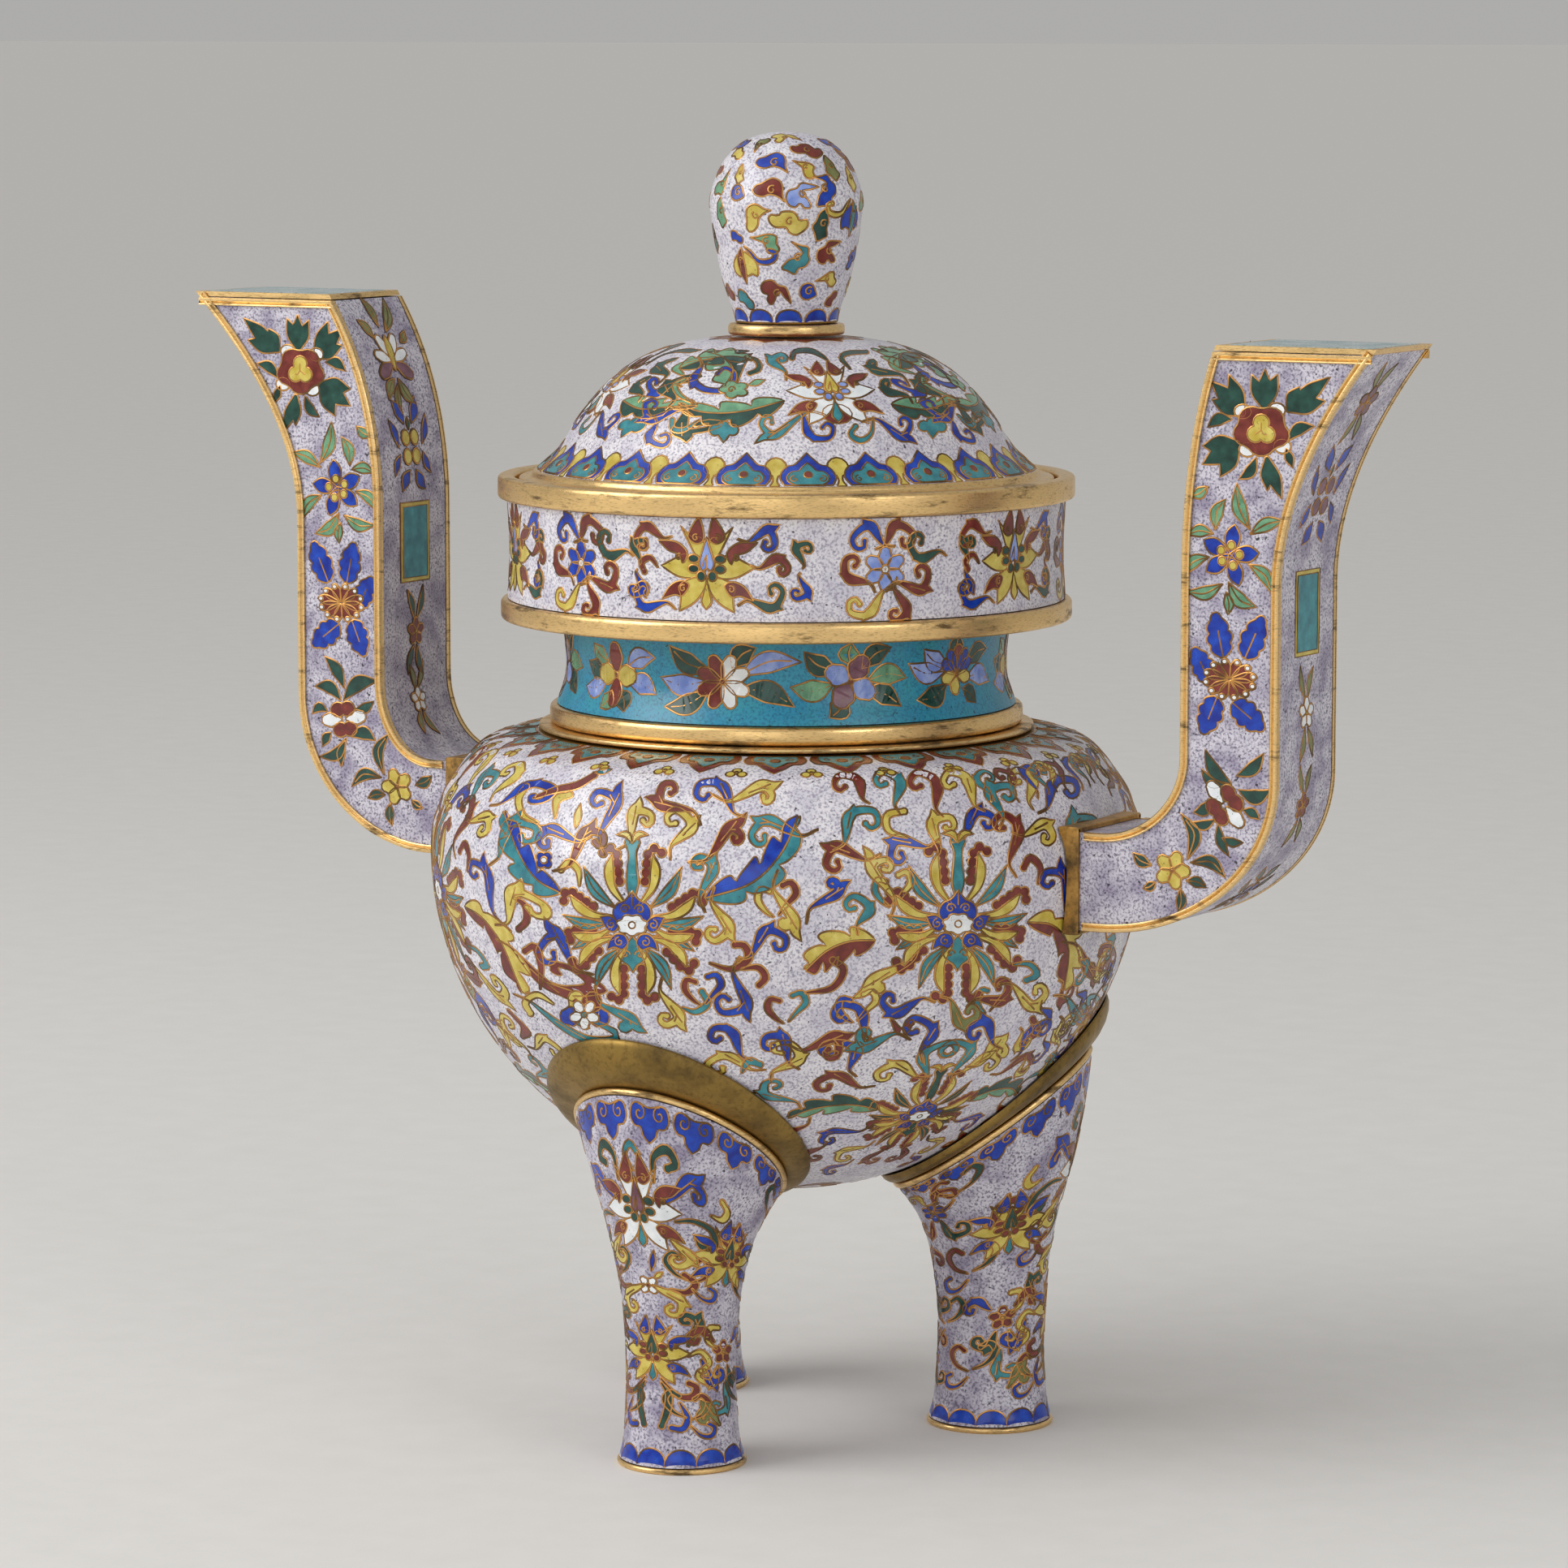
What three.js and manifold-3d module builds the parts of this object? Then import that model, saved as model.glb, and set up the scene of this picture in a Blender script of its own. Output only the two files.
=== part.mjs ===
// A tripod incense burner of enamelled copper: a round bowl on three flared legs, with two tall box
// handles, a lift-off neck section and a lift-off domed cover with an egg-shaped finial.
// Millimetres. Z is up, the feet stand on Z = 0, Z is the vessel's axis and X runs through both handles.

import * as THREE from 'three';
import { mergeVertices } from 'three/addons/utils/BufferGeometryUtils.js';
import Module from 'manifold-3d';

const wasm = await Module();
wasm.setup();

// Fits that the whole object shares
const seatGap = 0.3;                    // between two pieces that sit on each other
const looseFit = 1.2;                   // round a sleeve that lifts out of its seat
const solderGap = 0.6;                  // round a plate that is soldered inside a leg
const cutOverrun = 4;                   // how far a cut runs past what it cuts
const edgeEase = 0.7;                   // the softened corner of the gilt rings

// Facets
const turnedSegments = 36;              // a multiple of 12, so that handles and legs meet like facets
const legSegments = 24;
const smallSegments = 10;

// Bowl
const bellyRadius = 113.3;
const bellyHeight = 187.2;              // of the widest line
const bellyDepth = 109.5;               // from the widest line down to the underside
const shoulderHeight = 37.8;            // from the widest line up to the flat lip
const bowlWall = 2.4;
const mouthRadius = 69.4;
const lipWidth = 9.8;
const bellySteps = 9;
// The shoulder from the widest line to the lip: share of the way in, share of the way up
const shoulderShares = [[0.02, 0.21], [0.073, 0.35], [0.127, 0.484], [0.226, 0.622],
  [0.336, 0.76], [0.495, 0.894], [0.74, 0.965], [1, 1]];
const mouthRingInset = 0.8;             // from the lip's outer edge
const mouthRingHeight = 1.6;
const mouthRingWidth = 7.6;

// Neck section: the neck's radii are given as how far each stands out past the bowl's mouth
const neckFootOut = 5.6;
const neckFootHeight = 5.8;
const neckFlareOut = 3.8;               // at the foot of the turquoise band
const neckWaistOut = 0.6;
const neckTopOut = 1.9;
const neckBandHeight = 26.4;
const neckWall = 2.2;
const neckWaistShare = 0.42;            // of the band's height
const neckSteps = 3;
const spigotWall = 1.8;
const spigotDepth = 13;
const collarOverhang = 17.3;            // how far the collar stands out past the neck's top
const collarFootLip = 1.8;              // how far the foot ring stands out of the collar
const collarFootHeight = 6.4;
const collarFloor = 2.4;
const collarWaist = 0.7;                // how far the collar band draws in at mid height
const collarHeight = 31.2;
const collarWall = 2.2;
const collarRimLip = 2.6;               // how far the rim ring stands out of the collar
const collarRimHeight = 7.2;
const coverLedge = 3;                   // thickness of the ledge that carries the cover
const coverLedgeWidth = 9.8;
const coverRecessWall = 5.4;            // round the recess that takes the cover

// Cover
const coverRimPlay = 1.2;               // round the cover in its recess
const coverRimHeight = 5.6;
const coverRimStep = 3.4;               // height of the rim's outer step
const coverRimWidth = 12.4;
const coverSleeveWall = 1.8;
const coverSleeveDepth = 8.5;
const domeInset = 5.4;                  // from the rim's outer edge
const domeHeight = 41.6;
const domeWall = 2;
// The dome from its foot to the finial: share of the radius, share of the height
const domeShares = [[1, 0], [0.962, 0.0625], [0.924, 0.13], [0.9, 0.19], [0.87, 0.284], [0.83, 0.404],
  [0.778, 0.526], [0.721, 0.647], [0.645, 0.764], [0.549, 0.87], [0.42, 0.952], [0.28, 0.992], [0.18, 1]];

// Finial
const finialRadius = 24.6;
const finialHeight = 60.2;
const finialWall = 1.8;
const finialFootWidth = 2.5;            // of the edge that it stands on
const finialRingLip = 1.9;              // how far the ring under it stands out
const finialRingHeight = 3.6;
// The finial from its foot to its top: share of the radius, share of the height
const finialShares = [[0.67, 0], [0.7, 0.06], [0.79, 0.165], [0.875, 0.285], [0.935, 0.42], [0.975, 0.53],
  [1, 0.62], [0.965, 0.705], [0.886, 0.79], [0.76, 0.875], [0.52, 0.955], [0.26, 0.99], [0, 1]];
const studRadius = 3;
const studFlangeFit = 0.8;              // round the flange in the finial's mouth
const studFlangeHeight = 2;
const studTail = 4;                     // of the stud below its nut
const washerRadius = 11;
const washerHeight = 1.5;
const nutAcross = 11;
const nutHeight = 5;

// Legs
const legInset = 47.9;                  // from the belly's widest line in to the middle of a leg
const footRadius = 20;
const ankleRadius = 17.6;
const legTopLong = 38.2;                // half length of the leg's slanted top, up the slope
const legTopWide = 33;                  // half width of the leg's slanted top
const legTopLean = 1.06;                // degrees by which that top is steeper than the belly over it
const bellyDip = 2.8;                   // how far the belly dips into the leg's open top
const legWall = 2;
const footRimHeight = 1.8;
const footRimLip = 0.4;                 // how far the rim stands out of the foot
const footRimWidth = 4.6;
const solePlate = 1.2;
const beadHeight = 2;
const beadWidth = 3.2;
const beadLip = 0.6;
// Up the leg: share of its height, share of the flare, share of the slope, share of the foot's spread
const legShares = [[0, 0, 0, 1], [0.075, 0.01, 0.05, 0.3], [0.26, 0, 0.18, 0], [0.445, 0.04, 0.27, 0],
  [0.606, 0.17, 0.35, 0], [0.739, 0.37, 0.46, 0], [0.86, 0.647, 0.69, 0], [1, 1, 1, 0]];

// The broad gilt collar between a leg and the belly
const collarBrow = 5.3;                 // its upper edge lies this far in from the widest line
const collarSideWidth = 9.5;            // from the leg's side to its outer edge
const collarLowWidth = 2.1;             // from the leg's inner side to its lowest edge
const collarLip = 1.5;                  // thickness of its outer edge
const collarHoleWidth = 3.4;            // from the leg's outside in to the collar's hole
const collarCoveOutShare = 0.55;        // the hollow face: how far out, how far up
const collarCoveUpShare = 0.3;
const collarSegments = 24;

// Leg fixing
const bridgeDepth = 12;                 // below the leg's top
const bridgeThickness = 3;
const bridgeWidth = 12;
const legBoltRadius = 2.6;
const legBoltHeadRadius = 6.5;
const legBoltHeadHeight = 4;

// Handles: each reach is from the belly's widest line
const handleRise = 167.8;               // of the top above that line
const uprightGap = 31.7;                // from the belly to the upright part
const uprightDepth = 32.5;
const tipGap = 46.7;                    // from the belly to the inner edge at the top
const tipDepth = 53;
const handleShift = 4.5;                // the right upright stands further out and the left further in
const handleLift = 4;                   // the left handle is fixed higher and the right lower
const handleWidth = 42.4;
const rootDrop = 12.7;                  // of the root's underside below the widest line
const rootRise = 17.8;                  // of the root's upper side above it
const rootLength = 8.7;                 // before the elbows start
const outerElbowRise = 36.8;            // where each elbow ends, above the widest line
const innerElbowRise = 42.8;
const outerFlareDrop = 73;              // where each flare starts and bends, below the top
const outerBendDrop = 39;
const innerFlareDrop = 70;
const innerBendDrop = 30;
const elbowSteps = 6;
const flareSteps = 5;
const plateThickness = 1.5;
const edgingHeight = 0.8;
const edgingWidth = 2.6;
const capThickness = 1.6;
const rootFrameWidth = 5.4;
const rootFrameWall = 1.2;
const rootBlockDepth = 5;
const handleBoltRadius = 2.2;
const handleBoltHeadRadius = 4.6;
const handleBoltHeadHeight = 3;
const handleBoltSpacing = 14;
const boltHeadCrownShare = 0.55;        // width of a head's crown against its foot

// Radii that follow from the mouth
const lipRadius = mouthRadius + lipWidth;
const mouthRingRadius = lipRadius - mouthRingInset;
const neckTopRadius = mouthRadius + neckTopOut;
const collarRadius = neckTopRadius + collarOverhang;
const collarFootRadius = collarRadius + collarFootLip;
const collarRimRadius = collarRadius + collarRimLip;
const coverRecessRadius = collarRimRadius - coverRecessWall;
const coverLedgeRadius = coverRecessRadius - coverLedgeWidth;
const coverRimRadius = coverRecessRadius - coverRimPlay;
const domeRadius = coverRimRadius - domeInset;
const finialFootRadius = finialRadius * finialShares[0][0];
const finialMouthRadius = finialFootRadius - finialFootWidth;

// Where a leg meets the belly
const legCircleRadius = bellyRadius - legInset;
const legCircleShare = legCircleRadius / bellyRadius;
const bellyDropShare = Math.sqrt(1 - legCircleShare * legCircleShare);
const legTopHeight = bellyHeight - bellyDepth * bellyDropShare + bellyDip;
const legTopSlope = Math.atan((bellyDepth * legCircleShare) / (bellyRadius * bellyDropShare))
  + THREE.MathUtils.degToRad(legTopLean);
const collarRimReach = (bellyRadius - collarBrow - legCircleRadius) / Math.cos(legTopSlope);
const collarRimFall = legTopLong + collarLowWidth;

// Heights and reaches of the handles
const rootBottom = bellyHeight - rootDrop;
const rootTop = bellyHeight + rootRise;
const rootStraight = bellyRadius + rootLength;
const handleTop = bellyHeight + handleRise;

// Heights that follow from the stack of rings
const lipHeight = bellyHeight + shoulderHeight;
const mouthRingBottom = lipHeight + seatGap;
const neckFootBottom = mouthRingBottom + mouthRingHeight + seatGap;
const neckBandBottom = neckFootBottom + neckFootHeight + seatGap;
const collarFootBottom = neckBandBottom + neckBandHeight + seatGap;
const collarBottom = collarFootBottom + collarFootHeight + seatGap;
const collarRimBottom = collarBottom + collarHeight + seatGap;
const coverRimBottom = collarRimBottom + coverLedge + seatGap;
const domeBottom = coverRimBottom + coverRimHeight + seatGap;
const domeTop = domeBottom + domeHeight;
const finialRingBottom = domeTop + seatGap;
const finialBottom = finialRingBottom + finialRingHeight + seatGap;

// Materials
const paleEnamel = new THREE.MeshStandardMaterial({ color: 0xb3a9bd, roughness: 0.3, metalness: 0 });
const neckEnamel = new THREE.MeshStandardMaterial({ color: 0x2f86a6, roughness: 0.3, metalness: 0 });
const handleEnamel = new THREE.MeshStandardMaterial({ color: 0x9f97b4, roughness: 0.35, metalness: 0 });
const capEnamel = new THREE.MeshStandardMaterial({ color: 0x9fb4b8, roughness: 0.35, metalness: 0 });
const brightGilt = new THREE.MeshStandardMaterial({ color: 0xc28f45, roughness: 0.35, metalness: 1 });
const dullGilt = new THREE.MeshStandardMaterial({ color: 0x8a6a2e, roughness: 0.5, metalness: 1 });
const plainBrass = new THREE.MeshStandardMaterial({ color: 0x9c7a3c, roughness: 0.5, metalness: 1 });

const model = new THREE.Group();

// Shape tools

function signedVolume(geometry) {
  // The sum of the tetrahedra that each triangle makes with the origin
  const corners = geometry.attributes.position;
  const order = geometry.index.array;
  const [a, b, c] = [new THREE.Vector3(), new THREE.Vector3(), new THREE.Vector3()];
  let sum = 0;
  for (let i = 0; i < order.length; i += 3) {
    a.fromBufferAttribute(corners, order[i]);
    b.fromBufferAttribute(corners, order[i + 1]);
    c.fromBufferAttribute(corners, order[i + 2]);
    sum += a.dot(b.cross(c));
  }
  return sum;
}

function closed(geometry) {
  // Shared corners are merged, empty triangles are dropped and the faces are turned outwards
  geometry.deleteAttribute('normal');
  geometry.deleteAttribute('uv');
  const merged = mergeVertices(geometry);
  const kept = [];
  const order = merged.index.array;
  for (let i = 0; i < order.length; i += 3) {
    const [a, b, c] = [order[i], order[i + 1], order[i + 2]];
    if (a !== b && b !== c && c !== a) kept.push(a, b, c);
  }
  merged.setIndex(kept);
  if (signedVolume(merged) < 0) {
    for (let i = 0; i < kept.length; i += 3) [kept[i], kept[i + 1]] = [kept[i + 1], kept[i]];
    merged.setIndex(kept);
  }
  return merged;
}

function toSolid(geometry) {
  return new wasm.Manifold(new wasm.Mesh({
    numProp: 3,
    vertProperties: new Float32Array(geometry.attributes.position.array),
    triVerts: new Uint32Array(geometry.index.array),
  }));
}

function toGeometry(solid) {
  const mesh = solid.getMesh();
  const geometry = new THREE.BufferGeometry();
  geometry.setAttribute('position', new THREE.BufferAttribute(mesh.vertProperties, 3));
  geometry.setIndex(new THREE.BufferAttribute(mesh.triVerts, 1));
  return geometry;
}

function cut(geometry, ...cutters) {
  const left = cutters.reduce((solid, cutter) => solid.subtract(toSolid(cutter)), toSolid(geometry));
  return toGeometry(left);
}

function common(geometry, other) {
  return toGeometry(toSolid(geometry).intersect(toSolid(other)));
}

function turned(profile, segments = turnedSegments) {
  // A profile of radius and height, turned about Z; one that leaves the axis closes on itself
  const points = profile.map(([radius, height]) => new THREE.Vector2(radius, height));
  if (points[0].x > 0 || points.at(-1).x > 0) points.push(points[0].clone());
  const geometry = new THREE.LatheGeometry(points, segments);
  geometry.rotateX(Math.PI / 2);
  return closed(geometry);
}

function lofted(rings, capped) {
  // Rings of as many points each; the ends are capped, or else the last ring runs on into the first
  const count = rings[0].length;
  const points = rings.flat();
  const triangles = [];
  const spans = capped ? rings.length - 1 : rings.length;
  for (let i = 0; i < spans; i += 1) {
    const low = i * count;
    const high = ((i + 1) % rings.length) * count;
    for (let j = 0; j < count; j += 1) {
      const next = (j + 1) % count;
      triangles.push(low + j, low + next, high + next, low + j, high + next, high + j);
    }
  }
  if (capped) {
    const last = (rings.length - 1) * count;
    for (let j = 1; j < count - 1; j += 1) {
      triangles.push(0, j + 1, j, last, last + j, last + j + 1);
    }
  }
  const geometry = new THREE.BufferGeometry().setFromPoints(points);
  geometry.setIndex(triangles);
  return closed(geometry);
}

function extrudedAcross(outline, near, far) {
  // An outline in X and Z, drawn out along Y from near to far
  const shape = new THREE.Shape(outline.map((point) => new THREE.Vector2(point.x, point.y)));
  const geometry = new THREE.ExtrudeGeometry(shape, { depth: far - near, bevelEnabled: false });
  geometry.rotateX(Math.PI / 2);
  geometry.translate(0, far, 0);
  return closed(geometry);
}

function boxed(low, high) {
  const size = high.map((value, i) => value - low[i]);
  const geometry = new THREE.BoxGeometry(...size);
  geometry.translate(...low.map((value, i) => value + size[i] / 2));
  return closed(geometry);
}

function pointed(geometry, from, direction) {
  // What stands on Z is turned to stand along direction, with its foot at from
  const turn = new THREE.Quaternion().setFromUnitVectors(new THREE.Vector3(0, 0, 1), direction);
  geometry.applyQuaternion(turn);
  geometry.translate(from.x, from.y, from.z);
  return geometry;
}

function drill(radius, from, to) {
  const line = to.clone().sub(from);
  const bar = turned([[0, 0], [radius, 0], [radius, line.length()], [0, line.length()]], smallSegments);
  return pointed(bar, from, line.normalize());
}

function easedRing(inner, outer, bottom, top) {
  // A flat ring whose two outer corners are softened
  return [[inner, bottom], [outer - edgeEase, bottom], [outer, bottom + edgeEase],
    [outer, top - edgeEase], [outer - edgeEase, top], [inner, top]];
}

function everyOther(points) {
  // The inside of a wall needs fewer points than its outside
  return points.filter((_, i) => i % 2 === 0 || i === points.length - 1);
}

function offsetPath(points, distance) {
  // Each point moves along the mean normal of the path, to the left of its run
  return points.map((point, i) => {
    const before = points[Math.max(i - 1, 0)];
    const after = points[Math.min(i + 1, points.length - 1)];
    const run = after.clone().sub(before).normalize();
    return new THREE.Vector2(point.x - run.y * distance, point.y + run.x * distance);
  });
}

function pathBelow(points, height) {
  // The path as far as the given height, with its last point on it
  const end = points.findIndex((point) => point.y > height);
  if (end < 0) return points;
  const [low, high] = [points[end - 1], points[end]];
  const last = low.clone().lerp(high, (height - low.y) / (high.y - low.y));
  return [...points.slice(0, end), last];
}

function addPiece(name, geometry, material, parent = model) {
  const mesh = new THREE.Mesh(geometry, material);
  mesh.name = name;
  parent.add(mesh);
  return mesh;
}

// Bowl

function bellyProfile(grow) {
  // Half an ellipse below the widest line and the shoulder above it, both grown outwards
  const profile = [];
  for (let i = 0; i <= bellySteps; i += 1) {
    const angle = (Math.PI / 2) * (i / bellySteps - 1);
    const radius = i === 0 ? 0 : (bellyRadius + grow) * Math.cos(angle);
    profile.push([radius, bellyHeight + (bellyDepth + grow) * Math.sin(angle)]);
  }
  const rise = shoulderHeight + grow;
  for (const [inShare, upShare] of shoulderShares) {
    const radius = bellyRadius + grow - inShare * (bellyRadius - lipRadius);
    profile.push([radius, bellyHeight + upShare * rise]);
  }
  return profile;
}

function hollowProfile() {
  // The bowl's inside from the bottom to the mouth, with fewer points up the shoulder
  const inside = bellyProfile(-bowlWall);
  return [...inside.slice(0, bellySteps), ...everyOther(inside.slice(bellySteps))];
}

function radiusAt(profile, height) {
  const i = profile.findIndex((point) => point[1] > height);
  const [low, high] = [profile[i - 1], profile[i]];
  return low[0] + ((high[0] - low[0]) * (height - low[1])) / (high[1] - low[1]);
}

function handleBoltPlaces(side) {
  const middle = (rootBottom + rootTop) / 2 + side * handleLift;
  return [middle - handleBoltSpacing / 2, middle + handleBoltSpacing / 2];
}

function makeBowl() {
  const profile = [...bellyProfile(0), [mouthRadius, lipHeight], [mouthRadius, lipHeight - bowlWall],
    ...hollowProfile().reverse()];
  const holes = [];
  for (const side of [-1, 1]) {
    for (const height of handleBoltPlaces(side)) {
      const from = new THREE.Vector3(0, 0, height);
      const to = new THREE.Vector3(-side * (bellyRadius + cutOverrun), 0, height);
      holes.push(drill(handleBoltRadius + seatGap, from, to));
    }
  }
  for (const angle of legAngles) {
    const hole = drill(legBoltRadius + seatGap, onLegTop(0, 0, -cutOverrun),
      onLegTop(0, 0, bowlWall + cutOverrun));
    hole.rotateZ(angle);
    holes.push(hole);
  }
  addPiece('bowl_shell', cut(turned(profile), ...holes), paleEnamel);
  const top = mouthRingBottom + mouthRingHeight;
  const ring = easedRing(mouthRingRadius - mouthRingWidth, mouthRingRadius, mouthRingBottom, top);
  addPiece('bowl_mouth_ring', turned(ring), brightGilt);
}

// Legs: each is drawn with X pointing away from the vessel's axis and then turned round to its place

const legAngles = [-90, 30, 150].map(THREE.MathUtils.degToRad);
const legNames = ['front', 'right', 'left'];

function onLegTop(along, across, up) {
  // A place from the centre of the leg's slanted top: up the slope, across it, and square to it
  return new THREE.Vector3(
    legCircleRadius + along * Math.cos(legTopSlope) - up * Math.sin(legTopSlope),
    across,
    legTopHeight + along * Math.sin(legTopSlope) + up * Math.cos(legTopSlope),
  );
}

function legRing(share, inset, base) {
  // One slanted elliptical section of the leg, drawn in by inset
  const [heightShare, flareShare, slopeShare, footShare] = share;
  const top = onLegTop(0, 0, -beadHeight - seatGap);
  const centre = new THREE.Vector3(legCircleRadius, 0, base).lerp(top, heightShare);
  const slope = legTopSlope * slopeShare;
  const foot = footShare * (footRadius - ankleRadius);
  const long = ankleRadius + foot + flareShare * (legTopLong - ankleRadius) - inset;
  const wide = ankleRadius + foot + flareShare * (legTopWide - ankleRadius) - inset;
  return Array.from({ length: legSegments }, (_, i) => {
    const angle = (2 * Math.PI * i) / legSegments;
    const along = long * Math.cos(angle);
    return new THREE.Vector3(centre.x + along * Math.cos(slope), wide * Math.sin(angle),
      centre.z + along * Math.sin(slope));
  });
}

function legHollow(inset) {
  return lofted(everyOther(legShares).map((share) => legRing(share, inset, footRimHeight + seatGap)), true);
}

function bellyAbove(along, across) {
  // Height of the belly's outside over the leg's slanted top, where a line square to that top meets it
  const start = onLegTop(along, across, 0);
  const way = onLegTop(0, 0, 1).sub(onLegTop(0, 0, 0));
  const squash = bellyRadius / bellyDepth;
  const from = new THREE.Vector3(start.x, start.y, (start.z - bellyHeight) * squash);
  const ray = new THREE.Vector3(way.x, way.y, way.z * squash);
  const a = ray.lengthSq();
  const b = from.dot(ray);
  const c = from.lengthSq() - bellyRadius * bellyRadius;
  return (-b - Math.sqrt(b * b - a * c)) / a;
}

function ellipsePoint(angle, long, wide, shift = 0) {
  return [shift + long * Math.cos(angle), wide * Math.sin(angle)];
}

function collarRings() {
  // Round the collar's section: hole, leg side, hollow face, outer lip, and back along the belly
  const rings = Array.from({ length: 7 }, () => []);
  const between = (from, to, share) => from.map((value, i) => value + share * (to[i] - value));
  const rimLong = (collarRimReach + collarRimFall) / 2;
  const rimShift = (collarRimReach - collarRimFall) / 2;
  for (let i = 0; i < collarSegments; i += 1) {
    const angle = (2 * Math.PI * i) / collarSegments;
    const hole = ellipsePoint(angle, legTopLong - collarHoleWidth, legTopWide - collarHoleWidth);
    const edge = ellipsePoint(angle, legTopLong, legTopWide);
    const rim = ellipsePoint(angle, rimLong, legTopWide + collarSideWidth, rimShift);
    const cove = between(edge, rim, collarCoveOutShare);
    const half = between(hole, rim, 1 / 2);
    const rimTop = bellyAbove(...rim) - seatGap;
    const coveUp = seatGap + collarCoveUpShare * (rimTop - collarLip - seatGap);
    rings[0].push(onLegTop(...hole, seatGap));
    rings[1].push(onLegTop(...edge, seatGap));
    rings[2].push(onLegTop(...cove, coveUp));
    rings[3].push(onLegTop(...rim, rimTop - collarLip));
    rings[4].push(onLegTop(...rim, rimTop));
    rings[5].push(onLegTop(...half, bellyAbove(...half) - seatGap));
    rings[6].push(onLegTop(...hole, bellyAbove(...hole) - seatGap));
  }
  return rings;
}

function beadRings() {
  // A ring of D section on the leg's upper edge
  const section = [[-beadWidth, -beadHeight], [0, -beadHeight], [beadLip, -beadHeight / 2], [0, 0],
    [-beadWidth, 0]];
  return section.map(([out, up]) => Array.from({ length: collarSegments }, (_, i) => {
    const angle = (2 * Math.PI * i) / collarSegments;
    return onLegTop(...ellipsePoint(angle, legTopLong + out, legTopWide + out), up);
  }));
}

function bolt(radius, headRadius, headHeight, length) {
  // A round-headed bolt that stands on its tip
  const top = length + headHeight;
  const profile = [[0, 0], [radius, 0], [radius, length], [headRadius, length],
    [headRadius, length + headHeight / 2], [headRadius * boltHeadCrownShare, top], [0, top]];
  return turned(profile, smallSegments);
}

function makeLeg(name, angle) {
  const leg = new THREE.Group();
  leg.rotation.z = angle;
  model.add(leg);

  const base = footRimHeight + seatGap;
  const outside = legShares.map((share) => legRing(share, 0, base));
  const inside = everyOther(legShares).map((share) => legRing(share, legWall, base)).reverse();
  addPiece(`${name}_leg_tube`, lofted([...outside, ...inside], false), paleEnamel, leg);
  addPiece(`${name}_leg_bead`, lofted(beadRings(), false), brightGilt, leg);
  addPiece(`${name}_leg_collar`, lofted(collarRings(), false), dullGilt, leg);

  const rimInner = footRadius - footRimWidth;
  const rim = turned([[rimInner, 0], [footRadius, 0], [footRadius + footRimLip, footRimHeight / 2],
    [footRadius, footRimHeight], [rimInner, footRimHeight]], legSegments);
  rim.translate(legCircleRadius, 0, 0);
  addPiece(`${name}_foot_rim`, rim, brightGilt, leg);

  const hollow = legHollow(legWall + solderGap);
  const soleTop = base + solePlate;
  const sole = turned([[0, base], [footRadius, base], [footRadius, soleTop], [0, soleTop]], legSegments);
  sole.translate(legCircleRadius, 0, 0);
  addPiece(`${name}_foot_sole`, common(sole, hollow), plainBrass, leg);

  const square = onLegTop(0, 0, 1).sub(onLegTop(0, 0, 0)).normalize();
  const bar = boxed([-bridgeWidth / 2, -legTopWide, 0], [bridgeWidth / 2, legTopWide, bridgeThickness]);
  pointed(bar, onLegTop(0, 0, -bridgeDepth), square);
  const hole = drill(legBoltRadius + seatGap, onLegTop(0, 0, -bridgeDepth - cutOverrun),
    onLegTop(0, 0, bridgeThickness + cutOverrun - bridgeDepth));
  addPiece(`${name}_leg_bridge`, cut(common(bar, hollow), hole), plainBrass, leg);

  // The head lies on the hollow of the bowl, so it stands off by the sag under its own width and by
  // the depth of the wall's facets, round the bowl and up it
  const facets = bellyRadius * (1 - Math.cos(Math.PI / turnedSegments))
    + bellyDepth * (1 - Math.cos(Math.PI / 4 / bellySteps));
  const sag = (legBoltHeadRadius * legBoltHeadRadius) / bellyDepth / 2 + facets;
  const length = bridgeDepth + bellyAbove(0, 0) + bowlWall + sag + seatGap;
  const screw = bolt(legBoltRadius, legBoltHeadRadius, legBoltHeadHeight, length);
  addPiece(`${name}_leg_bolt`, pointed(screw, onLegTop(0, 0, -bridgeDepth), square), plainBrass, leg);
}

// Handles: each is drawn as the right one, and the left is turned half round

function handleEdges(side) {
  // The outer and the inner edge, each from the root to the tip: elbow, upright and flare
  const edge = (low, upright, elbowTop, flareStart, bend, tip) => {
    const points = [new THREE.Vector2(bellyRadius - cutOverrun, low)];
    for (let i = 0; i <= elbowSteps; i += 1) {
      const angle = (Math.PI / 2) * (i / elbowSteps);
      points.push(new THREE.Vector2(rootStraight + (upright - rootStraight) * Math.sin(angle),
        elbowTop - (elbowTop - low) * Math.cos(angle)));
    }
    const flare = new THREE.QuadraticBezierCurve(new THREE.Vector2(upright, flareStart),
      new THREE.Vector2(upright, bend), new THREE.Vector2(tip, handleTop));
    return [...points, ...flare.getPoints(flareSteps)];
  };
  const innerUpright = bellyRadius + uprightGap + side * handleShift;
  const innerTip = bellyRadius + tipGap;
  return {
    outer: edge(rootBottom, innerUpright + uprightDepth, bellyHeight + outerElbowRise,
      handleTop - outerFlareDrop, handleTop - outerBendDrop, innerTip + tipDepth),
    inner: edge(rootTop, innerUpright, bellyHeight + innerElbowRise,
      handleTop - innerFlareDrop, handleTop - innerBendDrop, innerTip),
  };
}

function startAt(points, reach) {
  // The straight root of an edge, begun further out
  return [new THREE.Vector2(reach, points[0].y), ...points.slice(1)];
}

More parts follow.
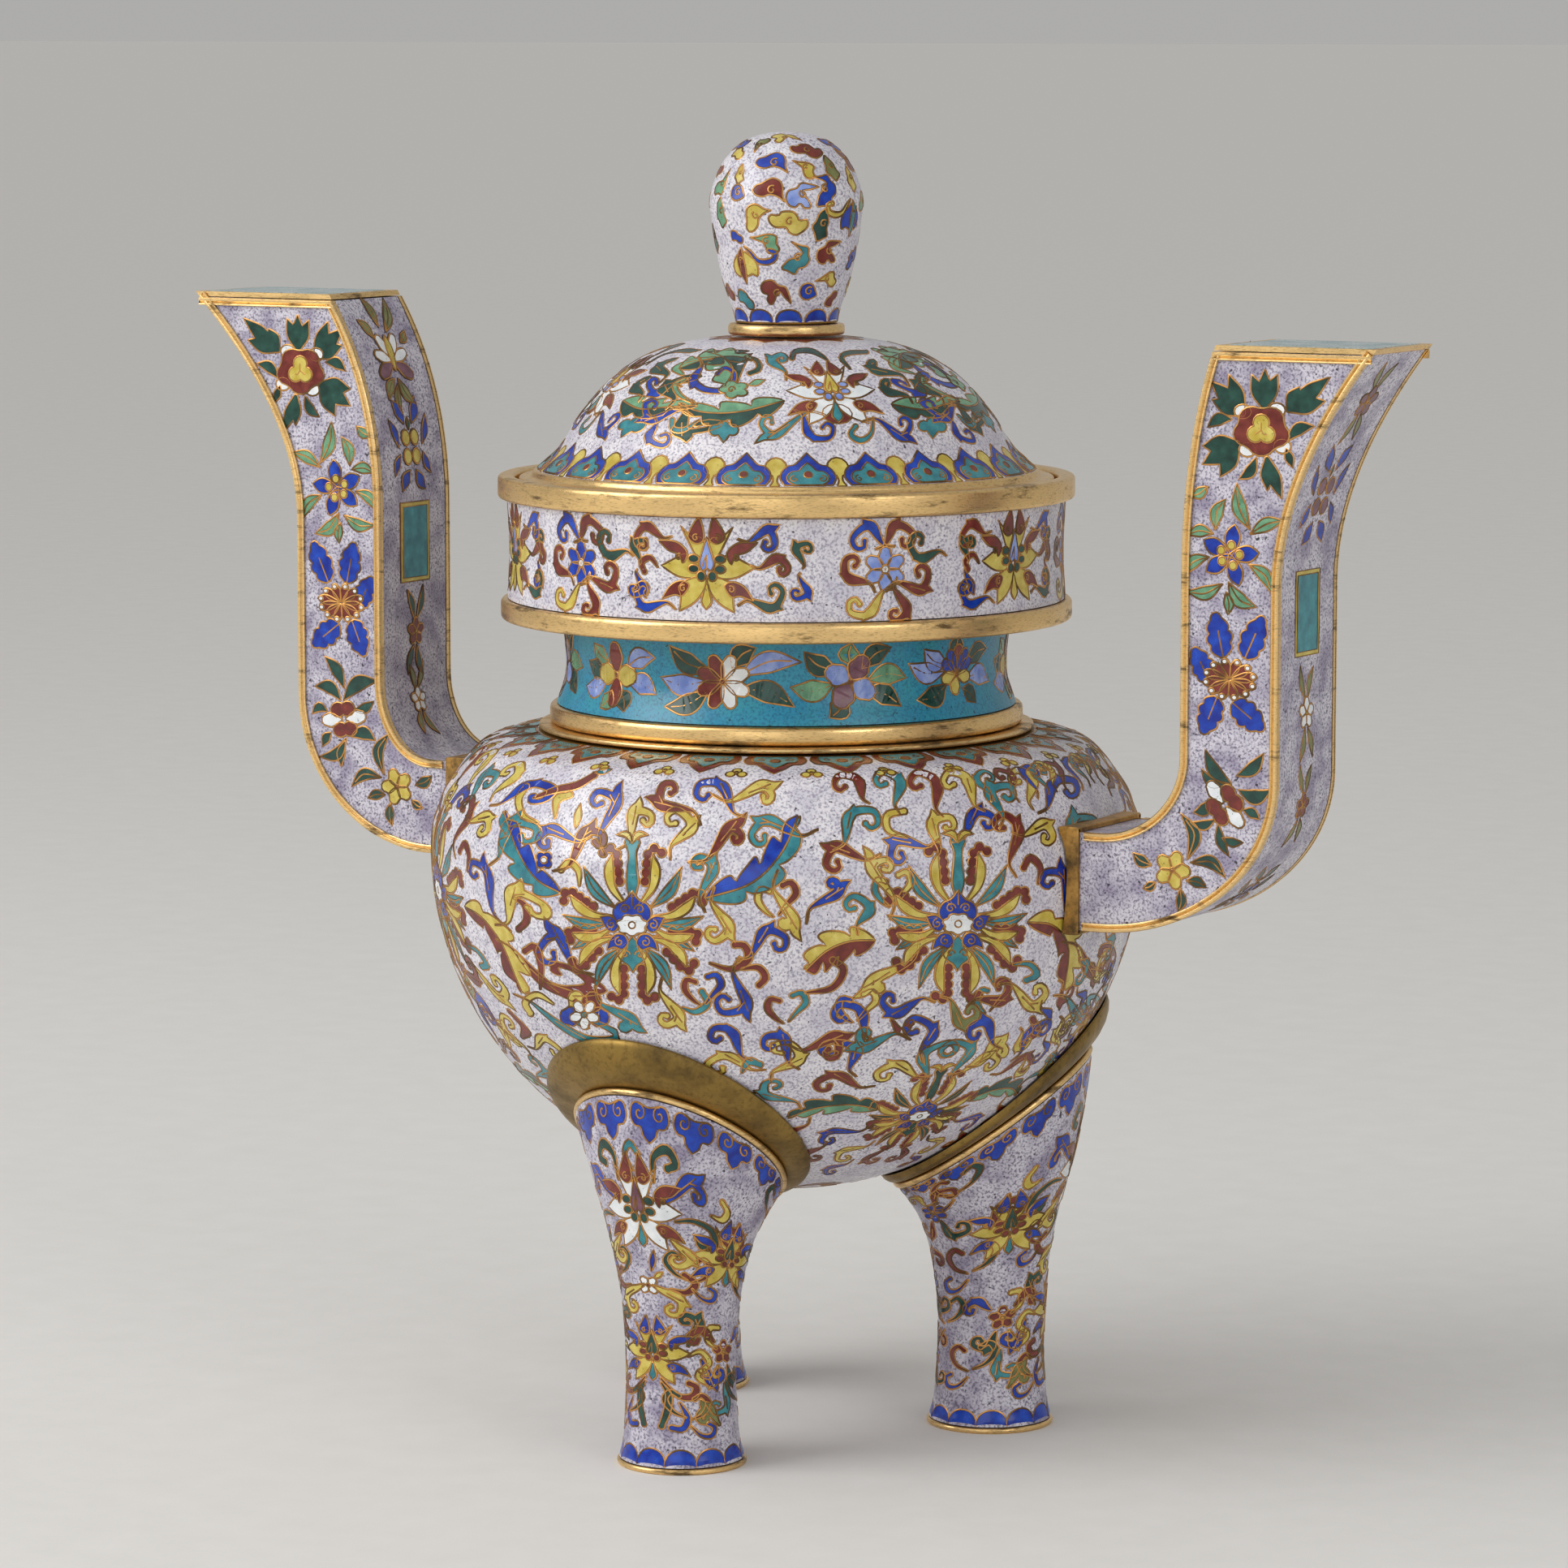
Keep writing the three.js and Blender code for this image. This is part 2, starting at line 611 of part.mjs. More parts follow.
function makeHandle(name, side, turn) {
  // The left handle is turned half round, so its near plate is the back one
  const handle = new THREE.Group();
  handle.rotation.z = turn;
  handle.position.z = -side * handleLift;
  model.add(handle);

  const { outer, inner } = handleEdges(side);
  const belly = turned([...bellyProfile(seatGap), [0, lipHeight + seatGap]]);
  belly.translate(0, 0, side * handleLift);
  const plateTop = handleTop - capThickness - seatGap;
  const face = handleWidth / 2 - edgingHeight - seatGap;
  const between = face - plateThickness - seatGap;
  const plateOutline = [...pathBelow(outer, plateTop), ...pathBelow(inner, plateTop).reverse()];
  const frameEnd = bellyRadius + rootFrameWidth;
  const edgingStart = frameEnd + seatGap;
  const border = plateTop - edgingWidth;
  const edgingOutline = [...pathBelow(startAt(outer, edgingStart), plateTop),
    ...pathBelow(startAt(inner, edgingStart), plateTop).reverse(),
    ...pathBelow(offsetPath(startAt(inner, edgingStart), -edgingWidth), border),
    ...pathBelow(offsetPath(startAt(outer, edgingStart), edgingWidth), border).reverse()];

  const sheets = [
    ['plate', plateOutline, [face - plateThickness, face], handleEnamel],
    ['edging', edgingOutline, [face + seatGap, handleWidth / 2], brightGilt],
  ];
  for (const sign of [-1, 1]) {
    const word = sign * side < 0 ? 'front' : 'back';
    for (const [part, outline, span, material] of sheets) {
      const [near, far] = span.map((value) => sign * value).sort((a, b) => a - b);
      const sheet = cut(extrudedAcross(outline, near, far), belly);
      addPiece(`${name}_handle_${word}_${part}`, sheet, material, handle);
    }
  }

  for (const [part, edge, inset] of [['outer', outer, plateThickness], ['inner', inner, -plateThickness]]) {
    const band = [...pathBelow(edge, plateTop), ...pathBelow(offsetPath(edge, inset), plateTop).reverse()];
    const strip = cut(extrudedAcross(band, -between, between), belly);
    addPiece(`${name}_handle_${part}_strip`, strip, handleEnamel, handle);
  }

  const capLow = handleTop - capThickness;
  const capOutline = [pathBelow(outer, capLow).at(-1), outer.at(-1), inner.at(-1),
    pathBelow(inner, capLow).at(-1)];
  addPiece(`${name}_handle_top_cap`, extrudedAcross(capOutline, -face, face), capEnamel, handle);

  const wall = seatGap + rootFrameWall;
  const frame = boxed([bellyRadius - cutOverrun, -face - wall, rootBottom - wall],
    [frameEnd, face + wall, rootTop + wall]);
  const frameHole = boxed([bellyRadius - 2 * cutOverrun, -face - seatGap, rootBottom - seatGap],
    [frameEnd + cutOverrun, face + seatGap, rootTop + seatGap]);
  addPiece(`${name}_handle_root_frame`, cut(frame, frameHole, belly), dullGilt, handle);

  const blockEnd = bellyRadius + rootBlockDepth;
  const block = boxed([bellyRadius - cutOverrun, -between, rootBottom + plateThickness + seatGap],
    [blockEnd, between, rootTop - plateThickness - seatGap]);
  const boltHeights = handleBoltPlaces(-side).map((height) => height + side * handleLift);
  const holes = boltHeights.map((height) => drill(handleBoltRadius + seatGap,
    new THREE.Vector3(0, 0, height), new THREE.Vector3(blockEnd + cutOverrun, 0, height)));
  addPiece(`${name}_handle_root_block`, cut(block, belly, ...holes), plainBrass, handle);

  const inwards = new THREE.Vector3(-1, 0, 0);
  const words = ['lower', 'upper'];
  boltHeights.forEach((height, i) => {
    // The head clears the nearest place of the bowl's inside that its rim comes to
    const real = height - side * handleLift;
    const ends = [real - handleBoltHeadRadius, real + handleBoltHeadRadius];
    const nearest = Math.min(...ends.map((end) => radiusAt(hollowProfile(), end)));
    const facet = nearest * Math.cos(Math.PI / turnedSegments);
    const seat = Math.sqrt(facet * facet - handleBoltHeadRadius * handleBoltHeadRadius) - seatGap;
    const screw = bolt(handleBoltRadius, handleBoltHeadRadius, handleBoltHeadHeight, blockEnd - seat);
    const tip = new THREE.Vector3(blockEnd, 0, height);
    addPiece(`${name}_handle_${words[i]}_bolt`, pointed(screw, tip, inwards), plainBrass, handle);
  });
}

// Neck section

function makeNeckSection() {
  const footTop = neckFootBottom + neckFootHeight;
  const spigotRadius = mouthRadius - looseFit;
  const foot = easedRing(spigotRadius + seatGap, mouthRadius + neckFootOut, neckFootBottom, footTop);
  addPiece('neck_foot_ring', turned(foot), brightGilt);
  addPiece('neck_spigot', turned([[spigotRadius - spigotWall, neckFootBottom - spigotDepth],
    [spigotRadius, neckFootBottom - spigotDepth], [spigotRadius, footTop],
    [spigotRadius - spigotWall, footTop]]), plainBrass);

  const waistHeight = neckBandBottom + neckWaistShare * neckBandHeight;
  const bandTop = neckBandBottom + neckBandHeight;
  const curve = new THREE.SplineCurve([new THREE.Vector2(mouthRadius + neckFlareOut, neckBandBottom),
    new THREE.Vector2(mouthRadius + neckWaistOut, waistHeight), new THREE.Vector2(neckTopRadius, bandTop)]);
  const outside = curve.getPoints(neckSteps).map((point) => [point.x, point.y]);
  const inside = outside.map(([radius, height]) => [radius - neckWall, height]).reverse();
  addPiece('neck_band', turned([...outside, ...inside]), neckEnamel);

  const inner = neckTopRadius - neckWall;
  const lowTop = collarFootBottom + collarFootHeight;
  const step = collarRadius - collarWall - seatGap;
  addPiece('collar_foot_ring', turned([[inner, collarFootBottom],
    [collarFootRadius - edgeEase, collarFootBottom], [collarFootRadius, collarFootBottom + edgeEase],
    [collarFootRadius, lowTop - edgeEase],
    [collarFootRadius - edgeEase, lowTop], [step, lowTop], [step, collarFootBottom + collarFloor],
    [inner, collarFootBottom + collarFloor]]), brightGilt);

  const collarTop = collarBottom + collarHeight;
  const middle = (collarBottom + collarTop) / 2;
  const innerRadius = collarRadius - collarWall;
  addPiece('collar_band', turned([[collarRadius, collarBottom], [collarRadius - collarWaist, middle],
    [collarRadius, collarTop], [innerRadius, collarTop], [innerRadius - collarWaist, middle],
    [innerRadius, collarBottom]]), paleEnamel);

  const rimTop = collarRimBottom + collarRimHeight;
  const ledgeTop = collarRimBottom + coverLedge;
  addPiece('collar_rim_ring', turned([[coverLedgeRadius, collarRimBottom],
    [collarRimRadius - edgeEase, collarRimBottom], [collarRimRadius, collarRimBottom + edgeEase],
    [collarRimRadius, rimTop - edgeEase], [collarRimRadius - edgeEase, rimTop], [coverRecessRadius, rimTop],
    [coverRecessRadius, ledgeTop], [coverLedgeRadius, ledgeTop]]), brightGilt);
}

// Cover

function makeCover() {
  const rimTop = coverRimBottom + coverRimHeight;
  const stepTop = coverRimBottom + coverRimStep;
  const inner = coverRimRadius - coverRimWidth;
  const shoulder = domeRadius + edgeEase;
  addPiece('cover_rim_ring', turned([[inner, coverRimBottom], [coverRimRadius, coverRimBottom],
    [coverRimRadius, stepTop - edgeEase], [coverRimRadius - edgeEase, stepTop],
    [shoulder + edgeEase, stepTop], [shoulder, rimTop], [inner, rimTop]]), brightGilt);

  const sleeve = coverLedgeRadius - looseFit;
  const sleeveTop = coverRimBottom - seatGap;
  addPiece('cover_sleeve', turned([[sleeve - coverSleeveWall, sleeveTop - coverSleeveDepth],
    [sleeve, sleeveTop - coverSleeveDepth], [sleeve, sleeveTop],
    [sleeve - coverSleeveWall, sleeveTop]]), plainBrass);

  const outline = domeShares.map(([radiusShare, heightShare]) => new THREE.Vector2(
    domeRadius * radiusShare, domeBottom + domeHeight * heightShare));
  const hole = studRadius + seatGap;
  const outside = outline.map((point) => [point.x, point.y]);
  const inside = everyOther(offsetPath(outline, domeWall))
    .map((point) => [point.x, Math.max(point.y, domeBottom)]);
  addPiece('cover_dome', turned([...outside, [hole, domeTop], [hole, domeTop - domeWall],
    ...inside.reverse()]), paleEnamel);
}

// Finial and the stud that holds it

function makeFinial() {
  const hole = studRadius + seatGap;
  const ringTop = finialRingBottom + finialRingHeight;
  const base = easedRing(hole, finialFootRadius + finialRingLip, finialRingBottom, ringTop);
  addPiece('finial_base_ring', turned(base, legSegments), brightGilt);

  const curve = new THREE.SplineCurve(finialShares.map(([radiusShare, heightShare]) => new THREE.Vector2(
    finialRadius * radiusShare, finialBottom + finialHeight * heightShare)));
  const outline = curve.getPoints(finialShares.length - 1);
  outline.at(-1).x = 0;
  const inside = everyOther(offsetPath(outline, finialWall))
    .filter((point) => point.y > finialBottom + finialWall);
  inside.at(-1).x = 0;
  addPiece('finial_shell', turned([...outline.map((point) => [point.x, point.y]),
    ...inside.reverse().map((point) => [point.x, point.y]), [finialMouthRadius, finialBottom]],
  legSegments), paleEnamel);

  const flangeBottom = finialBottom + seatGap;
  const flangeTop = flangeBottom + studFlangeHeight;
  const washerTop = domeTop - domeWall - seatGap;
  const nutTop = washerTop - washerHeight - seatGap;
  const tail = nutTop - nutHeight - studTail;
  const flange = finialMouthRadius - studFlangeFit;
  addPiece('finial_stud', turned([[0, tail], [studRadius, tail], [studRadius, flangeBottom],
    [flange, flangeBottom], [flange, flangeTop], [0, flangeTop]], smallSegments), plainBrass);
  const washerBottom = washerTop - washerHeight;
  addPiece('finial_washer', turned([[hole, washerBottom], [washerRadius, washerBottom],
    [washerRadius, washerTop], [hole, washerTop]], smallSegments), plainBrass);
  const nutRadius = nutAcross / Math.sqrt(3);
  const nutBlank = turned([[0, nutTop - nutHeight], [nutRadius, nutTop - nutHeight], [nutRadius, nutTop],
    [0, nutTop]], 6);
  const bore = drill(hole, new THREE.Vector3(0, 0, tail), new THREE.Vector3(0, 0, domeTop));
  addPiece('finial_nut', cut(nutBlank, bore), plainBrass);
}

makeBowl();
legNames.forEach((name, i) => makeLeg(name, legAngles[i]));
makeHandle('right', 1, 0);
makeHandle('left', -1, Math.PI);
makeNeckSection();
makeCover();
makeFinial();

export default model;
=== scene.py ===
# The enamelled tripod incense burner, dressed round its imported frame.
# Metres, Z up, the front leg towards -Y, the handles along X. Sizes in the dictionaries are millimetres.

import math

import bpy
import numpy as np
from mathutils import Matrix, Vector
from mathutils.geometry import delaunay_2d_cdt


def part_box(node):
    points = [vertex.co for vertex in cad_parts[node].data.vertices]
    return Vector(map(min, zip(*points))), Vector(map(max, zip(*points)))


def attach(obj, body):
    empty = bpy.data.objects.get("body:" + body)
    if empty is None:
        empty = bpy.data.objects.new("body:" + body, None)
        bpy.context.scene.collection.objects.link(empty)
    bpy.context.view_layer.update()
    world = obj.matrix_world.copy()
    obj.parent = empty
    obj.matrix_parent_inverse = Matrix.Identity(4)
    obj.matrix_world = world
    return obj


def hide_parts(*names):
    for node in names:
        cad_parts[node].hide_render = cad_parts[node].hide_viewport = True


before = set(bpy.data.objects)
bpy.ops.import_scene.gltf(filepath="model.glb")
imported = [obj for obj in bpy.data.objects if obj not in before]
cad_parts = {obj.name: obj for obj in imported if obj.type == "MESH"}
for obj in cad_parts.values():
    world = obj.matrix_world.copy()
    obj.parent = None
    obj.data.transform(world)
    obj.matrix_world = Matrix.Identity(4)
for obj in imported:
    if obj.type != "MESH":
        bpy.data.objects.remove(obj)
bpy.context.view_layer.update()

mm = 0.001
wireWidth = 0.86
wireRise = 0.12          # of a wire's crest over the enamel beside it
cellRise = 0.05          # of the lowest enamel cell over the ground
levelRise = 0.1          # between cells that lie on each other
skinInset = 0.45         # of the ground inside the frame's outline, so that no wire stands out of it


# Camera: at the photograph's place, its sight dipped a few degrees under the horizon

cameraSet = {"azimuth": 30, "distance": 1959.4, "height": 448.8, "pitch": 7.05, "lens": 142.55,
             "sensor": 36, "axisPixel": 969, "framePixels": 1932, "near": 0.1, "far": 300}


def makeCamera():
    # Stands at its distance and azimuth round the vessel's axis; the sight is dipped by the pitch
    turn = math.radians(cameraSet["azimuth"])
    dip = math.radians(cameraSet["pitch"])
    data = bpy.data.cameras.new("camera")
    camera = bpy.data.objects.new("camera", data)
    bpy.context.scene.collection.objects.link(camera)
    away = cameraSet["distance"] * mm
    camera.location = (away * math.sin(turn), -away * math.cos(turn), cameraSet["height"] * mm)
    sight = Vector((-math.sin(turn) * math.cos(dip), math.cos(turn) * math.cos(dip), -math.sin(dip)))
    camera.rotation_mode = "QUATERNION"
    camera.rotation_quaternion = sight.to_track_quat("-Z", "Y")
    data.lens = cameraSet["lens"]
    data.sensor_width = cameraSet["sensor"]
    data.shift_x = (cameraSet["framePixels"] / 2 - cameraSet["axisPixel"]) / cameraSet["framePixels"]
    data.clip_start, data.clip_end = cameraSet["near"], cameraSet["far"]
    bpy.context.scene.camera = camera


makeCamera()
print("camera made")


# Light and floor: a wide soft box high on the left, one on the right, a low one in front, and a very wide
# sun that lifts the far floor to the air behind it

studioSet = {"floor": "#e0deda", "grain": "#e8e6e3", "air": "#e8e7e5", "airStrength": 0.52,
             "sun": 0.56, "sunWidth": 70, "sunTilt": (24, -18), "aim": 0.2, "floorReach": 90,
             "boxes": [((-1.3, -1.5, 1.35), 1.5, 26.0), ((2.0, -0.9, 0.95), 1.0, 7.0),
                       ((0.9, -3.2, 0.5), 1.8, 10.0)]}


def addNode(tree, kind, links=None, **settings):
    # One node; links gives its sockets a number, a colour or another node's output
    node = tree.nodes.new(kind)
    for name, value in settings.items():
        setattr(node, name, value)
    for socket, value in (links or {}).items():
        if isinstance(value, bpy.types.NodeSocket):
            tree.links.new(value, node.inputs[socket])
        else:
            node.inputs[socket].default_value = value
    return node


def linear(hexColour):
    # sRGB hex to linear: ((c + 0.055) / 1.055) ** 2.4
    parts = np.array([int(hexColour[i:i + 2], 16) for i in (1, 3, 5)]) / 255
    return (*np.where(parts < 0.04045, parts / 12.92, ((parts + 0.055) / 1.055) ** 2.4), 1.0)


def newMaterial(name):
    # A material with an empty node tree
    material = bpy.data.materials.new(name)
    material.use_nodes = True
    material.node_tree.nodes.clear()
    return material, material.node_tree


def shaded(tree, links):
    # The surface shader and the output
    shader = addNode(tree, "ShaderNodeBsdfPrincipled", links)
    addNode(tree, "ShaderNodeOutputMaterial", {"Surface": shader.outputs[0]})


def mixed(tree, share, first, second):
    # A colour that goes from first to second as share goes from 0 to 1
    return addNode(tree, "ShaderNodeMix", {0: share, 6: first, 7: second}, data_type="RGBA").outputs[2]


def ramped(tree, value, low, high, fromValue=0.0, toValue=1.0):
    # A value spread from low..high to fromValue..toValue
    return addNode(tree, "ShaderNodeMapRange", {"Value": value, "From Min": low, "From Max": high,
                                                "To Min": fromValue, "To Max": toValue}).outputs[0]


def objectPlace(tree):
    # The piece's own coordinates, in metres
    return addNode(tree, "ShaderNodeTexCoord").outputs["Object"]


def noise(tree, place, size, detail, roughness=0.5):
    # Clouds of about the given size in mm
    return addNode(tree, "ShaderNodeTexNoise", {"Vector": place, "Scale": 1 / (size * mm), "Detail": detail,
                                                "Roughness": roughness}).outputs[0]


def bumped(tree, height, strength):
    # Unevenness 0.1 mm deep
    return addNode(tree, "ShaderNodeBump", {"Height": height, "Strength": strength,
                                            "Distance": 0.1 * mm}).outputs[0]


def makeStudio():
    # Air, soft boxes that look at the vessel, and the wide sun
    scene = bpy.context.scene
    scene.view_settings.view_transform = "Standard"
    world = bpy.data.worlds.new("studioAir")
    scene.world = world
    world.use_nodes = True
    background = world.node_tree.nodes["Background"]
    background.inputs[0].default_value = linear(studioSet["air"])
    background.inputs[1].default_value = studioSet["airStrength"]
    for i, (place, size, power) in enumerate(studioSet["boxes"]):
        data = bpy.data.lights.new(f"softBox{i}", "AREA")
        data.shape, data.size, data.energy = "SQUARE", size, power
        light = bpy.data.objects.new(f"softBox{i}", data)
        scene.collection.objects.link(light)
        light.location = place
        sight = Vector((0, 0, studioSet["aim"])) - Vector(place)
        light.rotation_euler = sight.to_track_quat("-Z", "Y").to_euler()
    data = bpy.data.lights.new("wideSun", "SUN")
    data.energy, data.angle = studioSet["sun"], math.radians(studioSet["sunWidth"])
    light = bpy.data.objects.new("wideSun", data)
    scene.collection.objects.link(light)
    light.rotation_euler = (*map(math.radians, studioSet["sunTilt"]), 0)


def floorMaterial():
    # Matt painted board: pale, with a faint grain that keeps it from looking flat
    material, tree = newMaterial("mattPaintedBoard")
    place = objectPlace(tree)
    grain = addNode(tree, "ShaderNodeTexNoise", {"Vector": place, "Scale": 60.0, "Detail": 4.0}).outputs[0]
    tone = mixed(tree, grain, linear(studioSet["floor"]), linear(studioSet["grain"]))
    shaded(tree, {"Base Color": tone, "Roughness": 0.75})
    return material


# Mesh tools

def gridFaces(rows, columns, closedRows=False, closedColumns=False):
    # Quads between neighbouring points of a rows by columns grid
    i, j = np.meshgrid(np.arange(rows if closedRows else rows - 1),
                       np.arange(columns if closedColumns else columns - 1), indexing="ij")
    up, over = (i + 1) % rows, (j + 1) % columns
    quads = [i * columns + j, i * columns + over, up * columns + over, up * columns + j]
    return np.stack(quads, -1).reshape(-1, 4)


def makePiece(name, points, faces, materials, body, slotName, replaced=(), faceMaterials=None, sharp=35):
    # points in millimetres; faces is an array of quads or triangles, or a list of such arrays; an edge that
    # bends more than sharp degrees stays hard
    groups = faces if isinstance(faces, list) else [faces]
    mesh = bpy.data.meshes.new(name)
    mesh.vertices.add(len(points))
    mesh.vertices.foreach_set("co", (np.asarray(points, float) * mm).astype(np.float32).ravel())
    sizes = np.concatenate([np.full(len(g), g.shape[1]) for g in groups])
    mesh.loops.add(int(sizes.sum()))
    mesh.loops.foreach_set("vertex_index", np.concatenate([g.ravel() for g in groups]).astype(np.int32))
    mesh.polygons.add(len(sizes))
    mesh.polygons.foreach_set("loop_start", (np.cumsum(sizes) - sizes).astype(np.int32))
    if faceMaterials is not None:
        mesh.polygons.foreach_set("material_index", np.asarray(faceMaterials, np.int32))
    mesh.update(calc_edges=True)
    for material in materials:
        mesh.materials.append(material)
    mesh.shade_smooth()
    mesh.set_sharp_from_angle(angle=math.radians(sharp))
    piece = bpy.data.objects.new(name, mesh)
    bpy.context.scene.collection.objects.link(piece)
    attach(piece, body)
    if replaced:
        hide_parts(*replaced)
    return piece


def curved(points, steps=6):
    # Catmull-Rom spline through the points: the cubic that has slope (next - previous) / 2 at each
    p = np.asarray(points, float)
    p = np.concatenate([[2 * p[0] - p[1]], p, [2 * p[-1] - p[-2]]])
    t = (np.arange(steps) / steps)[None, :, None] if p.ndim > 1 else (np.arange(steps) / steps)[None, :]
    a, b, c, d = (p[k:len(p) - 3 + k][:, None] for k in range(4))
    square, cube = (2 * a - 5 * b + 4 * c - d) * t ** 2, (3 * b - a - 3 * c + d) * t ** 3
    spans = 0.5 * (2 * b + (c - a) * t + square + cube)
    return np.concatenate([spans.reshape(-1, *p.shape[1:]), p[-2:-1]])


def runOf(points):
    # The length of the path up to each point
    return np.concatenate([[0], np.cumsum(np.linalg.norm(np.diff(points, axis=0), axis=1))])


def along(points, count):
    # The same path with its points evenly spaced
    run = runOf(points)
    at = np.linspace(0, run[-1], count)
    return np.stack([np.interp(at, run, column) for column in points.T], 1)


def sideways(points, closed=False):
    # Unit normals of a flat path, to the left of its run
    if closed:
        ahead = np.roll(points, -1, 0) - np.roll(points, 1, 0)
    else:
        ahead = np.gradient(points, axis=0)
    ahead = ahead / np.maximum(np.linalg.norm(ahead, axis=1, keepdims=True), 1e-9)
    return np.stack([-ahead[:, 1], ahead[:, 0]], 1)


def eased(profile, radius, steps=3):
    # A closed outline whose corners are rounded by curves that start at radius from each corner
    p = np.asarray(profile, float)
    rows = []
    for before, corner, after in zip(np.roll(p, 1, 0), p, np.roll(p, -1, 0)):
        reach = [min(radius, np.linalg.norm(q - corner) / 2.2) for q in (before, after)]
        start = corner + (before - corner) / max(np.linalg.norm(before - corner), 1e-9) * reach[0]
        end = corner + (after - corner) / max(np.linalg.norm(after - corner), 1e-9) * reach[1]
        t = np.linspace(0, 1, steps + 1)[:, None]
        rows.append((1 - t) ** 2 * start + 2 * t * (1 - t) * corner + t ** 2 * end)
    return np.concatenate(rows)


def turned(profile, segments=192):
    # A profile of radius and height carried round Z: (r sin a, -r cos a, z); ends on the axis become poles
    p = np.asarray(profile, float)
    poles = [p[0, 0] < 1e-6, p[-1, 0] < 1e-6]
    body = p[int(poles[0]):len(p) - int(poles[1])]
    a = 2 * np.pi * np.arange(segments) / segments
    points = np.stack([np.outer(body[:, 0], np.sin(a)), np.outer(body[:, 0], -np.cos(a)),
                       np.repeat(body[:, 1:2], segments, 1)], -1).reshape(-1, 3)
    groups = [gridFaces(len(body), segments, not any(poles), True)]
    ring = np.arange(segments)
    for pole, row, flip in ((poles[0], 0, True), (poles[1], len(body) - 1, False)):
        if pole:
            tip = np.full(segments, len(points))
            ends = [row * segments + ring, row * segments + (ring + 1) % segments, tip]
            groups.append(np.stack(ends[::-1] if flip else ends, 1))
            points = np.concatenate([points, [[0, 0, p[0, 1] if flip else p[-1, 1]]]])
    return points, groups


def closedOutwards(profile):
    # Counter-clockwise in radius and height, which turns a closed profile's faces outwards
    r, z = np.asarray(profile, float).T
    area = np.sum(r * np.roll(z, -1) - z * np.roll(r, -1))
    return profile if area > 0 else profile[::-1]


# Materials

enamelHex = {
    "cobalt": ("#04228c", "#0b48bd"), "turquoise": ("#25707c", "#3f949c"), "red": ("#63201a", "#84352a"),
    "yellow": ("#bda53c", "#d8c766"), "darkGreen": ("#12352d", "#1f5145"),
    "lightGreen": ("#57896a", "#79ad84"),
    "paleBlue": ("#6f88d0", "#9fb2e6"), "white": ("#dde2e4", "#f4f6f7"), "plum": ("#64394a", "#855a68"),
    "olive": ("#666c38", "#858852"),
}
groundHex = {
    # pale, cloud, stipple, dark specks
    "bodyGround": ("#e6e3e8", "#d0ccd8", "#8d879b", "#2c2733"),
    "limbGround": ("#d2ced9", "#9a92a9", "#5a526c", "#1f1a24"),
    "neckGround": ("#2a8fb4", "#2f97ae", "#1c6c8c", "#123446"),
    "capGround": ("#b9c6c4", "#93a9ab", "#6a7f86", "#343d42"),
}


def groundEnamel(name):
    # Fired enamel ground: opaque glass stirred with darker grains, which the eye sees as a dense grey-violet
    # stipple over clouds of 9 mm, with a few dark points; the stipple is drawn at 0.8 mm, coarser than the
    # real 0.4 mm, so that it shows; the skin is glossy with fine pits
    pale, cloud, grain, dark = (linear(h) for h in groundHex[name])
    material, tree = newMaterial(name + "FiredEnamel")
    place = objectPlace(tree)
    clouds = noise(tree, place, 9, 4.0)
    grains = noise(tree, place, 0.8, 2.0)
    specks = noise(tree, place, 1.4, 1.0)
    tone = mixed(tree, ramped(tree, clouds, 0.4, 0.65), pale, cloud)
    tone = mixed(tree, ramped(tree, grains, 0.46, 0.66, 0, 0.85), tone, grain)
    tone = mixed(tree, ramped(tree, specks, 0.7, 0.74, 0, 0.9), tone, dark)
    pits = bumped(tree, specks, 0.12)
    shaded(tree, {"Base Color": tone, "Roughness": ramped(tree, clouds, 0.3, 0.7, 0.24, 0.38), "IOR": 1.52,
                  "Normal": pits})
    return material


def cellEnamel(name):
    # Fired enamel in a wired cell: coloured glass laid in by hand, so the tone wanders over 4 mm and small
    # bubbles leave dark points; polished, hence glossy
    deep, light = (linear(h) for h in enamelHex[name])
    material, tree = newMaterial(name + "CellEnamel")
    place = objectPlace(tree)
    tones = noise(tree, place, 4, 3.0)
    bubbles = noise(tree, place, 0.9, 1.0)
    tone = mixed(tree, ramped(tree, tones, 0.35, 0.7), deep, light)
    tone = mixed(tree, ramped(tree, bubbles, 0.69, 0.75, 0, 0.5), tone, linear("#2a2a30"))
    pits = bumped(tree, bubbles, 0.1)
    shaded(tree, {"Base Color": tone, "Roughness": ramped(tree, tones, 0.3, 0.7, 0.16, 0.28), "IOR": 1.52,
                  "Normal": pits})
    return material


giltSet = {
    # bright, worn, share of wear from and to, least and most roughness
    "fireGilding": ("#f0cb8c", "#5a4426", 0.54, 0.64, 0.24, 0.5),
    "wornGilding": ("#9c7f45", "#4a3a20", 0.42, 0.7, 0.34, 0.55),
    "frameGilding": ("#c79a55", "#3d3326", 0.46, 0.64, 0.36, 0.6),
    "castBrass": ("#9c7a3c", "#5d4723", 0.45, 0.75, 0.4, 0.6),
}


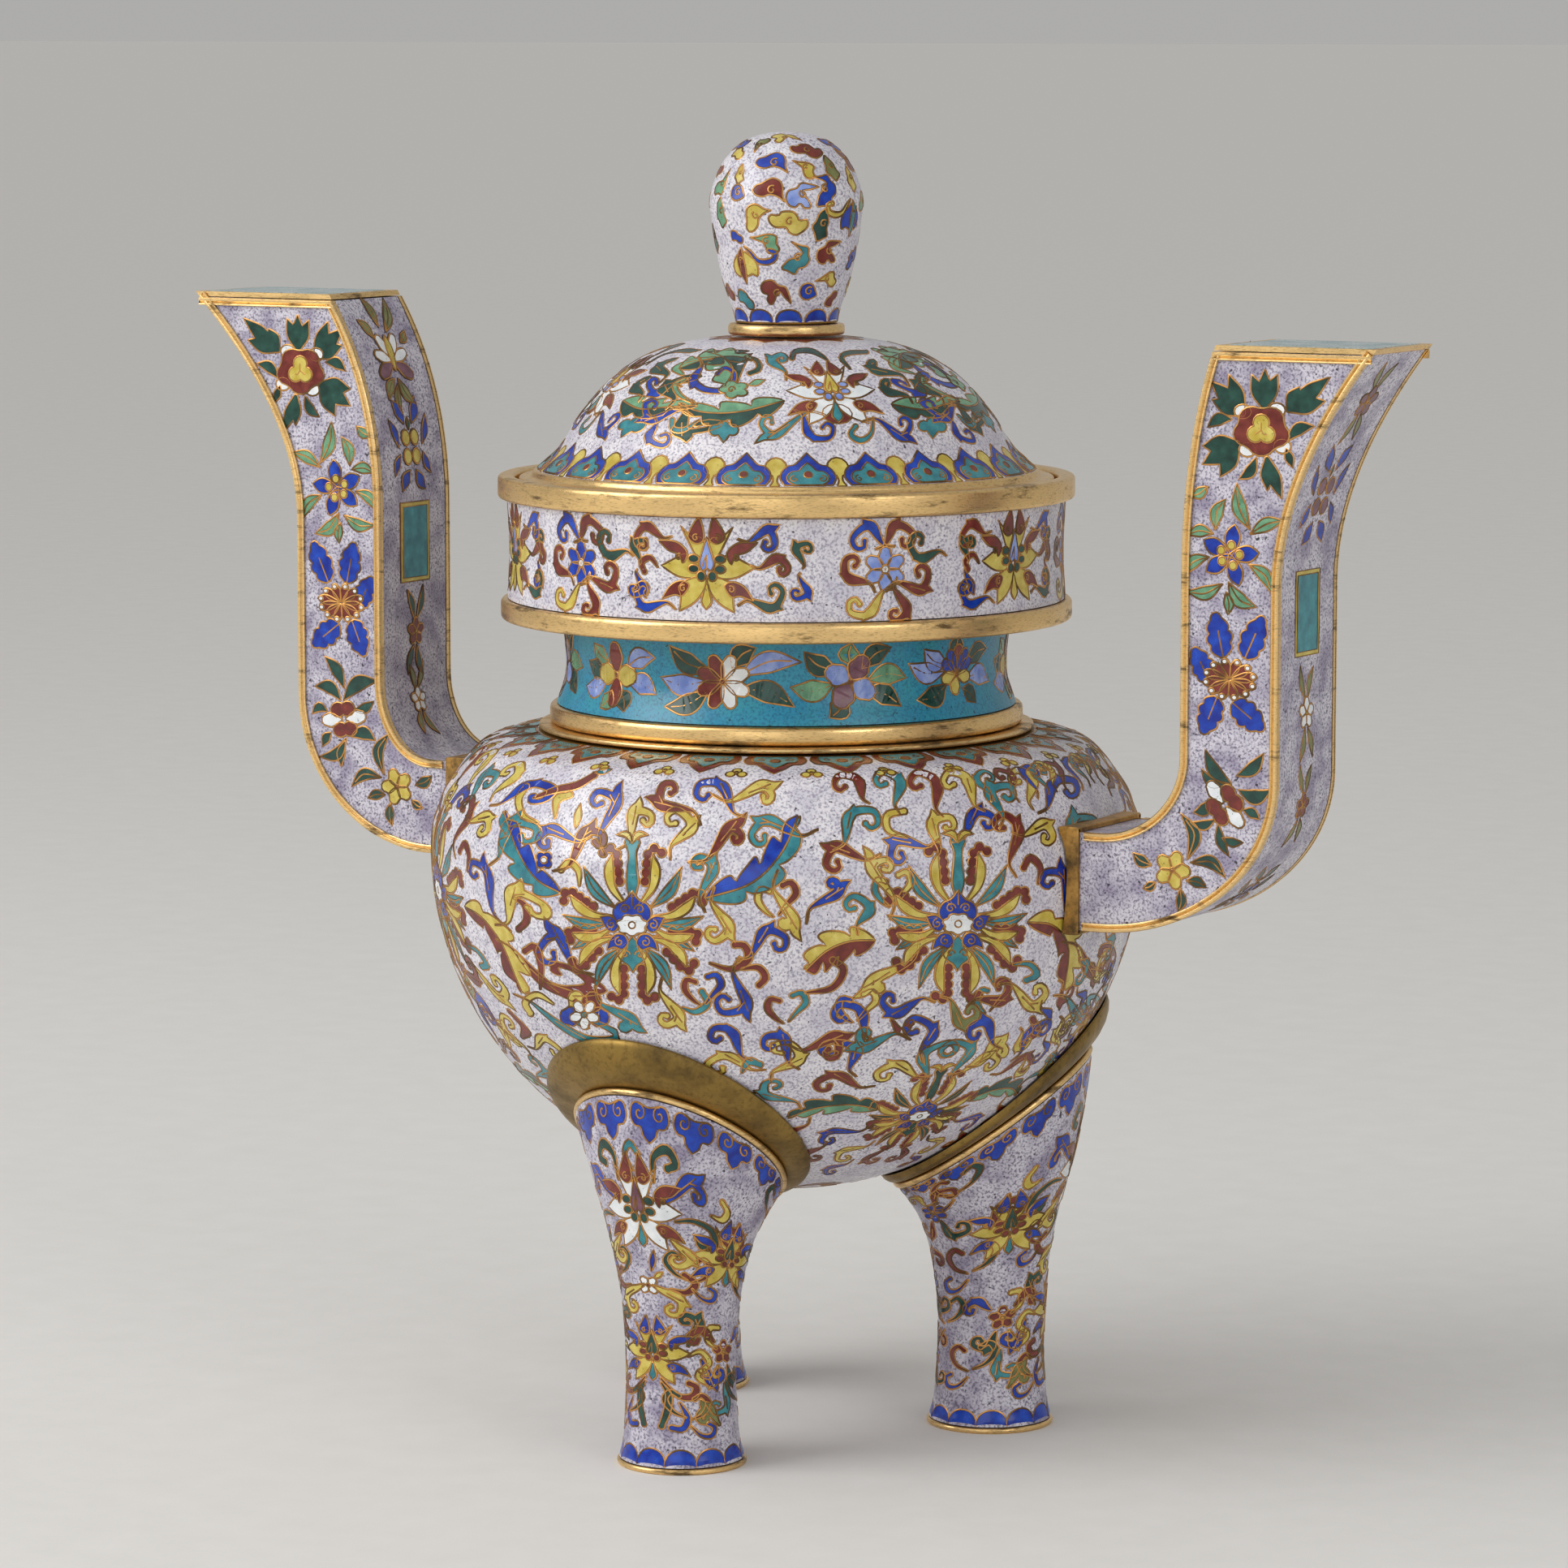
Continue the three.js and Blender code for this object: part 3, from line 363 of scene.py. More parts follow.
def gilding(name, streak=1.0):
    # Gilded copper: warm bright metal, with brown-black patina where hands and damp reached it; turned rings
    # are streaked along their run, which the flattened noise gives
    bright, worn = linear(giltSet[name][0]), linear(giltSet[name][1])
    low, high, smoothest, roughest = giltSet[name][2:]
    material, tree = newMaterial(name)
    place = objectPlace(tree)
    stretched = addNode(tree, "ShaderNodeMapping", {"Vector": place, "Scale": (1, 1, streak)}).outputs[0]
    wear = noise(tree, stretched, 22, 9.0, 0.72)
    dust = noise(tree, stretched, 1.5, 3.0)
    share = ramped(tree, wear, low, high, 0, 0.9)
    tone = mixed(tree, share, bright, worn)
    tone = mixed(tree, ramped(tree, dust, 0.52, 0.75, 0, 0.5), tone, worn)
    bump = bumped(tree, dust, 0.25)
    shaded(tree, {"Base Color": tone, "Metallic": ramped(tree, share, 0, 1, 1.0, 0.7), "Normal": bump,
                  "Roughness": ramped(tree, wear, 0.35, 0.7, smoothest, roughest)})
    return material


def wireMetal():
    # Gilded copper wire, ground flush and rubbed: a gold crest, and brown grime along both flanks, which the
    # attribute across tells apart
    material, tree = newMaterial("cloisonWireGilding")
    place = objectPlace(tree)
    across = addNode(tree, "ShaderNodeAttribute", attribute_name="across").outputs["Fac"]
    side = addNode(tree, "ShaderNodeMath", {0: across}, operation="ABSOLUTE").outputs[0]
    wear = noise(tree, place, 12, 5.0)
    crest = mixed(tree, ramped(tree, wear, 0.46, 0.6), linear("#cb9350"), linear("#74552e"))
    tone = mixed(tree, ramped(tree, side, 0.44, 0.62), crest, linear("#3a2512"))
    shaded(tree, {"Base Color": tone, "Metallic": ramped(tree, side, 0.44, 0.62, 0.85, 0.1),
                  "Roughness": ramped(tree, side, 0.44, 0.62, 0.34, 0.6)})
    return material


ground = {name: groundEnamel(name) for name in groundHex}
enamel = {name: cellEnamel(name) for name in enamelHex}
ringGilt = gilding("fireGilding", 5.0)
dullGilt = gilding("wornGilding")
frameGilt = gilding("frameGilding")
wireGilt = wireMetal()
brass = gilding("castBrass")
enamelNames = list(enamelHex)
print("materials made")


# Ground pieces: bowl

bellySet = {"radius": 113.3, "height": 187.2, "depth": 109.5, "wall": 2.4, "mouth": 69.4, "lip": 79.2,
            "shoulder": 37.8, "lipEase": 0.6, "segments": 240}
shoulderShares = [
    [0.02, 0.21], [0.073, 0.35], [0.127, 0.484], [0.226, 0.622], [0.336, 0.76], [0.495, 0.894],
    [0.74, 0.965], [1, 1],
]


def bellyPath(grow):
    # Lower half: r = R cos t, z = H + D sin t; above it the shoulder's shares, all through one spline
    b = bellySet
    t = np.radians(np.linspace(-90, 0, 13))
    low = np.stack([(b["radius"] + grow) * np.cos(t), b["height"] + (b["depth"] + grow) * np.sin(t)], 1)
    low[0, 0] = 0
    s = np.array(shoulderShares)
    high = np.stack([b["radius"] + grow - s[:, 0] * (b["radius"] - b["lip"]),
                     b["height"] + s[:, 1] * (b["shoulder"] + grow)], 1)
    return curved(np.concatenate([low, high]), 5)


def makeBowl():
    # The belly's outline, a rounded lip, and the same outline a wall's thickness further in
    b = bellySet
    top = b["height"] + b["shoulder"]
    outside = bellyPath(-skinInset)
    lip = eased([outside[-1], [b["mouth"], top], [b["mouth"], top - b["wall"]]], b["lipEase"])[4:-4]
    inside = bellyPath(-b["wall"])[::-1]
    inside = inside[inside[:, 1] < top - b["wall"] - 0.5]
    profile = np.concatenate([outside, lip, inside])
    points, groups = turned(profile, b["segments"])
    # the grid's first rows, up to the outside's last point, are enamel; the rest is bare metal
    rows = np.repeat(np.arange(len(profile) - 3), b["segments"])
    marks = np.concatenate([(rows >= len(outside) - 2).astype(int), np.zeros(b["segments"], int),
                            np.ones(b["segments"], int)])
    makePiece("bowl_body", points, groups, [ground["bodyGround"], brass], "bowl", "enamelled_copper",
              ["bowl_shell"], marks)


def boxOf(node):
    # A frame node's box in millimetres
    low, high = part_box(node)
    return np.array(low) / mm, np.array(high) / mm


ringSet = {
    # inner radius, rounding, segments
    "bowl_mouth_ring": (70.8, 0.7, 192), "neck_foot_ring": (68.5, 1.6, 192), "neck_spigot": (66.4, 0.3, 192),
    "cover_sleeve": (73.0, 0.3, 192), "finial_base_ring": (3.3, 1.2, 96)}


def makeRing(node, body, material, slotName):
    # A flat ring with rounded corners, turned round the axis; its outer radius and heights are the frame's
    inner, ease, segments = ringSet[node]
    low, high = boxOf(node)
    profile = eased([[inner, low[2]], [high[0], low[2]], [high[0], high[2]], [inner, high[2]]], ease)
    points, groups = turned(closedOutwards(profile), segments)
    makePiece(node + "_turned", points, groups, [material], body, slotName, [node])


# Neck section

neckSet = {"flare": 73.2, "waist": 70.0, "top": 71.3, "waistShare": 0.42, "wall": 2.2, "collarWaist": 0.7,
           "recess": 5.4, "ledge": 3.0, "ledgeWidth": 9.8, "floor": 2.4, "gap": 0.3, "segments": 240,
           "footEase": 1.6, "rimEase": 1.5}


def neckPath():
    # Flared foot, waist and top through one spline
    low, high = boxOf("neck_band")
    n = neckSet
    middle = low[2] + n["waistShare"] * (high[2] - low[2])
    return curved([[n["flare"], low[2]], [n["waist"], middle], [n["top"], high[2]]], 10) - [skinInset, 0]


def collarPath():
    # Upright, with a slight waist
    low, high = boxOf("collar_band")
    r = high[0] - skinInset
    return curved([[r, low[2]], [r - neckSet["collarWaist"], (low[2] + high[2]) / 2], [r, high[2]]], 8)


def makeNeckSection():
    # Both bands as thin walls; the two gilt rings as turned profiles with a step inside
    n = neckSet
    for name, path, skin, slotName in (("neck_band", neckPath(), "neckGround", "neck_enamel"),
                                       ("collar_band", collarPath(), "bodyGround", "enamelled_copper")):
        inside = (path - [n["wall"], 0])[::-1]
        points, groups = turned(np.concatenate([path, inside]), n["segments"])
        rows = np.repeat(np.arange(len(path) * 2), n["segments"])
        makePiece(name + "_turned", points, groups, [ground[skin], brass], "neck_section", slotName, [name],
                  (rows >= len(path)).astype(int))
    low, high = boxOf("collar_foot_ring")
    step = boxOf("collar_band")[1][0] - n["wall"] - n["gap"]
    bottom = low[2] + n["floor"]
    foot = [[n["top"] - n["wall"], low[2]], [high[0], low[2]], [high[0], high[2]], [step, high[2]],
            [step, bottom], [n["top"] - n["wall"], bottom]]
    points, groups = turned(closedOutwards(eased(foot, n["footEase"], 5)))
    makePiece("collar_foot_turned", points, groups, [ringGilt], "neck_section", "gilt_copper",
              ["collar_foot_ring"])
    low, high = boxOf("collar_rim_ring")
    recess = high[0] - n["recess"]
    ledge = low[2] + n["ledge"]
    rim = [[recess - n["ledgeWidth"], low[2]], [high[0], low[2]], [high[0], high[2]], [recess, high[2]],
           [recess, ledge], [recess - n["ledgeWidth"], ledge]]
    points, groups = turned(closedOutwards(eased(rim, n["rimEase"], 5)))
    makePiece("collar_rim_turned", points, groups, [ringGilt], "neck_section", "gilt_copper",
              ["collar_rim_ring"])
    makeRing("neck_foot_ring", "neck_section", ringGilt, "gilt_copper")
    makeRing("neck_spigot", "neck_section", brass, "plain_brass")


# Cover

coverSet = {"dome": 79.2, "rimWidth": 12.4, "step": 3.4, "shoulder": 79.9, "wall": 2.0, "hole": 3.3,
            "finialWall": 1.8, "boltClear": 12, "segments": 240, "finialSegments": 120, "rimEase": 1.1}
domeShares = [
    [1, 0], [0.962, 0.0625], [0.924, 0.13], [0.9, 0.19], [0.87, 0.284], [0.83, 0.404], [0.778, 0.526],
    [0.721, 0.647], [0.645, 0.764], [0.549, 0.87], [0.42, 0.952], [0.28, 0.992], [0.18, 1],
]
finialShares = [
    [0.67, 0], [0.7, 0.06], [0.79, 0.165], [0.875, 0.285], [0.935, 0.42], [0.975, 0.53], [1, 0.62],
    [0.965, 0.705], [0.886, 0.79], [0.76, 0.875], [0.52, 0.955], [0.26, 0.99], [0, 1],
]


def sharedPath(shares, radius, low, high):
    # Shares of radius and height, through one spline, drawn in by the skin's inset
    s = np.array(shares)
    path = curved(np.stack([radius * s[:, 0], low + (high - low) * s[:, 1]], 1), 6)
    path = path + sideways(path) * skinInset
    path[:, 0] = np.maximum(path[:, 0], 0)
    return path


def domePath():
    # The dome's shares between the heights of its frame node
    low, high = boxOf("cover_dome")
    return sharedPath(domeShares, coverSet["dome"], low[2], high[2])


def finialPath():
    # The finial's shares, up to a pole on the axis
    low, high = boxOf("finial_shell")
    path = sharedPath(finialShares, high[0], low[2], high[2])
    path[-1, 0] = 0
    return path


def makeCover():
    # Dome and finial as thin walls, the rim ring as a stepped profile
    c = coverSet
    path = domePath()
    top = boxOf("cover_dome")[1][2] - skinInset
    inside = (path + sideways(path) * c["wall"])[::-1]
    inside = inside[inside[:, 0] > c["boltClear"]]
    profile = np.concatenate([path, [[c["hole"], top], [c["hole"], top - c["wall"]]], inside])
    points, groups = turned(profile, c["segments"])
    rows = np.repeat(np.arange(len(profile)), c["segments"])
    makePiece("cover_dome_turned", points, groups, [ground["bodyGround"], brass], "cover",
              "enamelled_copper", ["cover_dome"], (rows >= len(path)).astype(int))
    low, high = boxOf("cover_rim_ring")
    inner = high[0] - c["rimWidth"]
    rim = [[inner, low[2]], [high[0], low[2]], [high[0], low[2] + c["step"]],
           [c["shoulder"] + 0.7, low[2] + c["step"]], [c["shoulder"], high[2]], [inner, high[2]]]
    points, groups = turned(closedOutwards(eased(rim, c["rimEase"], 4)))
    makePiece("cover_rim_turned", points, groups, [ringGilt], "cover", "gilt_copper", ["cover_rim_ring"])
    makeRing("cover_sleeve", "cover", brass, "plain_brass")
    makeRing("finial_base_ring", "cover", ringGilt, "gilt_copper")
    path = finialPath()
    inside = (path + sideways(path) * c["finialWall"])[::-1]
    inside = inside[(inside[:, 1] > path[0, 1] + 1) & (inside[:, 0] >= 0)]
    inside[0, 0] = 0
    profile = np.concatenate([path, inside])
    profile = np.roll(profile, -len(path), 0)
    around = c["finialSegments"]
    points, groups = turned(profile, around)
    marks = np.concatenate([np.repeat((np.arange(len(profile) - 3) < len(inside)).astype(int), around),
                            np.ones(around, int), np.zeros(around, int)])
    makePiece("finial_body", points, groups, [ground["bodyGround"], brass], "cover", "enamelled_copper",
              ["finial_shell"], marks)


makeStudio()
makeBowl()
makeRing("bowl_mouth_ring", "bowl", ringGilt, "gilt_copper")
makeNeckSection()
makeCover()
print("turned pieces made")


# Legs

legSet = {"circle": 65.4, "foot": 20.0, "ankle": 17.6, "long": 38.2, "wide": 33.0, "topHeight": 100.6,
          "slope": 35.4, "wall": 2.0, "base": 2.1, "topGap": 2.3, "segments": 120,
          "beadHeight": 2.0, "beadWidth": 3.2, "beadLip": 0.6,
          "rimReach": 52.3, "rimFall": 40.3, "rimWide": 42.5, "lip": 1.5, "holeWidth": 3.4, "gap": 0.3,
          "ringSteps": 144,
          "footHole": 15.4, "footHigh": 1.8, "footBulge": 0.4, "footEase": 0.5,
          "skinRows": 50, "innerRows": 12,
          # the collar's cove, from its inner edge to its lip: shares out and up
          "cove": ((0.12, 0.05), (0.3, 0.14), (0.5, 0.26), (0.7, 0.45), (0.86, 0.68), (0.96, 0.9)),
          "lipShares": (0.1, 0.5, 0.9), "lipBulge": 0.35, "lipEdge": 0.6, "backShares": (0.75, 0.5, 0.25, 0)}
legShares = [
    [0, 0, 0, 1], [0.075, 0.01, 0.05, 0.3], [0.26, 0, 0.18, 0], [0.445, 0.04, 0.27, 0],
    [0.606, 0.17, 0.35, 0], [0.739, 0.37, 0.46, 0], [0.86, 0.647, 0.69, 0], [1, 1, 1, 0],
]
legTurns = {"front": -90, "right": 30, "left": 150}


def onLegTop(alongSlope, across, up):
    # A place from the centre of the leg's slanted top: up the slope, across it, square to it
    slope = math.radians(legSet["slope"])
    alongSlope, across, up = np.broadcast_arrays(alongSlope, across, up)
    return np.stack([legSet["circle"] + alongSlope * math.cos(slope) - up * math.sin(slope), across,
                     legSet["topHeight"] + alongSlope * math.sin(slope) + up * math.cos(slope)], -1)


def legSurface(share, angle, inset):
    # An ellipse that leans more and widens towards the top; share runs from 0 at the foot to 1
    g = legSet
    columns = curved(legShares, 10)
    height, flare, lean, foot = (np.interp(share, columns[:, 0], columns[:, k]) for k in range(4))
    top = onLegTop(0, 0, -g["topGap"])
    centreX = g["circle"] + height * (top[0] - g["circle"])
    centreZ = g["base"] + height * (top[2] - g["base"])
    slope = np.radians(g["slope"]) * lean
    spread = foot * (g["foot"] - g["ankle"])
    long = g["ankle"] + spread + flare * (g["long"] - g["ankle"]) - inset
    wide = g["ankle"] + spread + flare * (g["wide"] - g["ankle"]) - inset
    reach = long * np.cos(angle)
    return np.stack([centreX + reach * np.cos(slope), wide * np.sin(angle),
                     centreZ + reach * np.sin(slope)], -1)


def turnedTo(points, degrees):
    # Turned about Z
    a = math.radians(degrees)
    x, y, z = points[..., 0], points[..., 1], points[..., 2]
    return np.stack([x * math.cos(a) - y * math.sin(a), x * math.sin(a) + y * math.cos(a), z], -1)


def bellyAbove(start):
    # How far the belly lies from start along the normal of the leg's top: the nearer root of a quadratic
    way = onLegTop(0, 0, 1) - onLegTop(0, 0, 0)
    squash = bellySet["radius"] / bellySet["depth"]
    scale = np.array([1, 1, squash])
    start = (start - [0, 0, bellySet["height"]]) * scale
    way = way * scale
    a, b = way @ way, start @ way
    c = np.sum(start * start, -1) - bellySet["radius"] ** 2
    return (-b - np.sqrt(b * b - a * c)) / a


def legCollarRings():
    # Round the collar's section: hole, leg side, hollow cove, rounded outer lip, and back along the belly
    g = legSet
    a = 2 * np.pi * np.arange(g["ringSteps"]) / g["ringSteps"]
    rimLong, shift = (g["rimReach"] + g["rimFall"]) / 2, (g["rimReach"] - g["rimFall"]) / 2
    hole = np.stack([(g["long"] - g["holeWidth"]) * np.cos(a), (g["wide"] - g["holeWidth"]) * np.sin(a)], 1)
    edge = np.stack([g["long"] * np.cos(a), g["wide"] * np.sin(a)], 1)
    rim = np.stack([shift + rimLong * np.cos(a), g["rimWide"] * np.sin(a)], 1)

    def ring(flat, up):
        # Points of the slanted plane, lifted square to it
        return onLegTop(flat[:, 0], flat[:, 1], up)

    def clear(flat):
        # How far the belly is over these points, less the gap
        return bellyAbove(ring(flat, 0)) - g["gap"]
    top = clear(rim)
    low = np.full(len(a), g["gap"])
    rings = [ring(hole, low), ring(edge, low)]
    for out, up in g["cove"]:
        rings.append(ring(edge + out * (rim - edge), low + up * (top - g["lip"] - low)))
    outwards = rim - edge
    outwards = outwards / np.linalg.norm(outwards, axis=1, keepdims=True)
    for share in g["lipShares"]:
        bulge = g["lipBulge"] * math.sin(math.pi * share)
        rings.append(ring(rim + outwards * (bulge - g["lipBulge"]), top - g["lip"] * (1 - share)))
    lip = rim - g["lipEdge"] * outwards
    rings.append(ring(lip, clear(lip)))
    for share in g["backShares"]:
        flat = hole + share * (rim - hole)
        rings.append(ring(flat, clear(flat)))
    return np.stack(rings)


def legBeadRings():
    # A ring of half-round section on the leg's upper edge
    g = legSet
    a = 2 * np.pi * np.arange(g["ringSteps"]) / g["ringSteps"]
    t = np.linspace(-np.pi / 2, np.pi / 2, 7)
    section = [(-g["beadWidth"], -g["beadHeight"])]
    section += [(g["beadLip"] * math.cos(k), g["beadHeight"] * (math.sin(k) - 1) / 2) for k in t]
    section += [(-g["beadWidth"], 0)]
    return np.stack([onLegTop((g["long"] + out) * np.cos(a), (g["wide"] + out) * np.sin(a), up)
                     for out, up in section])


def makeLeg(name):
    # The tube as a grid of ellipses, up its skin and down its inside; bead, collar and foot rim
    turn = legTurns[name]
    g = legSet
    angle = 2 * np.pi * np.arange(g["segments"]) / g["segments"]
    outer, inner = g["skinRows"], g["innerRows"]
    shares = np.concatenate([np.linspace(0, 1, outer), np.linspace(1, 0, inner)])
    insets = np.concatenate([np.full(outer, skinInset), np.full(inner, g["wall"])])
    points = legSurface(shares[:, None], angle[None, :], insets[:, None])
    faces = gridFaces(len(shares), g["segments"], True, True)
    rows = np.repeat(np.arange(len(shares)), g["segments"])
    makePiece(f"{name}_leg_skin", turnedTo(points.reshape(-1, 3), turn), faces,
              [ground["limbGround"], brass], "bowl", "enamelled_copper", [f"{name}_leg_tube"],
              (rows >= outer - 1).astype(int))
    for part, rings, material, slotName in (("bead", legBeadRings(), ringGilt, "gilt_copper"),
                                            ("collar", legCollarRings(), dullGilt, "dull_gilt")):
        makePiece(f"{name}_leg_{part}_round", turnedTo(rings.reshape(-1, 3), turn),
                  gridFaces(*rings.shape[:2], True, True), [material], "bowl", slotName,
                  [f"{name}_leg_{part}"])
    hole, foot, high = g["footHole"], g["foot"], g["footHigh"]
    rim = eased([[hole, 0], [foot, 0], [foot + g["footBulge"], high / 2], [foot, high], [hole, high]],
                g["footEase"])
    points, groups = turned(closedOutwards(rim), g["segments"])
    points = points + [g["circle"], 0, 0]
    makePiece(f"{name}_foot_rim_turned", turnedTo(points, turn), groups, [ringGilt], "bowl", "gilt_copper",
              [f"{name}_foot_rim"])


for legName in legTurns:
    makeLeg(legName)
print("legs made")


# Handles

handleSet = {"reach": 213.0, "top": 355.0, "tipInner": 160.0, "outer": 177.5, "inner": 145.0, "shift": 4.5,
             "lift": 4.0, "rootLow": 174.5, "rootHigh": 205.0, "straight": 122.0, "start": 112.6,
             "outerElbow": 224.0, "innerElbow": 230.0, "outerFlare": (282.0, 316.0),
             "innerFlare": (285.0, 325.0), "face": 20.1, "plate": 1.5, "edgingStart": 115.6, "cap": 1.6,
             "frameEnd": 115.4, "frameWall": 1.5, "frameInset": 0.12, "frameStart": 0.1, "gap": 0.3,
             "steps": 110, "seam": 0.12, "strip": (0.15, 1.5), "stripSkin": (0.27, -0.03)}


edgingSection = [
    [0.05, 20.4], [0, 20.8], [0.25, 21.15], [0.7, 21.2], [1.15, 21.1], [1.35, 20.75], [1.6, 20.55],
    [1.85, 20.75], [2.0, 21.0], [2.3, 21.05], [2.55, 20.9], [2.6, 20.4],
]


def handleEdge(side, outer):
    # Straight root, a quarter of an ellipse, straight upright, and a quadratic curve out to the tip
    h = handleSet
    low = h["rootLow"] if outer else h["rootHigh"]
    upright = (h["outer"] if outer else h["inner"]) + side * h["shift"]
    elbow = h["outerElbow"] if outer else h["innerElbow"]
    flare, bend = h["outerFlare"] if outer else h["innerFlare"]
    tip = h["reach"] if outer else h["tipInner"]
    a = np.linspace(0, np.pi / 2, 28)
    quarter = np.stack([h["straight"] + (upright - h["straight"]) * np.sin(a),
                        elbow - (elbow - low) * np.cos(a)], 1)
    t = np.linspace(0, 1, 24)[:, None]
    leaving, turning = (1 - t) ** 2 * [upright, flare], 2 * t * (1 - t) * np.array([upright, bend])
    sweep = leaving + turning + t ** 2 * [tip, h["top"]]
    return along(np.concatenate([[[h["start"], low]], quarter, sweep]), 120)


def cutAt(path, height):
    # The path as far as the given height
    keep = path[path[:, 1] < height]
    rest = path[len(keep) - 1:len(keep) + 1]
    end = [np.interp(height, rest[:, 1], rest[:, 0]), height]
    return np.concatenate([keep, [end]])


def toHandle(x, y, z, side):
    # The left handle is the right one turned half round, and fixed higher
    return np.stack([side * x, side * y, z - side * handleSet["lift"]], -1)


def sweptBar(path, section, side, sign):
    # A closed section of inward distance and depth across, carried along a path in X and Z
    normal = sideways(path)
    x = path[:, 0][:, None] + normal[:, 0][:, None] * section[None, :, 0]
    z = path[:, 1][:, None] + normal[:, 1][:, None] * section[None, :, 0]
    y = np.broadcast_to(sign * section[None, :, 1], x.shape)
    points = toHandle(x, y, z, side).reshape(-1, 3)
    rows, columns = x.shape
    faces = [gridFaces(rows, columns, False, True)]
    for row in (0, rows - 1):
        centre = len(points)
        points = np.concatenate([points, points[row * columns:(row + 1) * columns].mean(0, keepdims=True)])
        ring = row * columns + np.arange(columns)
        ends = [ring, np.full(columns, centre), row * columns + (np.arange(columns) + 1) % columns]
        faces.append(np.stack(ends if row == 0 else ends[::-1], 1))
    return points, faces


def facingOut(points, faces):
    # Faces are turned over if the closed mesh's signed volume is negative
    volume = 0.0
    for group in faces:
        for k in range(1, group.shape[1] - 1):
            a, b, c = (points[group[:, i]] for i in (0, k, k + 1))
            volume += np.sum(a * np.cross(b, c))
    return faces if volume > 0 else [group[:, ::-1] for group in faces]


def mergedBars(bars):
    # Several closed bars as one mesh
    points, faces, base = [], [], 0
    for barPoints, barFaces in bars:
        points.append(barPoints)
        faces += [group + base for group in facingOut(barPoints, barFaces)]
        base += len(barPoints)
    return np.concatenate(points), faces


def makeHandle(name, side):
    # Two face plates with their mouldings, and two bent strips between them
    h = handleSet
    outer, inner = handleEdge(side, True), handleEdge(side, False)
    plateTop = h["top"] - h["cap"] - h["gap"]
    count = h["steps"]
    out, inn = along(cutAt(outer, plateTop), count), along(cutAt(inner, plateTop), count)
    out = out + sideways(out) * h["seam"]
    inn = inn - sideways(inn) * h["seam"]
    for sign, word in ((-side, "front"), (side, "back")):
        # plate: a grid between the two edges, closed by its thickness
        section = [(out, h["face"]), (inn, h["face"]), (inn, h["face"] - h["plate"]),
                   (out, h["face"] - h["plate"])]
        rows = [toHandle(edge[:, 0], np.full(count, sign * y), edge[:, 1], side) for edge, y in section]
        points = np.stack(rows, 1).reshape(-1, 3)
        ends = np.array([[0, 1, 2, 3], 4 * count - 1 - np.arange(4)])
        faces = facingOut(points, [gridFaces(count, 4, False, True), ends])
        marks = np.concatenate([np.tile([0, 1, 1, 1], count - 1), [1, 1]])
        makePiece(f"{name}_{word}_sheet", points, faces, [ground["limbGround"], ringGilt], "bowl",
                  "enamelled_copper", [f"{name}_handle_{word}_plate"], marks)
        # edging: a bead, a groove and a fine bead round the plate
        section = np.array(edgingSection)
        runs = [cutAt(edge[edge[:, 0] > h["edgingStart"]], plateTop) for edge in (outer, inner)]
        bars = [sweptBar(run, section * [way, 1], side, sign) for run, way in zip(runs, (1, -1))]
        top = np.array([[np.interp(plateTop, e[:, 1], e[:, 0]), plateTop] for e in (outer, inner)])
        bars.append(sweptBar(along(top, 12), section, side, sign))
        points, faces = mergedBars(bars)
        makePiece(f"{name}_{word}_moulding", points, faces, [ringGilt], "bowl", "gilt_copper",
                  [f"{name}_handle_{word}_edging"])
    # strips: bent sheets between the plates
    half = h["face"] - h["plate"] - h["gap"]
    for word, edge, way in (("outer", out, 1), ("inner", inn, -1)):
        near, far = h["strip"]
        section = np.array([[near * way, -half], [near * way, half], [far * way, half], [far * way, -half]])
        points, faces = sweptBar(edge, section, side, 1)
        turnedFaces = facingOut(points, faces)
        marks = np.concatenate([np.tile([0, 1, 1, 1], count - 1), np.ones(8, int)])
        makePiece(f"{name}_{word}_sheet", points, turnedFaces, [ground["limbGround"], ringGilt], "bowl",
                  "enamelled_copper", [f"{name}_handle_{word}_strip"], marks)


def makeRootFrame(name, side):
    # A band round the handle's root: a rounded rectangle in Y and Z, carried from the belly's own curve,
    # x = sqrt(r(z)^2 - y^2), out to the frame's end
    h = handleSet
    low, high = boxOf(f"{name}_handle_root_frame")
    path = bellyPath(0)
    corners = [(-high[1], low[2]), (high[1], low[2]), (high[1], high[2]), (-high[1], high[2])]
    pairs = zip(np.array(corners), np.roll(corners, -1, 0))
    sides = [np.linspace(a, b, 12, endpoint=False) for a, b in pairs]
    ring = eased(np.concatenate(sides), 0.5, 1)
    out = -sideways(ring, True)
    rows = []
    wall = h["frameWall"]
    for share, inwards in ((1, wall), (1, 0.35), (0.94, 0), (0.5, -0.12), (0.06, 0), (0, 0.35), (0, wall)):
        y, z = (ring - out * (inwards + h["frameInset"])).T
        start = np.sqrt(np.interp(z, path[:, 1], path[:, 0]) ** 2 - y ** 2) + h["frameStart"]
        x = start * share + h["frameEnd"] * (1 - share)
        rows.append(np.stack([side * x, y, z], 1))
    points = np.concatenate(rows)
    faces = facingOut(points, [gridFaces(len(rows), len(ring), True, True)])
    makePiece(f"{name}_root_band", points, faces, [frameGilt], "bowl", "dull_gilt",
              [f"{name}_handle_root_frame"])


for handleName, handleSide in (("right", 1), ("left", -1)):
    makeHandle(handleName, handleSide)
    makeRootFrame(handleName, handleSide)
print("handles made")


# Drawing: a shape is its points and its faces; drawings are in millimetres, x to the right and y up

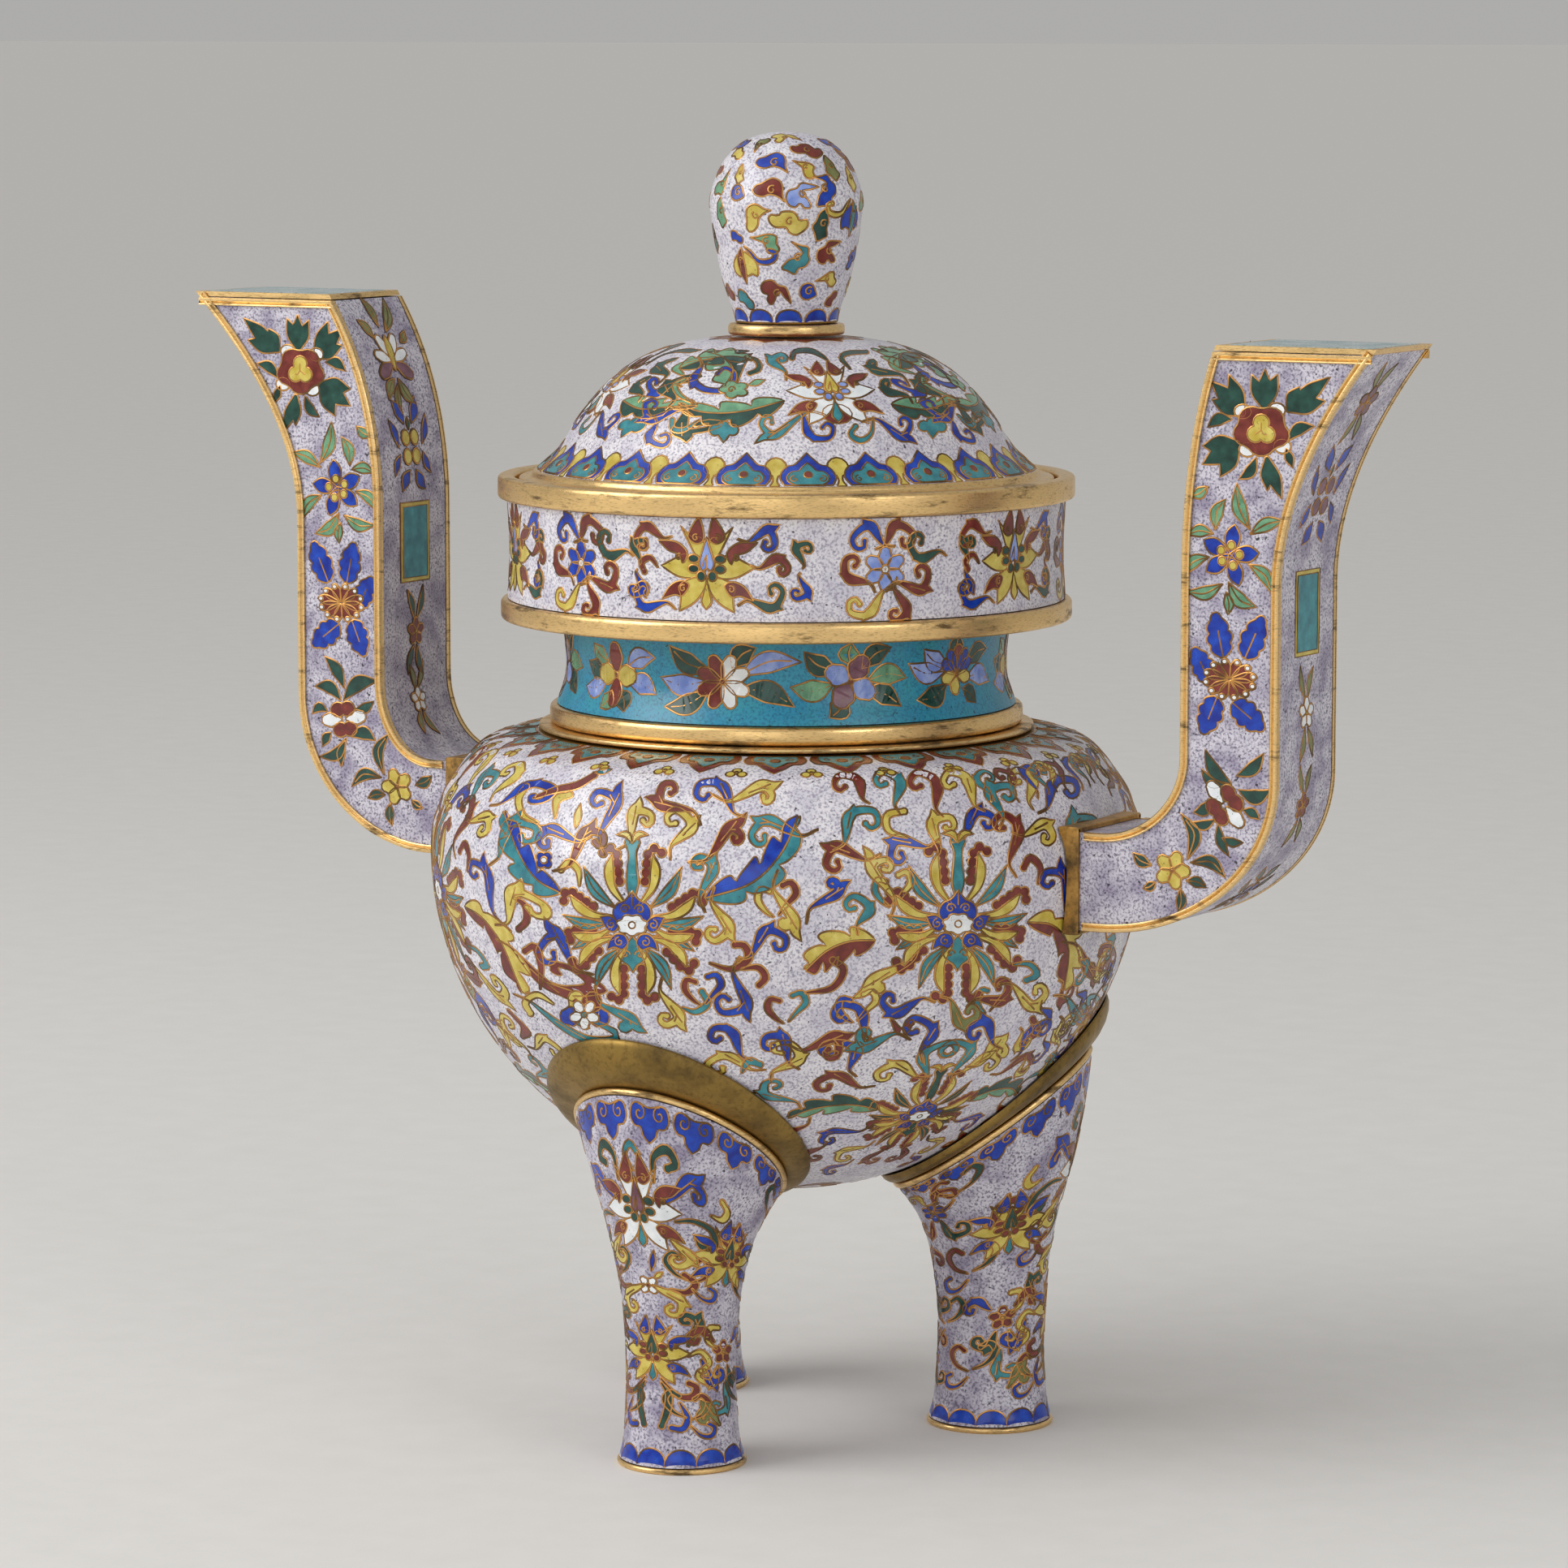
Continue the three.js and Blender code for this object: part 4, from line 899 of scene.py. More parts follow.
paintSet = {"fillStep": 2.2, "fineStep": 1.6, "smallStep": 1.3, "strokeStep": 0.9, "leastStep": 0.4,
            "sunk": 0.1, "jitter": 0.008, "jitterSteps": 5, "mostSine": 0.96, "legHeight": 122,
            "innerSunk": 0.02, "seenSteps": 12, "sharp": 80}


def stroke(points, halves):
    # A band along a spline, as quads between its cross lines; half widths are given at the points and are
    # held under the bend's radius, and an end that has a width gets a round cap
    path = curved(points, 8)
    run = runOf(path)
    at = np.linspace(0, run[-1], max(5, int(run[-1] / paintSet["strokeStep"]) + 1))
    centre = np.stack([np.interp(at, run, k) for k in path.T], 1)
    half = np.interp(at, run, np.maximum(curved(halves, 8), 0.02))
    heading = np.gradient(centre, axis=0)
    turning = np.abs(np.gradient(np.unwrap(np.arctan2(heading[:, 1], heading[:, 0])))) / np.gradient(at)
    half = np.minimum(half, 0.9 / np.maximum(turning, 1e-6))
    side = sideways(centre) * half[:, None]
    count = len(at)
    corners = [centre + side, centre - side]
    faces = [[i, i + count, i + count + 1, i + 1] for i in range(count - 1)]
    size = 2 * count
    for row, way in ((0, -1), (count - 1, 1)):
        if half[row] > 0.15:
            a = np.radians([-54, -18, 18, 54])
            ahead = np.array([side[row, 1], -side[row, 0]]) * way
            cap = centre[row] + np.outer(np.cos(a), ahead) + np.outer(np.sin(a), side[row] * way)
            ends = [row + count, row] if way > 0 else [row, row + count]
            faces.append([ends[0], *range(size, size + 4), ends[1]])
            corners.append(cap)
            size += 4
    return np.concatenate(corners), faces


def blob(points):
    # A closed spline; a point given twice makes a corner
    p = np.asarray(points, float)
    path = curved(np.concatenate([p[-1:], p, p[:2]]), 4)[4:-5]
    return path, [list(range(len(path)))]


def mirrored(half):
    # An outline's half, then its points back to the start on the other side of the axis
    return half + [(-x, y) for x, y in half[::-1] if x]


def lobed(x, y, wide, high, lobes=0, depth=0.0, turn=0.0):
    # An ellipse whose radius dips by depth between its lobes
    a = np.linspace(0, 2 * np.pi, max(12, lobes * 6), endpoint=False)
    r = 1 - depth * (1 - np.abs(np.sin(lobes * (a - turn) / 2))) if lobes else 1
    return np.stack([x + wide * r * np.cos(a), y + high * r * np.sin(a)], 1), [list(range(len(a)))]


def spiral(x, y, radius, turns=1.25, start=0.0, hand=1):
    # A wire that winds in from the radius to a fifth of it
    t = np.linspace(0, 1, int(turns * 10) + 2)
    a = math.radians(start) + hand * 2 * np.pi * turns * t
    return np.stack([x + radius * (1 - 0.8 * t) * np.cos(a), y + radius * (1 - 0.8 * t) * np.sin(a)], 1)


def fused(shapes, spacing):
    # The triangles that lie in any of the shapes, with inner points on a grid of hexagons so that wide cells
    # follow the curved metal, and the loops of edges that only one triangle uses
    points, faces, base = [], [], 0
    for corners, polygons in shapes:
        for polygon in polygons:
            x, y = corners[polygon].T
            area = np.sum(x * np.roll(y, -1) - y * np.roll(x, -1))
            faces.append([i + base for i in (polygon if area > 0 else polygon[::-1])])
        points.append(corners)
        base += len(corners)
    points = np.concatenate(points)
    low, high = points.min(0), points.max(0)
    rows = np.arange(low[1] + spacing / 2, high[1], spacing * 0.87)
    for k, y in enumerate(rows):
        x = np.arange(low[0] + spacing * (0.5 if k % 2 else 1), high[0], spacing)
        points = np.concatenate([points, np.stack([x, np.full(len(x), y)], 1)])
    found = delaunay_2d_cdt([Vector(p) for p in points], [], faces, 1, 1e-4)
    corners = np.array([tuple(p) for p in found[0]])
    tris = np.array([t for t, owners in zip(found[2], found[5]) if owners and len(t) == 3])
    edges = np.concatenate([tris[:, [0, 1]], tris[:, [1, 2]], tris[:, [2, 0]]])
    taken = set(map(tuple, edges.tolist()))
    following = {}
    for a, b in edges.tolist():
        if (b, a) not in taken:
            following.setdefault(a, []).append(b)
    loops = []
    while following:
        start = next(iter(following))
        loop, here = [start], start
        while here in following:
            after = following[here].pop()
            if not following[here]:
                del following[here]
            if after == start:
                break
            loop.append(after)
            here = after
        if len(loop) > 3:
            loops.append(corners[loop])
    return corners, tris, loops


def evened(path, closed):
    # Points nearer than the least step are passed over, so that no wire has slivers
    step = paintSet["leastStep"]
    keep = [0]
    for i in range(1, len(path)):
        if np.linalg.norm(path[i] - path[keep[-1]]) > step:
            keep.append(i)
    if closed and len(keep) > 3 and np.linalg.norm(path[keep[-1]] - path[0]) < step:
        keep.pop()
    return path[keep]


def drawing(part, spacing=paintSet["fillStep"]):
    # Cells are (colour, level, shapes), wires (level, path): gives arrays ready to be laid on a surface; a
    # cell rises by its level, and a little by its place in the list, so that no two lie in one another
    cells, wires = part
    fill = {"xy": [], "rise": [], "tris": [], "colour": []}
    wire = {"xy": [], "rise": [], "foot": [], "before": [], "after": [], "bars": []}
    sizes = [0, 0]

    def addWire(path, rise, foot, closed):
        # A path as a row of bars; each point knows the ones before and after it, which give its direction
        n = len(path)
        if n < 3:
            return
        row = np.arange(n)
        wire["xy"].append(path)
        wire["rise"].append(np.full(n, rise))
        wire["foot"].append(np.full(n, foot))
        before = row - 1 if closed else np.maximum(row - 1, 0)
        after = (row + 1) % n if closed else np.minimum(row + 1, n - 1)
        wire["before"].append(before % n + sizes[1])
        wire["after"].append(after + sizes[1])
        bars = np.stack([row, (row + 1) % n], 1)
        wire["bars"].append((bars if closed else bars[:-1]) + sizes[1])
        sizes[1] += n
    for k, (colour, level, shapes) in enumerate(cells):
        rise = cellRise + level * levelRise + (k % paintSet["jitterSteps"]) * paintSet["jitter"]
        corners, tris, loops = fused(shapes, spacing)
        fill["xy"].append(corners)
        fill["rise"].append(np.full(len(corners), rise))
        fill["tris"].append(tris + sizes[0])
        fill["colour"].append(np.full(len(tris), enamelNames.index(colour)))
        sizes[0] += len(corners)
        for loop in loops:
            addWire(evened(loop, True), rise, -paintSet["sunk"], True)
    for level, path in wires:
        rise = cellRise + level * levelRise
        addWire(evened(np.asarray(path, float), False), rise, rise - paintSet["sunk"], False)
    return ({k: np.concatenate(v) for k, v in fill.items()} if sizes[0] else None,
            {k: np.concatenate(v) for k, v in wire.items()})


def fine(part):
    # For small motifs: inner points 1.6 mm apart
    return drawing(part, paintSet["fineStep"])


def small(part):
    # For the finial's clouds: inner points 1.3 mm apart
    return drawing(part, paintSet["smallStep"])


class Layer:
    # Enamel cells and wires that one body carries, gathered until they are made into two pieces
    def __init__(self, name, body):
        # cells: points, triangles and colours; wires: points, quads and how far across the wire
        self.name, self.body = name, body
        self.cells, self.wires = ([], [], []), ([], [], [])
        self.sizes = [0, 0]

    def lay(self, drawn, chart, x=0.0, y=0.0, turn=0.0, size=1.0, flip=False):
        # The drawing is mirrored, scaled, turned and moved, and the chart carries it onto the metal
        fill, wire = drawn
        a = math.radians(turn)
        mirror = -1 if flip else 1
        spin = np.array([[math.cos(a), math.sin(a)], [-math.sin(a), math.cos(a)]])

        def carried(xy):
            # The drawing's points, placed in the chart and carried onto the metal
            moved = (np.asarray(xy) * [mirror * size, size]) @ spin + [x, y]
            return chart(moved[:, 0], moved[:, 1])
        # the hand is -1 where the chart and the flip together show the drawing mirrored
        place, normal = carried([(0, 0), (0.1, 0), (0, 0.1)])
        hand = np.sign(np.cross(place[1] - place[0], place[2] - place[0]) @ normal[0])
        if fill:
            place, normal = carried(fill["xy"])
            tris = fill["tris"]
            a, b, c = (place[tris[:, k]] for k in range(3))
            away = np.sum(np.cross(b - a, c - a) * normal[tris[:, 0]], 1) < 0
            self.cells[0].append(place + normal * fill["rise"][:, None])
            self.cells[1].append(np.where(away[:, None], tris[:, ::-1], tris) + self.sizes[0])
            self.cells[2].append(fill["colour"])
            self.sizes[0] += len(place)
        place, normal = carried(wire["xy"])
        ahead = place[wire["after"]] - place[wire["before"]]
        side = np.cross(normal, ahead) * hand
        side = side / np.maximum(np.linalg.norm(side, axis=1, keepdims=True), 1e-9) * wireWidth / 2
        crest = place + normal * (wire["rise"] + wireRise)[:, None]
        inner = place + side + normal * (wire["rise"] - paintSet["innerSunk"])[:, None]
        outer = place - side + normal * wire["foot"][:, None]
        n = len(place)
        first, second = wire["bars"].T
        quads = np.concatenate([np.stack([first, second, second + n, first + n], 1),
                                np.stack([first + n, second + n, second + 2 * n, first + 2 * n], 1)])
        self.wires[0].append(np.concatenate([outer, crest, inner]))
        self.wires[1].append((quads if hand > 0 else quads[:, ::-1]) + self.sizes[1])
        self.wires[2].append(np.repeat([-1.0, 0.0, 1.0], n))
        self.sizes[1] += 3 * n

    def finish(self):
        # All cells as one piece in their enamels, all wires as another
        points, tris, colours = (np.concatenate(k) for k in self.cells)
        used = np.unique(colours)
        makePiece(self.name + "_enamel_cells", points, tris, [enamel[enamelNames[k]] for k in used],
                  self.body, "enamelled_copper", (), np.searchsorted(used, colours), paintSet["sharp"])
        points, quads, across = (np.concatenate(k) for k in self.wires)
        wires = makePiece(self.name + "_wires", points, quads, [wireGilt], self.body, "gilt_copper",
                          sharp=paintSet["sharp"])
        mark = wires.data.attributes.new("across", "FLOAT", "POINT")
        mark.data.foreach_set("value", across.astype(np.float32))
        print(self.name, len(tris), "cell triangles,", len(quads), "wire quads")


# Charts carry drawn points onto the metal and give its normals

def nearestRun(path, height):
    # How far along the path its point nearest to the height lies
    return runOf(path)[np.argmin(abs(path[:, 1] - height))]


def runAt(path, height):
    # How far along it the path reaches the height
    return np.interp(height, path[:, 1], runOf(path))


def profileAt(path, at, run):
    # Radius, height and outward normal at a length along a profile
    radius, height = (np.interp(at, run, k) for k in path.T)
    out = -sideways(path)
    return radius, height, *(np.interp(at, run, k) for k in out.T)


def roundPoint(radius, height, outR, outZ, angle):
    # A place and its unit normal on a turned surface: (r sin a, -r cos a, z)
    s, c = np.sin(angle), -np.cos(angle)
    size = np.hypot(outR, outZ)
    return (np.stack([radius * s, radius * c, height], -1),
            np.stack([outR / size * s, outR / size * c, outZ / size], -1))


def turnedChart(path, angle, start, fromTop=False):
    # y runs along the profile from a start below or, from the top, back from its end; x runs round at the
    # radius that the profile has at the start
    run = runOf(path)
    base = run[-1] - start if fromTop else start
    radius0 = np.interp(base, run, path[:, 0])

    def chart(x, y):
        return roundPoint(*profileAt(path, base + y, run), math.radians(angle) + x / radius0)
    return chart


def seenChart(path, angle, height, lean):
    # The drawing is as seen from the front, on a sheet square to the sight; the point under it is found by
    # stepping between its height, which the dip of the sight shifts, and its angle
    run = runOf(path)
    dip = math.radians(cameraSet["pitch"])
    at0 = np.interp(height, path[:, 1], run)
    radius0, height0 = profileAt(path, at0, run)[:2]
    lean0 = math.radians(lean)

    def chart(x, y):
        across = radius0 * math.sin(lean0) + x
        level = height0 * math.cos(dip) - radius0 * math.cos(lean0) * math.sin(dip) + y
        depth = np.full(len(x), radius0 * math.cos(lean0))
        for step in range(paintSet["seenSteps"]):
            z = (level + depth * math.sin(dip)) / math.cos(dip)
            at = np.interp(z, path[:, 1], run)
            radius = profileAt(path, at, run)[0]
            turn = np.arcsin(np.clip(across / np.maximum(radius, 1), -paintSet["mostSine"],
                                     paintSet["mostSine"]))
            depth = 0.5 * depth + 0.5 * radius * np.cos(turn)
        return roundPoint(*profileAt(path, at, run), math.radians(angle) + turn - lean0)
    return chart


def legChart(name, angle, share):
    # x runs round the leg at its own width there, y up it, legHeight for the whole leg
    def chart(x, y):
        height = share + y / paintSet["legHeight"]
        columns = curved(legShares, 10)
        flare = np.interp(height, columns[:, 0], columns[:, 1])
        radius = legSet["ankle"] + flare * (legSet["wide"] - legSet["ankle"])
        turn = math.radians(angle) + x / radius
        step = 1e-3
        place = legSurface(height, turn, skinInset)
        over = legSurface(height, turn + step, skinInset) - place
        upwards = legSurface(height + step, turn, skinInset) - place
        normal = np.cross(over, upwards)
        normal = normal / np.linalg.norm(normal, axis=1, keepdims=True)
        return turnedTo(place, legTurns[name]), turnedTo(normal, legTurns[name])
    return chart


def plateChart(side, front):
    # x and y are the handle's own X and Z; the face is flat
    sign = -side if front else side

    def chart(x, y):
        normal = np.zeros((len(x), 3))
        normal[:, 1] = sign * side
        return toHandle(x, np.full(len(x), sign * handleSet["face"]), y, side), normal
    return chart


def stripChart(side, outer, start):
    # x runs across the strip, y along it from its start
    path = handleEdge(side, outer)
    path = path + sideways(path) * handleSet["stripSkin"][0 if outer else 1]
    run = runOf(path)
    out = sideways(path) * (-1 if outer else 1)

    def chart(x, y):
        at = start + y
        place = toHandle(np.interp(at, run, path[:, 0]), x, np.interp(at, run, path[:, 1]), side)
        n = [np.interp(at, run, k) for k in out.T]
        return place, np.stack([side * n[0], np.zeros(len(x)), n[1]], -1)
    return chart


# Motifs that every region shares

def forkCurl(colour, rootX, rootY, tipX, tipY, hookX, hookY, half, tailShare):
    # A scroll that swells to a fork, one arm running to a tip, the other curling round to a bulb
    root, tip, hook = (np.array(p, float) for p in ((rootX, rootY), (tipX, tipY), (hookX, hookY)))
    spine = tip - root
    length = np.linalg.norm(spine)
    across = np.array([-spine[1], spine[0]]) / length
    across = across * np.sign(across @ (hook - root) or 1)
    fork = root + 0.56 * spine - 0.09 * length * across
    half = min(1.18 * half, 0.17 * length + 0.5)
    reach = hook - fork
    over = np.array([-reach[1], reach[0]])
    over = over * np.sign(over @ spine or 1)
    tail = root - tailShare * (spine + 0.9 * length * across)
    main = stroke([tail, root - 0.12 * spine - 0.07 * length * across,
                   root + 0.2 * spine - 0.06 * length * across, fork,
                   fork + 0.5 * (tip - fork) + 0.05 * length * across, tip],
                  [0.3, 0.4, 0.62 * half, 0.95 * half, 0.75 * half, 0.02])
    first = fork + 0.3 * reach + 0.34 * over
    arm = stroke([fork - 0.18 * (fork - root), fork + 0.06 * reach + 0.14 * over, first,
                  fork + 0.8 * reach + 0.4 * over, hook + 0.06 * over, hook - 0.2 * reach - 0.16 * over,
                  hook - 0.42 * reach - 0.02 * over],
                 [half * w for w in (0.3, 0.72, 0.68, 0.56, 0.5, 0.44, 0.36)])
    bulb = lobed(*(hook - 0.4 * reach - 0.04 * over), 0.52 * half, 0.52 * half)
    vein = curved([fork + 0.45 * (tip - fork), fork + 0.04 * length * across,
                   root + 0.3 * spine - 0.06 * length * across], 4)
    second = curved([first, fork + 0.1 * reach + 0.06 * over, fork + 0.04 * length * across], 3)
    return [(colour, 0, [main, arm, bulb])], [(0, vein), (0, second)][:int(length > 10) + int(length > 13)]


def cell(colour, level, *shapes):
    # One cell that has no wires but its rim
    return [(colour, level, list(shapes))], []


def scroll(colour, points, half):
    # A plain comma-shaped scroll with a round head
    halves = np.interp(np.linspace(0, 1, len(points)), [0, 0.5, 1], [0.3 * half, half, 0.7 * half])
    return cell(colour, 0, stroke(points, halves), lobed(*points[-1], 0.85 * half, 0.85 * half))


def leaf(colour, root, tip, half, bow=0.0, level=0, vein=False):
    # A lens between root and tip, bowed sideways by a share of its length
    root, tip = np.array(root, float), np.array(tip, float)
    across = np.array([-(tip - root)[1], (tip - root)[0]])
    middle = (root + tip) / 2 + bow * across
    line = curved([root, middle, root + 0.85 * (tip - root) + 0.4 * bow * across], 4)
    cells = [(colour, level, [stroke([root, middle, tip], [0.1, half, 0.02])])]
    return cells, [(level, line)] if vein else []


def petal(colour, root, tip, half, level=0, pointed=False):
    # Narrow at the root, widest near the end, which is round or pointed
    root, tip = np.array(root, float), np.array(tip, float)
    share = [0, 0.3, 0.62, 0.84, 1] if pointed else [0, 0.3, 0.55, 0.78]
    widths = [0.25, 0.8, 1, 0.62, 0.02] if pointed else [0.3, 0.8, 1.05, 0.85]
    return cell(colour, level, stroke([root + s * (tip - root) for s in share], [half * w for w in widths]))


def beadedPetal(root, tip, way):
    # A bent crescent over a fringe of round scallops along the side that way gives, curled over at its end
    root, tip = np.array(root, float), np.array(tip, float)
    spine = tip - root
    across = way * np.array([-spine[1], spine[0]])
    crescent = stroke([root, root + 0.35 * spine - 0.13 * across, root + 0.66 * spine - 0.1 * across,
                       root + 0.9 * spine + 0.02 * across], [0.4, 1.15, 1.5, 0.3])
    path = along(curved([root + 0.42 * spine + 0.02 * across, root + 0.66 * spine + 0.06 * across,
                         root + 0.9 * spine + 0.1 * across, tip + 0.02 * spine + 0.02 * across,
                         tip - 0.02 * spine - 0.12 * across], 4), max(5, int(np.linalg.norm(spine) / 2.6)))
    beads = [lobed(*p, 1.5, 1.5) for p in path]
    band = stroke(path, [0.7] * len(path))
    return [("red", 0, [*beads, band]), ("yellow", 1, [crescent])], []


def acanthus(vein, half, upper, lower, lobes=4):
    # Two halves along a vein, each with a margin of forward-leaning lobes
    path = along(curved(vein, 8), 48)
    side = sideways(path)
    t = np.linspace(0, 1, 48)
    ahead = np.stack([side[:, 1], -side[:, 0]], 1)
    cells = []
    for colour, way, share in ((upper, 1, 1.0), (lower, -1, 0.85)):
        wave = np.abs(np.sin(lobes * np.pi * t * (0.92 + 0.08 * way)))
        reach = half * share * np.sin(np.pi * t ** 0.75) ** 0.7 * (0.3 + 0.7 * wave ** 0.6)
        forward = 0.7 * half * wave * np.sin(np.pi * t)
        margin = path + way * side * reach[:, None] + ahead * forward[:, None]
        outline = np.concatenate([path[::3], margin[::-1][1:-1]])
        cells.append((colour, 0, [(outline, [list(range(len(outline)))])]))
    return cells, [(0, path[::2])]


def joined(*parts):
    # Several parts as one
    cells, wires = [], []
    for part in parts:
        cells += part[0]
        wires += part[1]
    return cells, wires


def moved(part, x=0.0, y=0.0, turn=0.0, size=1.0, flip=False, lift=0):
    # A part mirrored, scaled, turned and moved inside a drawing
    a = math.radians(turn)
    spin = np.array([[math.cos(a), math.sin(a)], [-math.sin(a), math.cos(a)]])
    mirror = np.array([-size if flip else size, size])

    def carried(points):
        # Mirrored and scaled, then turned, then moved
        return (np.asarray(points) * mirror) @ spin + [x, y]
    return ([(c, k + lift, [(carried(p), f) for p, f in shapes]) for c, k, shapes in part[0]],
            [(k + lift, carried(p)) for k, p in part[1]])


# Belly drawings

heartPoints = mirrored([(0, 10.6), (0, 10.6), (-2, 7.9), (-4.6, 6.6), (-5.9, 4), (-4.7, 1.4), (0, 1.6)])
sidePoints = [(-9.8, 2.6), (-9.8, 2.6), (-7.2, 3), (-4.9, 1.7), (-4.2, -0.4), (-5.8, -2), (-7.9, -1)]
lowerPoints = [(-7.9, -7.6), (-7.9, -7.6), (-7, -4.6), (-5, -2.6), (-2.4, -2.9), (-1.3, -5.3), (-3, -7.3),
               (-5.4, -6.6)]
conePoints = mirrored([(0, -3.2), (0, -3.2), (-2, -5.4), (-4.2, -7), (-4.3, -9.6), (-2.6, -11.4),
                       (-1.4, -12.2), (0, -14.4), (0, -14.4)])


def polar(degrees, reach):
    # From up, towards the left
    a = math.radians(degrees)
    return np.array([-math.sin(a), math.cos(a)]) * reach


def mainFlower(slim="turquoise"):
    # Fringed crescents and slim leaves in a wheel, a heart and four claws round a lobed centre, a cone below
    parts = []
    for degrees, reach, way in ((17, 24, -1), (66, 22.6, -1), (99, 20, -1), (126, 22, 1), (168, 23, 1)):
        parts.append(beadedPetal(polar(degrees * 0.96 + 3, 6.6), polar(degrees, reach), way))
    for degrees, reach, bow in ((40, 23.6, 0.1), (82, 22, 0.1), (112, 20.5, -0.08), (149, 23, -0.1)):
        parts.append(leaf(slim, polar(degrees + 4, 7), polar(degrees, reach), 1.85, bow, 0, True))
    for points, x, y in ((sidePoints, -6.4, 0.4), (lowerPoints, -4, -4.9)):
        parts.append(([("cobalt", 2, [blob(points)])], [(2, spiral(x, y, 1.5, 1.2, 90))]))
    parts += [moved(p, flip=True) for p in parts]
    stem = stroke([(0, 10), (0, 13), (0, 18), (0, 22), (0, 25)], [1.3, 1.9, 1.5, 1.3, 2.4])
    parts.append(([(slim, 1, [stem]), (slim, 1, [blob(conePoints)]), ("cobalt", 2, [blob(heartPoints)]),
                   ("white", 3, [lobed(0, 0.2, 4.9, 3.4, 7, 0.2, 1.57)])],
                  [(2, spiral(-2.3, 5, 1.6, 1.3, 0)), (2, spiral(2.3, 5, 1.6, 1.3, 180, -1)),
                   (2, [(0, 10.4), (0, 8), (0, 6)]),
                   (1, spiral(-2.1, -8.8, 1.4, 1.1, 0)), (1, spiral(2.1, -8.8, 1.4, 1.1, 180, -1)),
                   (3, lobed(0, 0.2, 1.1, 1.1)[0][[*range(12), 0]])]))
    parts.append(leaf("yellow", (0, 24.6), (-5, 27.4), 1, -0.3, 2))
    parts.append(leaf("yellow", (0, 24.6), (5, 27.4), 1, 0.3, 2))
    return joined(*parts)


def blossom(colours, centre, reach=3.4, half=1.7, turn=0.0, heart=1.1, level=0):
    # Round petals about a centre
    step = 360 / len(colours)
    parts = [petal(c, polar(turn + k * step, 0.4), polar(turn + k * step, reach), half, level)
             for k, c in enumerate(colours)]
    return joined(*parts, cell(centre, level + 1, lobed(0, 0, heart, heart)))


def plumBlossom():
    # Five white petals over four coloured ones
    back = [("yellow", 28), ("red", -32), ("cobalt", 100), ("cobalt", -100)]
    parts = [petal(c, polar(a, 1), polar(a, 6.6), 3.1) for c, a in back]
    return joined(*parts, moved(blossom(["white"] * 5, "turquoise", 4.4, 1.6, 36), lift=1))


forksA = [
    ("cobalt", -10.5, 28.8, -3.1, 44, -12.7, 37.5), ("red", -18, 18.9, -11.2, 32.6, -9, 24.5),
    ("cobalt", -18, 25.1, -29.5, 30.1, -27.6, 23.3), ("yellow", 0, 26.5, 2.2, 39.1, 5.4, 30.7),
    ("red", 17.1, 35.7, 3.4, 38.8, 12.6, 42.5), ("cobalt", 29.5, 35, 25.1, 45.3, 19.5, 38.8),
    ("yellow", 31, 37.3, 45.6, 43.7, 40.6, 37.2), ("yellow", 12.1, 25.4, 20.8, 33.5, 10.2, 32.6),
    ("red", 24.5, 20.8, 34.7, 34.4, 31.9, 25.1), ("turquoise", 20.2, 10.2, 25.7, 22.6, 18.3, 18.9),
    ("turquoise", 49.3, 27, 35.3, 33.2, 38.1, 24.5), ("yellow", 24, 5.9, 31.3, -5, 22.5, -2.4),
    ("yellow", 42.5, 9.5, 51.2, -4.7, 44.6, 1), ("cobalt", 36.9, -8.4, 43, 2, 45.5, -7),
    ("cobalt", 30.1, -15.6, 35.7, -29.5, 25.4, -22.5), ("yellow", 8.4, -21.5, 16.4, -32.5, 8.1, -28.4),
    ("cobalt", -19.5, -12.5, -27.5, 2.5, -26.5, -12), ("turquoise", -9.4, -25.5, 4.3, -33, -4, -31.5),
    ("cobalt", 32, -39, 28.5, -29.7, 23.5, -34.4), ("cobalt", 46.5, -41, 44.3, -30.5, 39.7, -37),
]
scrollsA = [
    ("yellow", [(-29.5, 31), (-34, 33), (-35.8, 38), (-33.4, 42)]),
    ("yellow", [(-24, 32.5), (-23.5, 38), (-19.5, 39.5)]),
    ("red", [(-31, 38.5), (-24, 41), (-17.5, 42.4), (-12, 45.5)]),
    ("red", [(23.5, -11.3), (30, -13), (35, -10), (34, -6), (31, -5.6)]),
    ("red", [(33, -13), (38, -12.5), (40.2, -15.5), (38.3, -17.8)]),
    ("turquoise", [(15, -25), (19, -26.2), (22.7, -23.6), (21, -20)]),
    ("yellow", [(-16.3, 12), (-16.6, 16.5), (-19.4, 19), (-22, 16.8)]),
    ("red", [(-29, -20), (-28.6, -13), (-30.5, -7), (-33.6, -8.4)]),
    ("yellow", [(-25, -24.6), (-30, -22), (-34, -24.5), (-32.4, -28)]),
    ("turquoise", [(33, -45), (35, -41.5), (38.5, -42.5)]),
    ("red", [(-37, 8), (-33.5, 5.6), (-33, 1), (-35.5, -1.6)]),
]
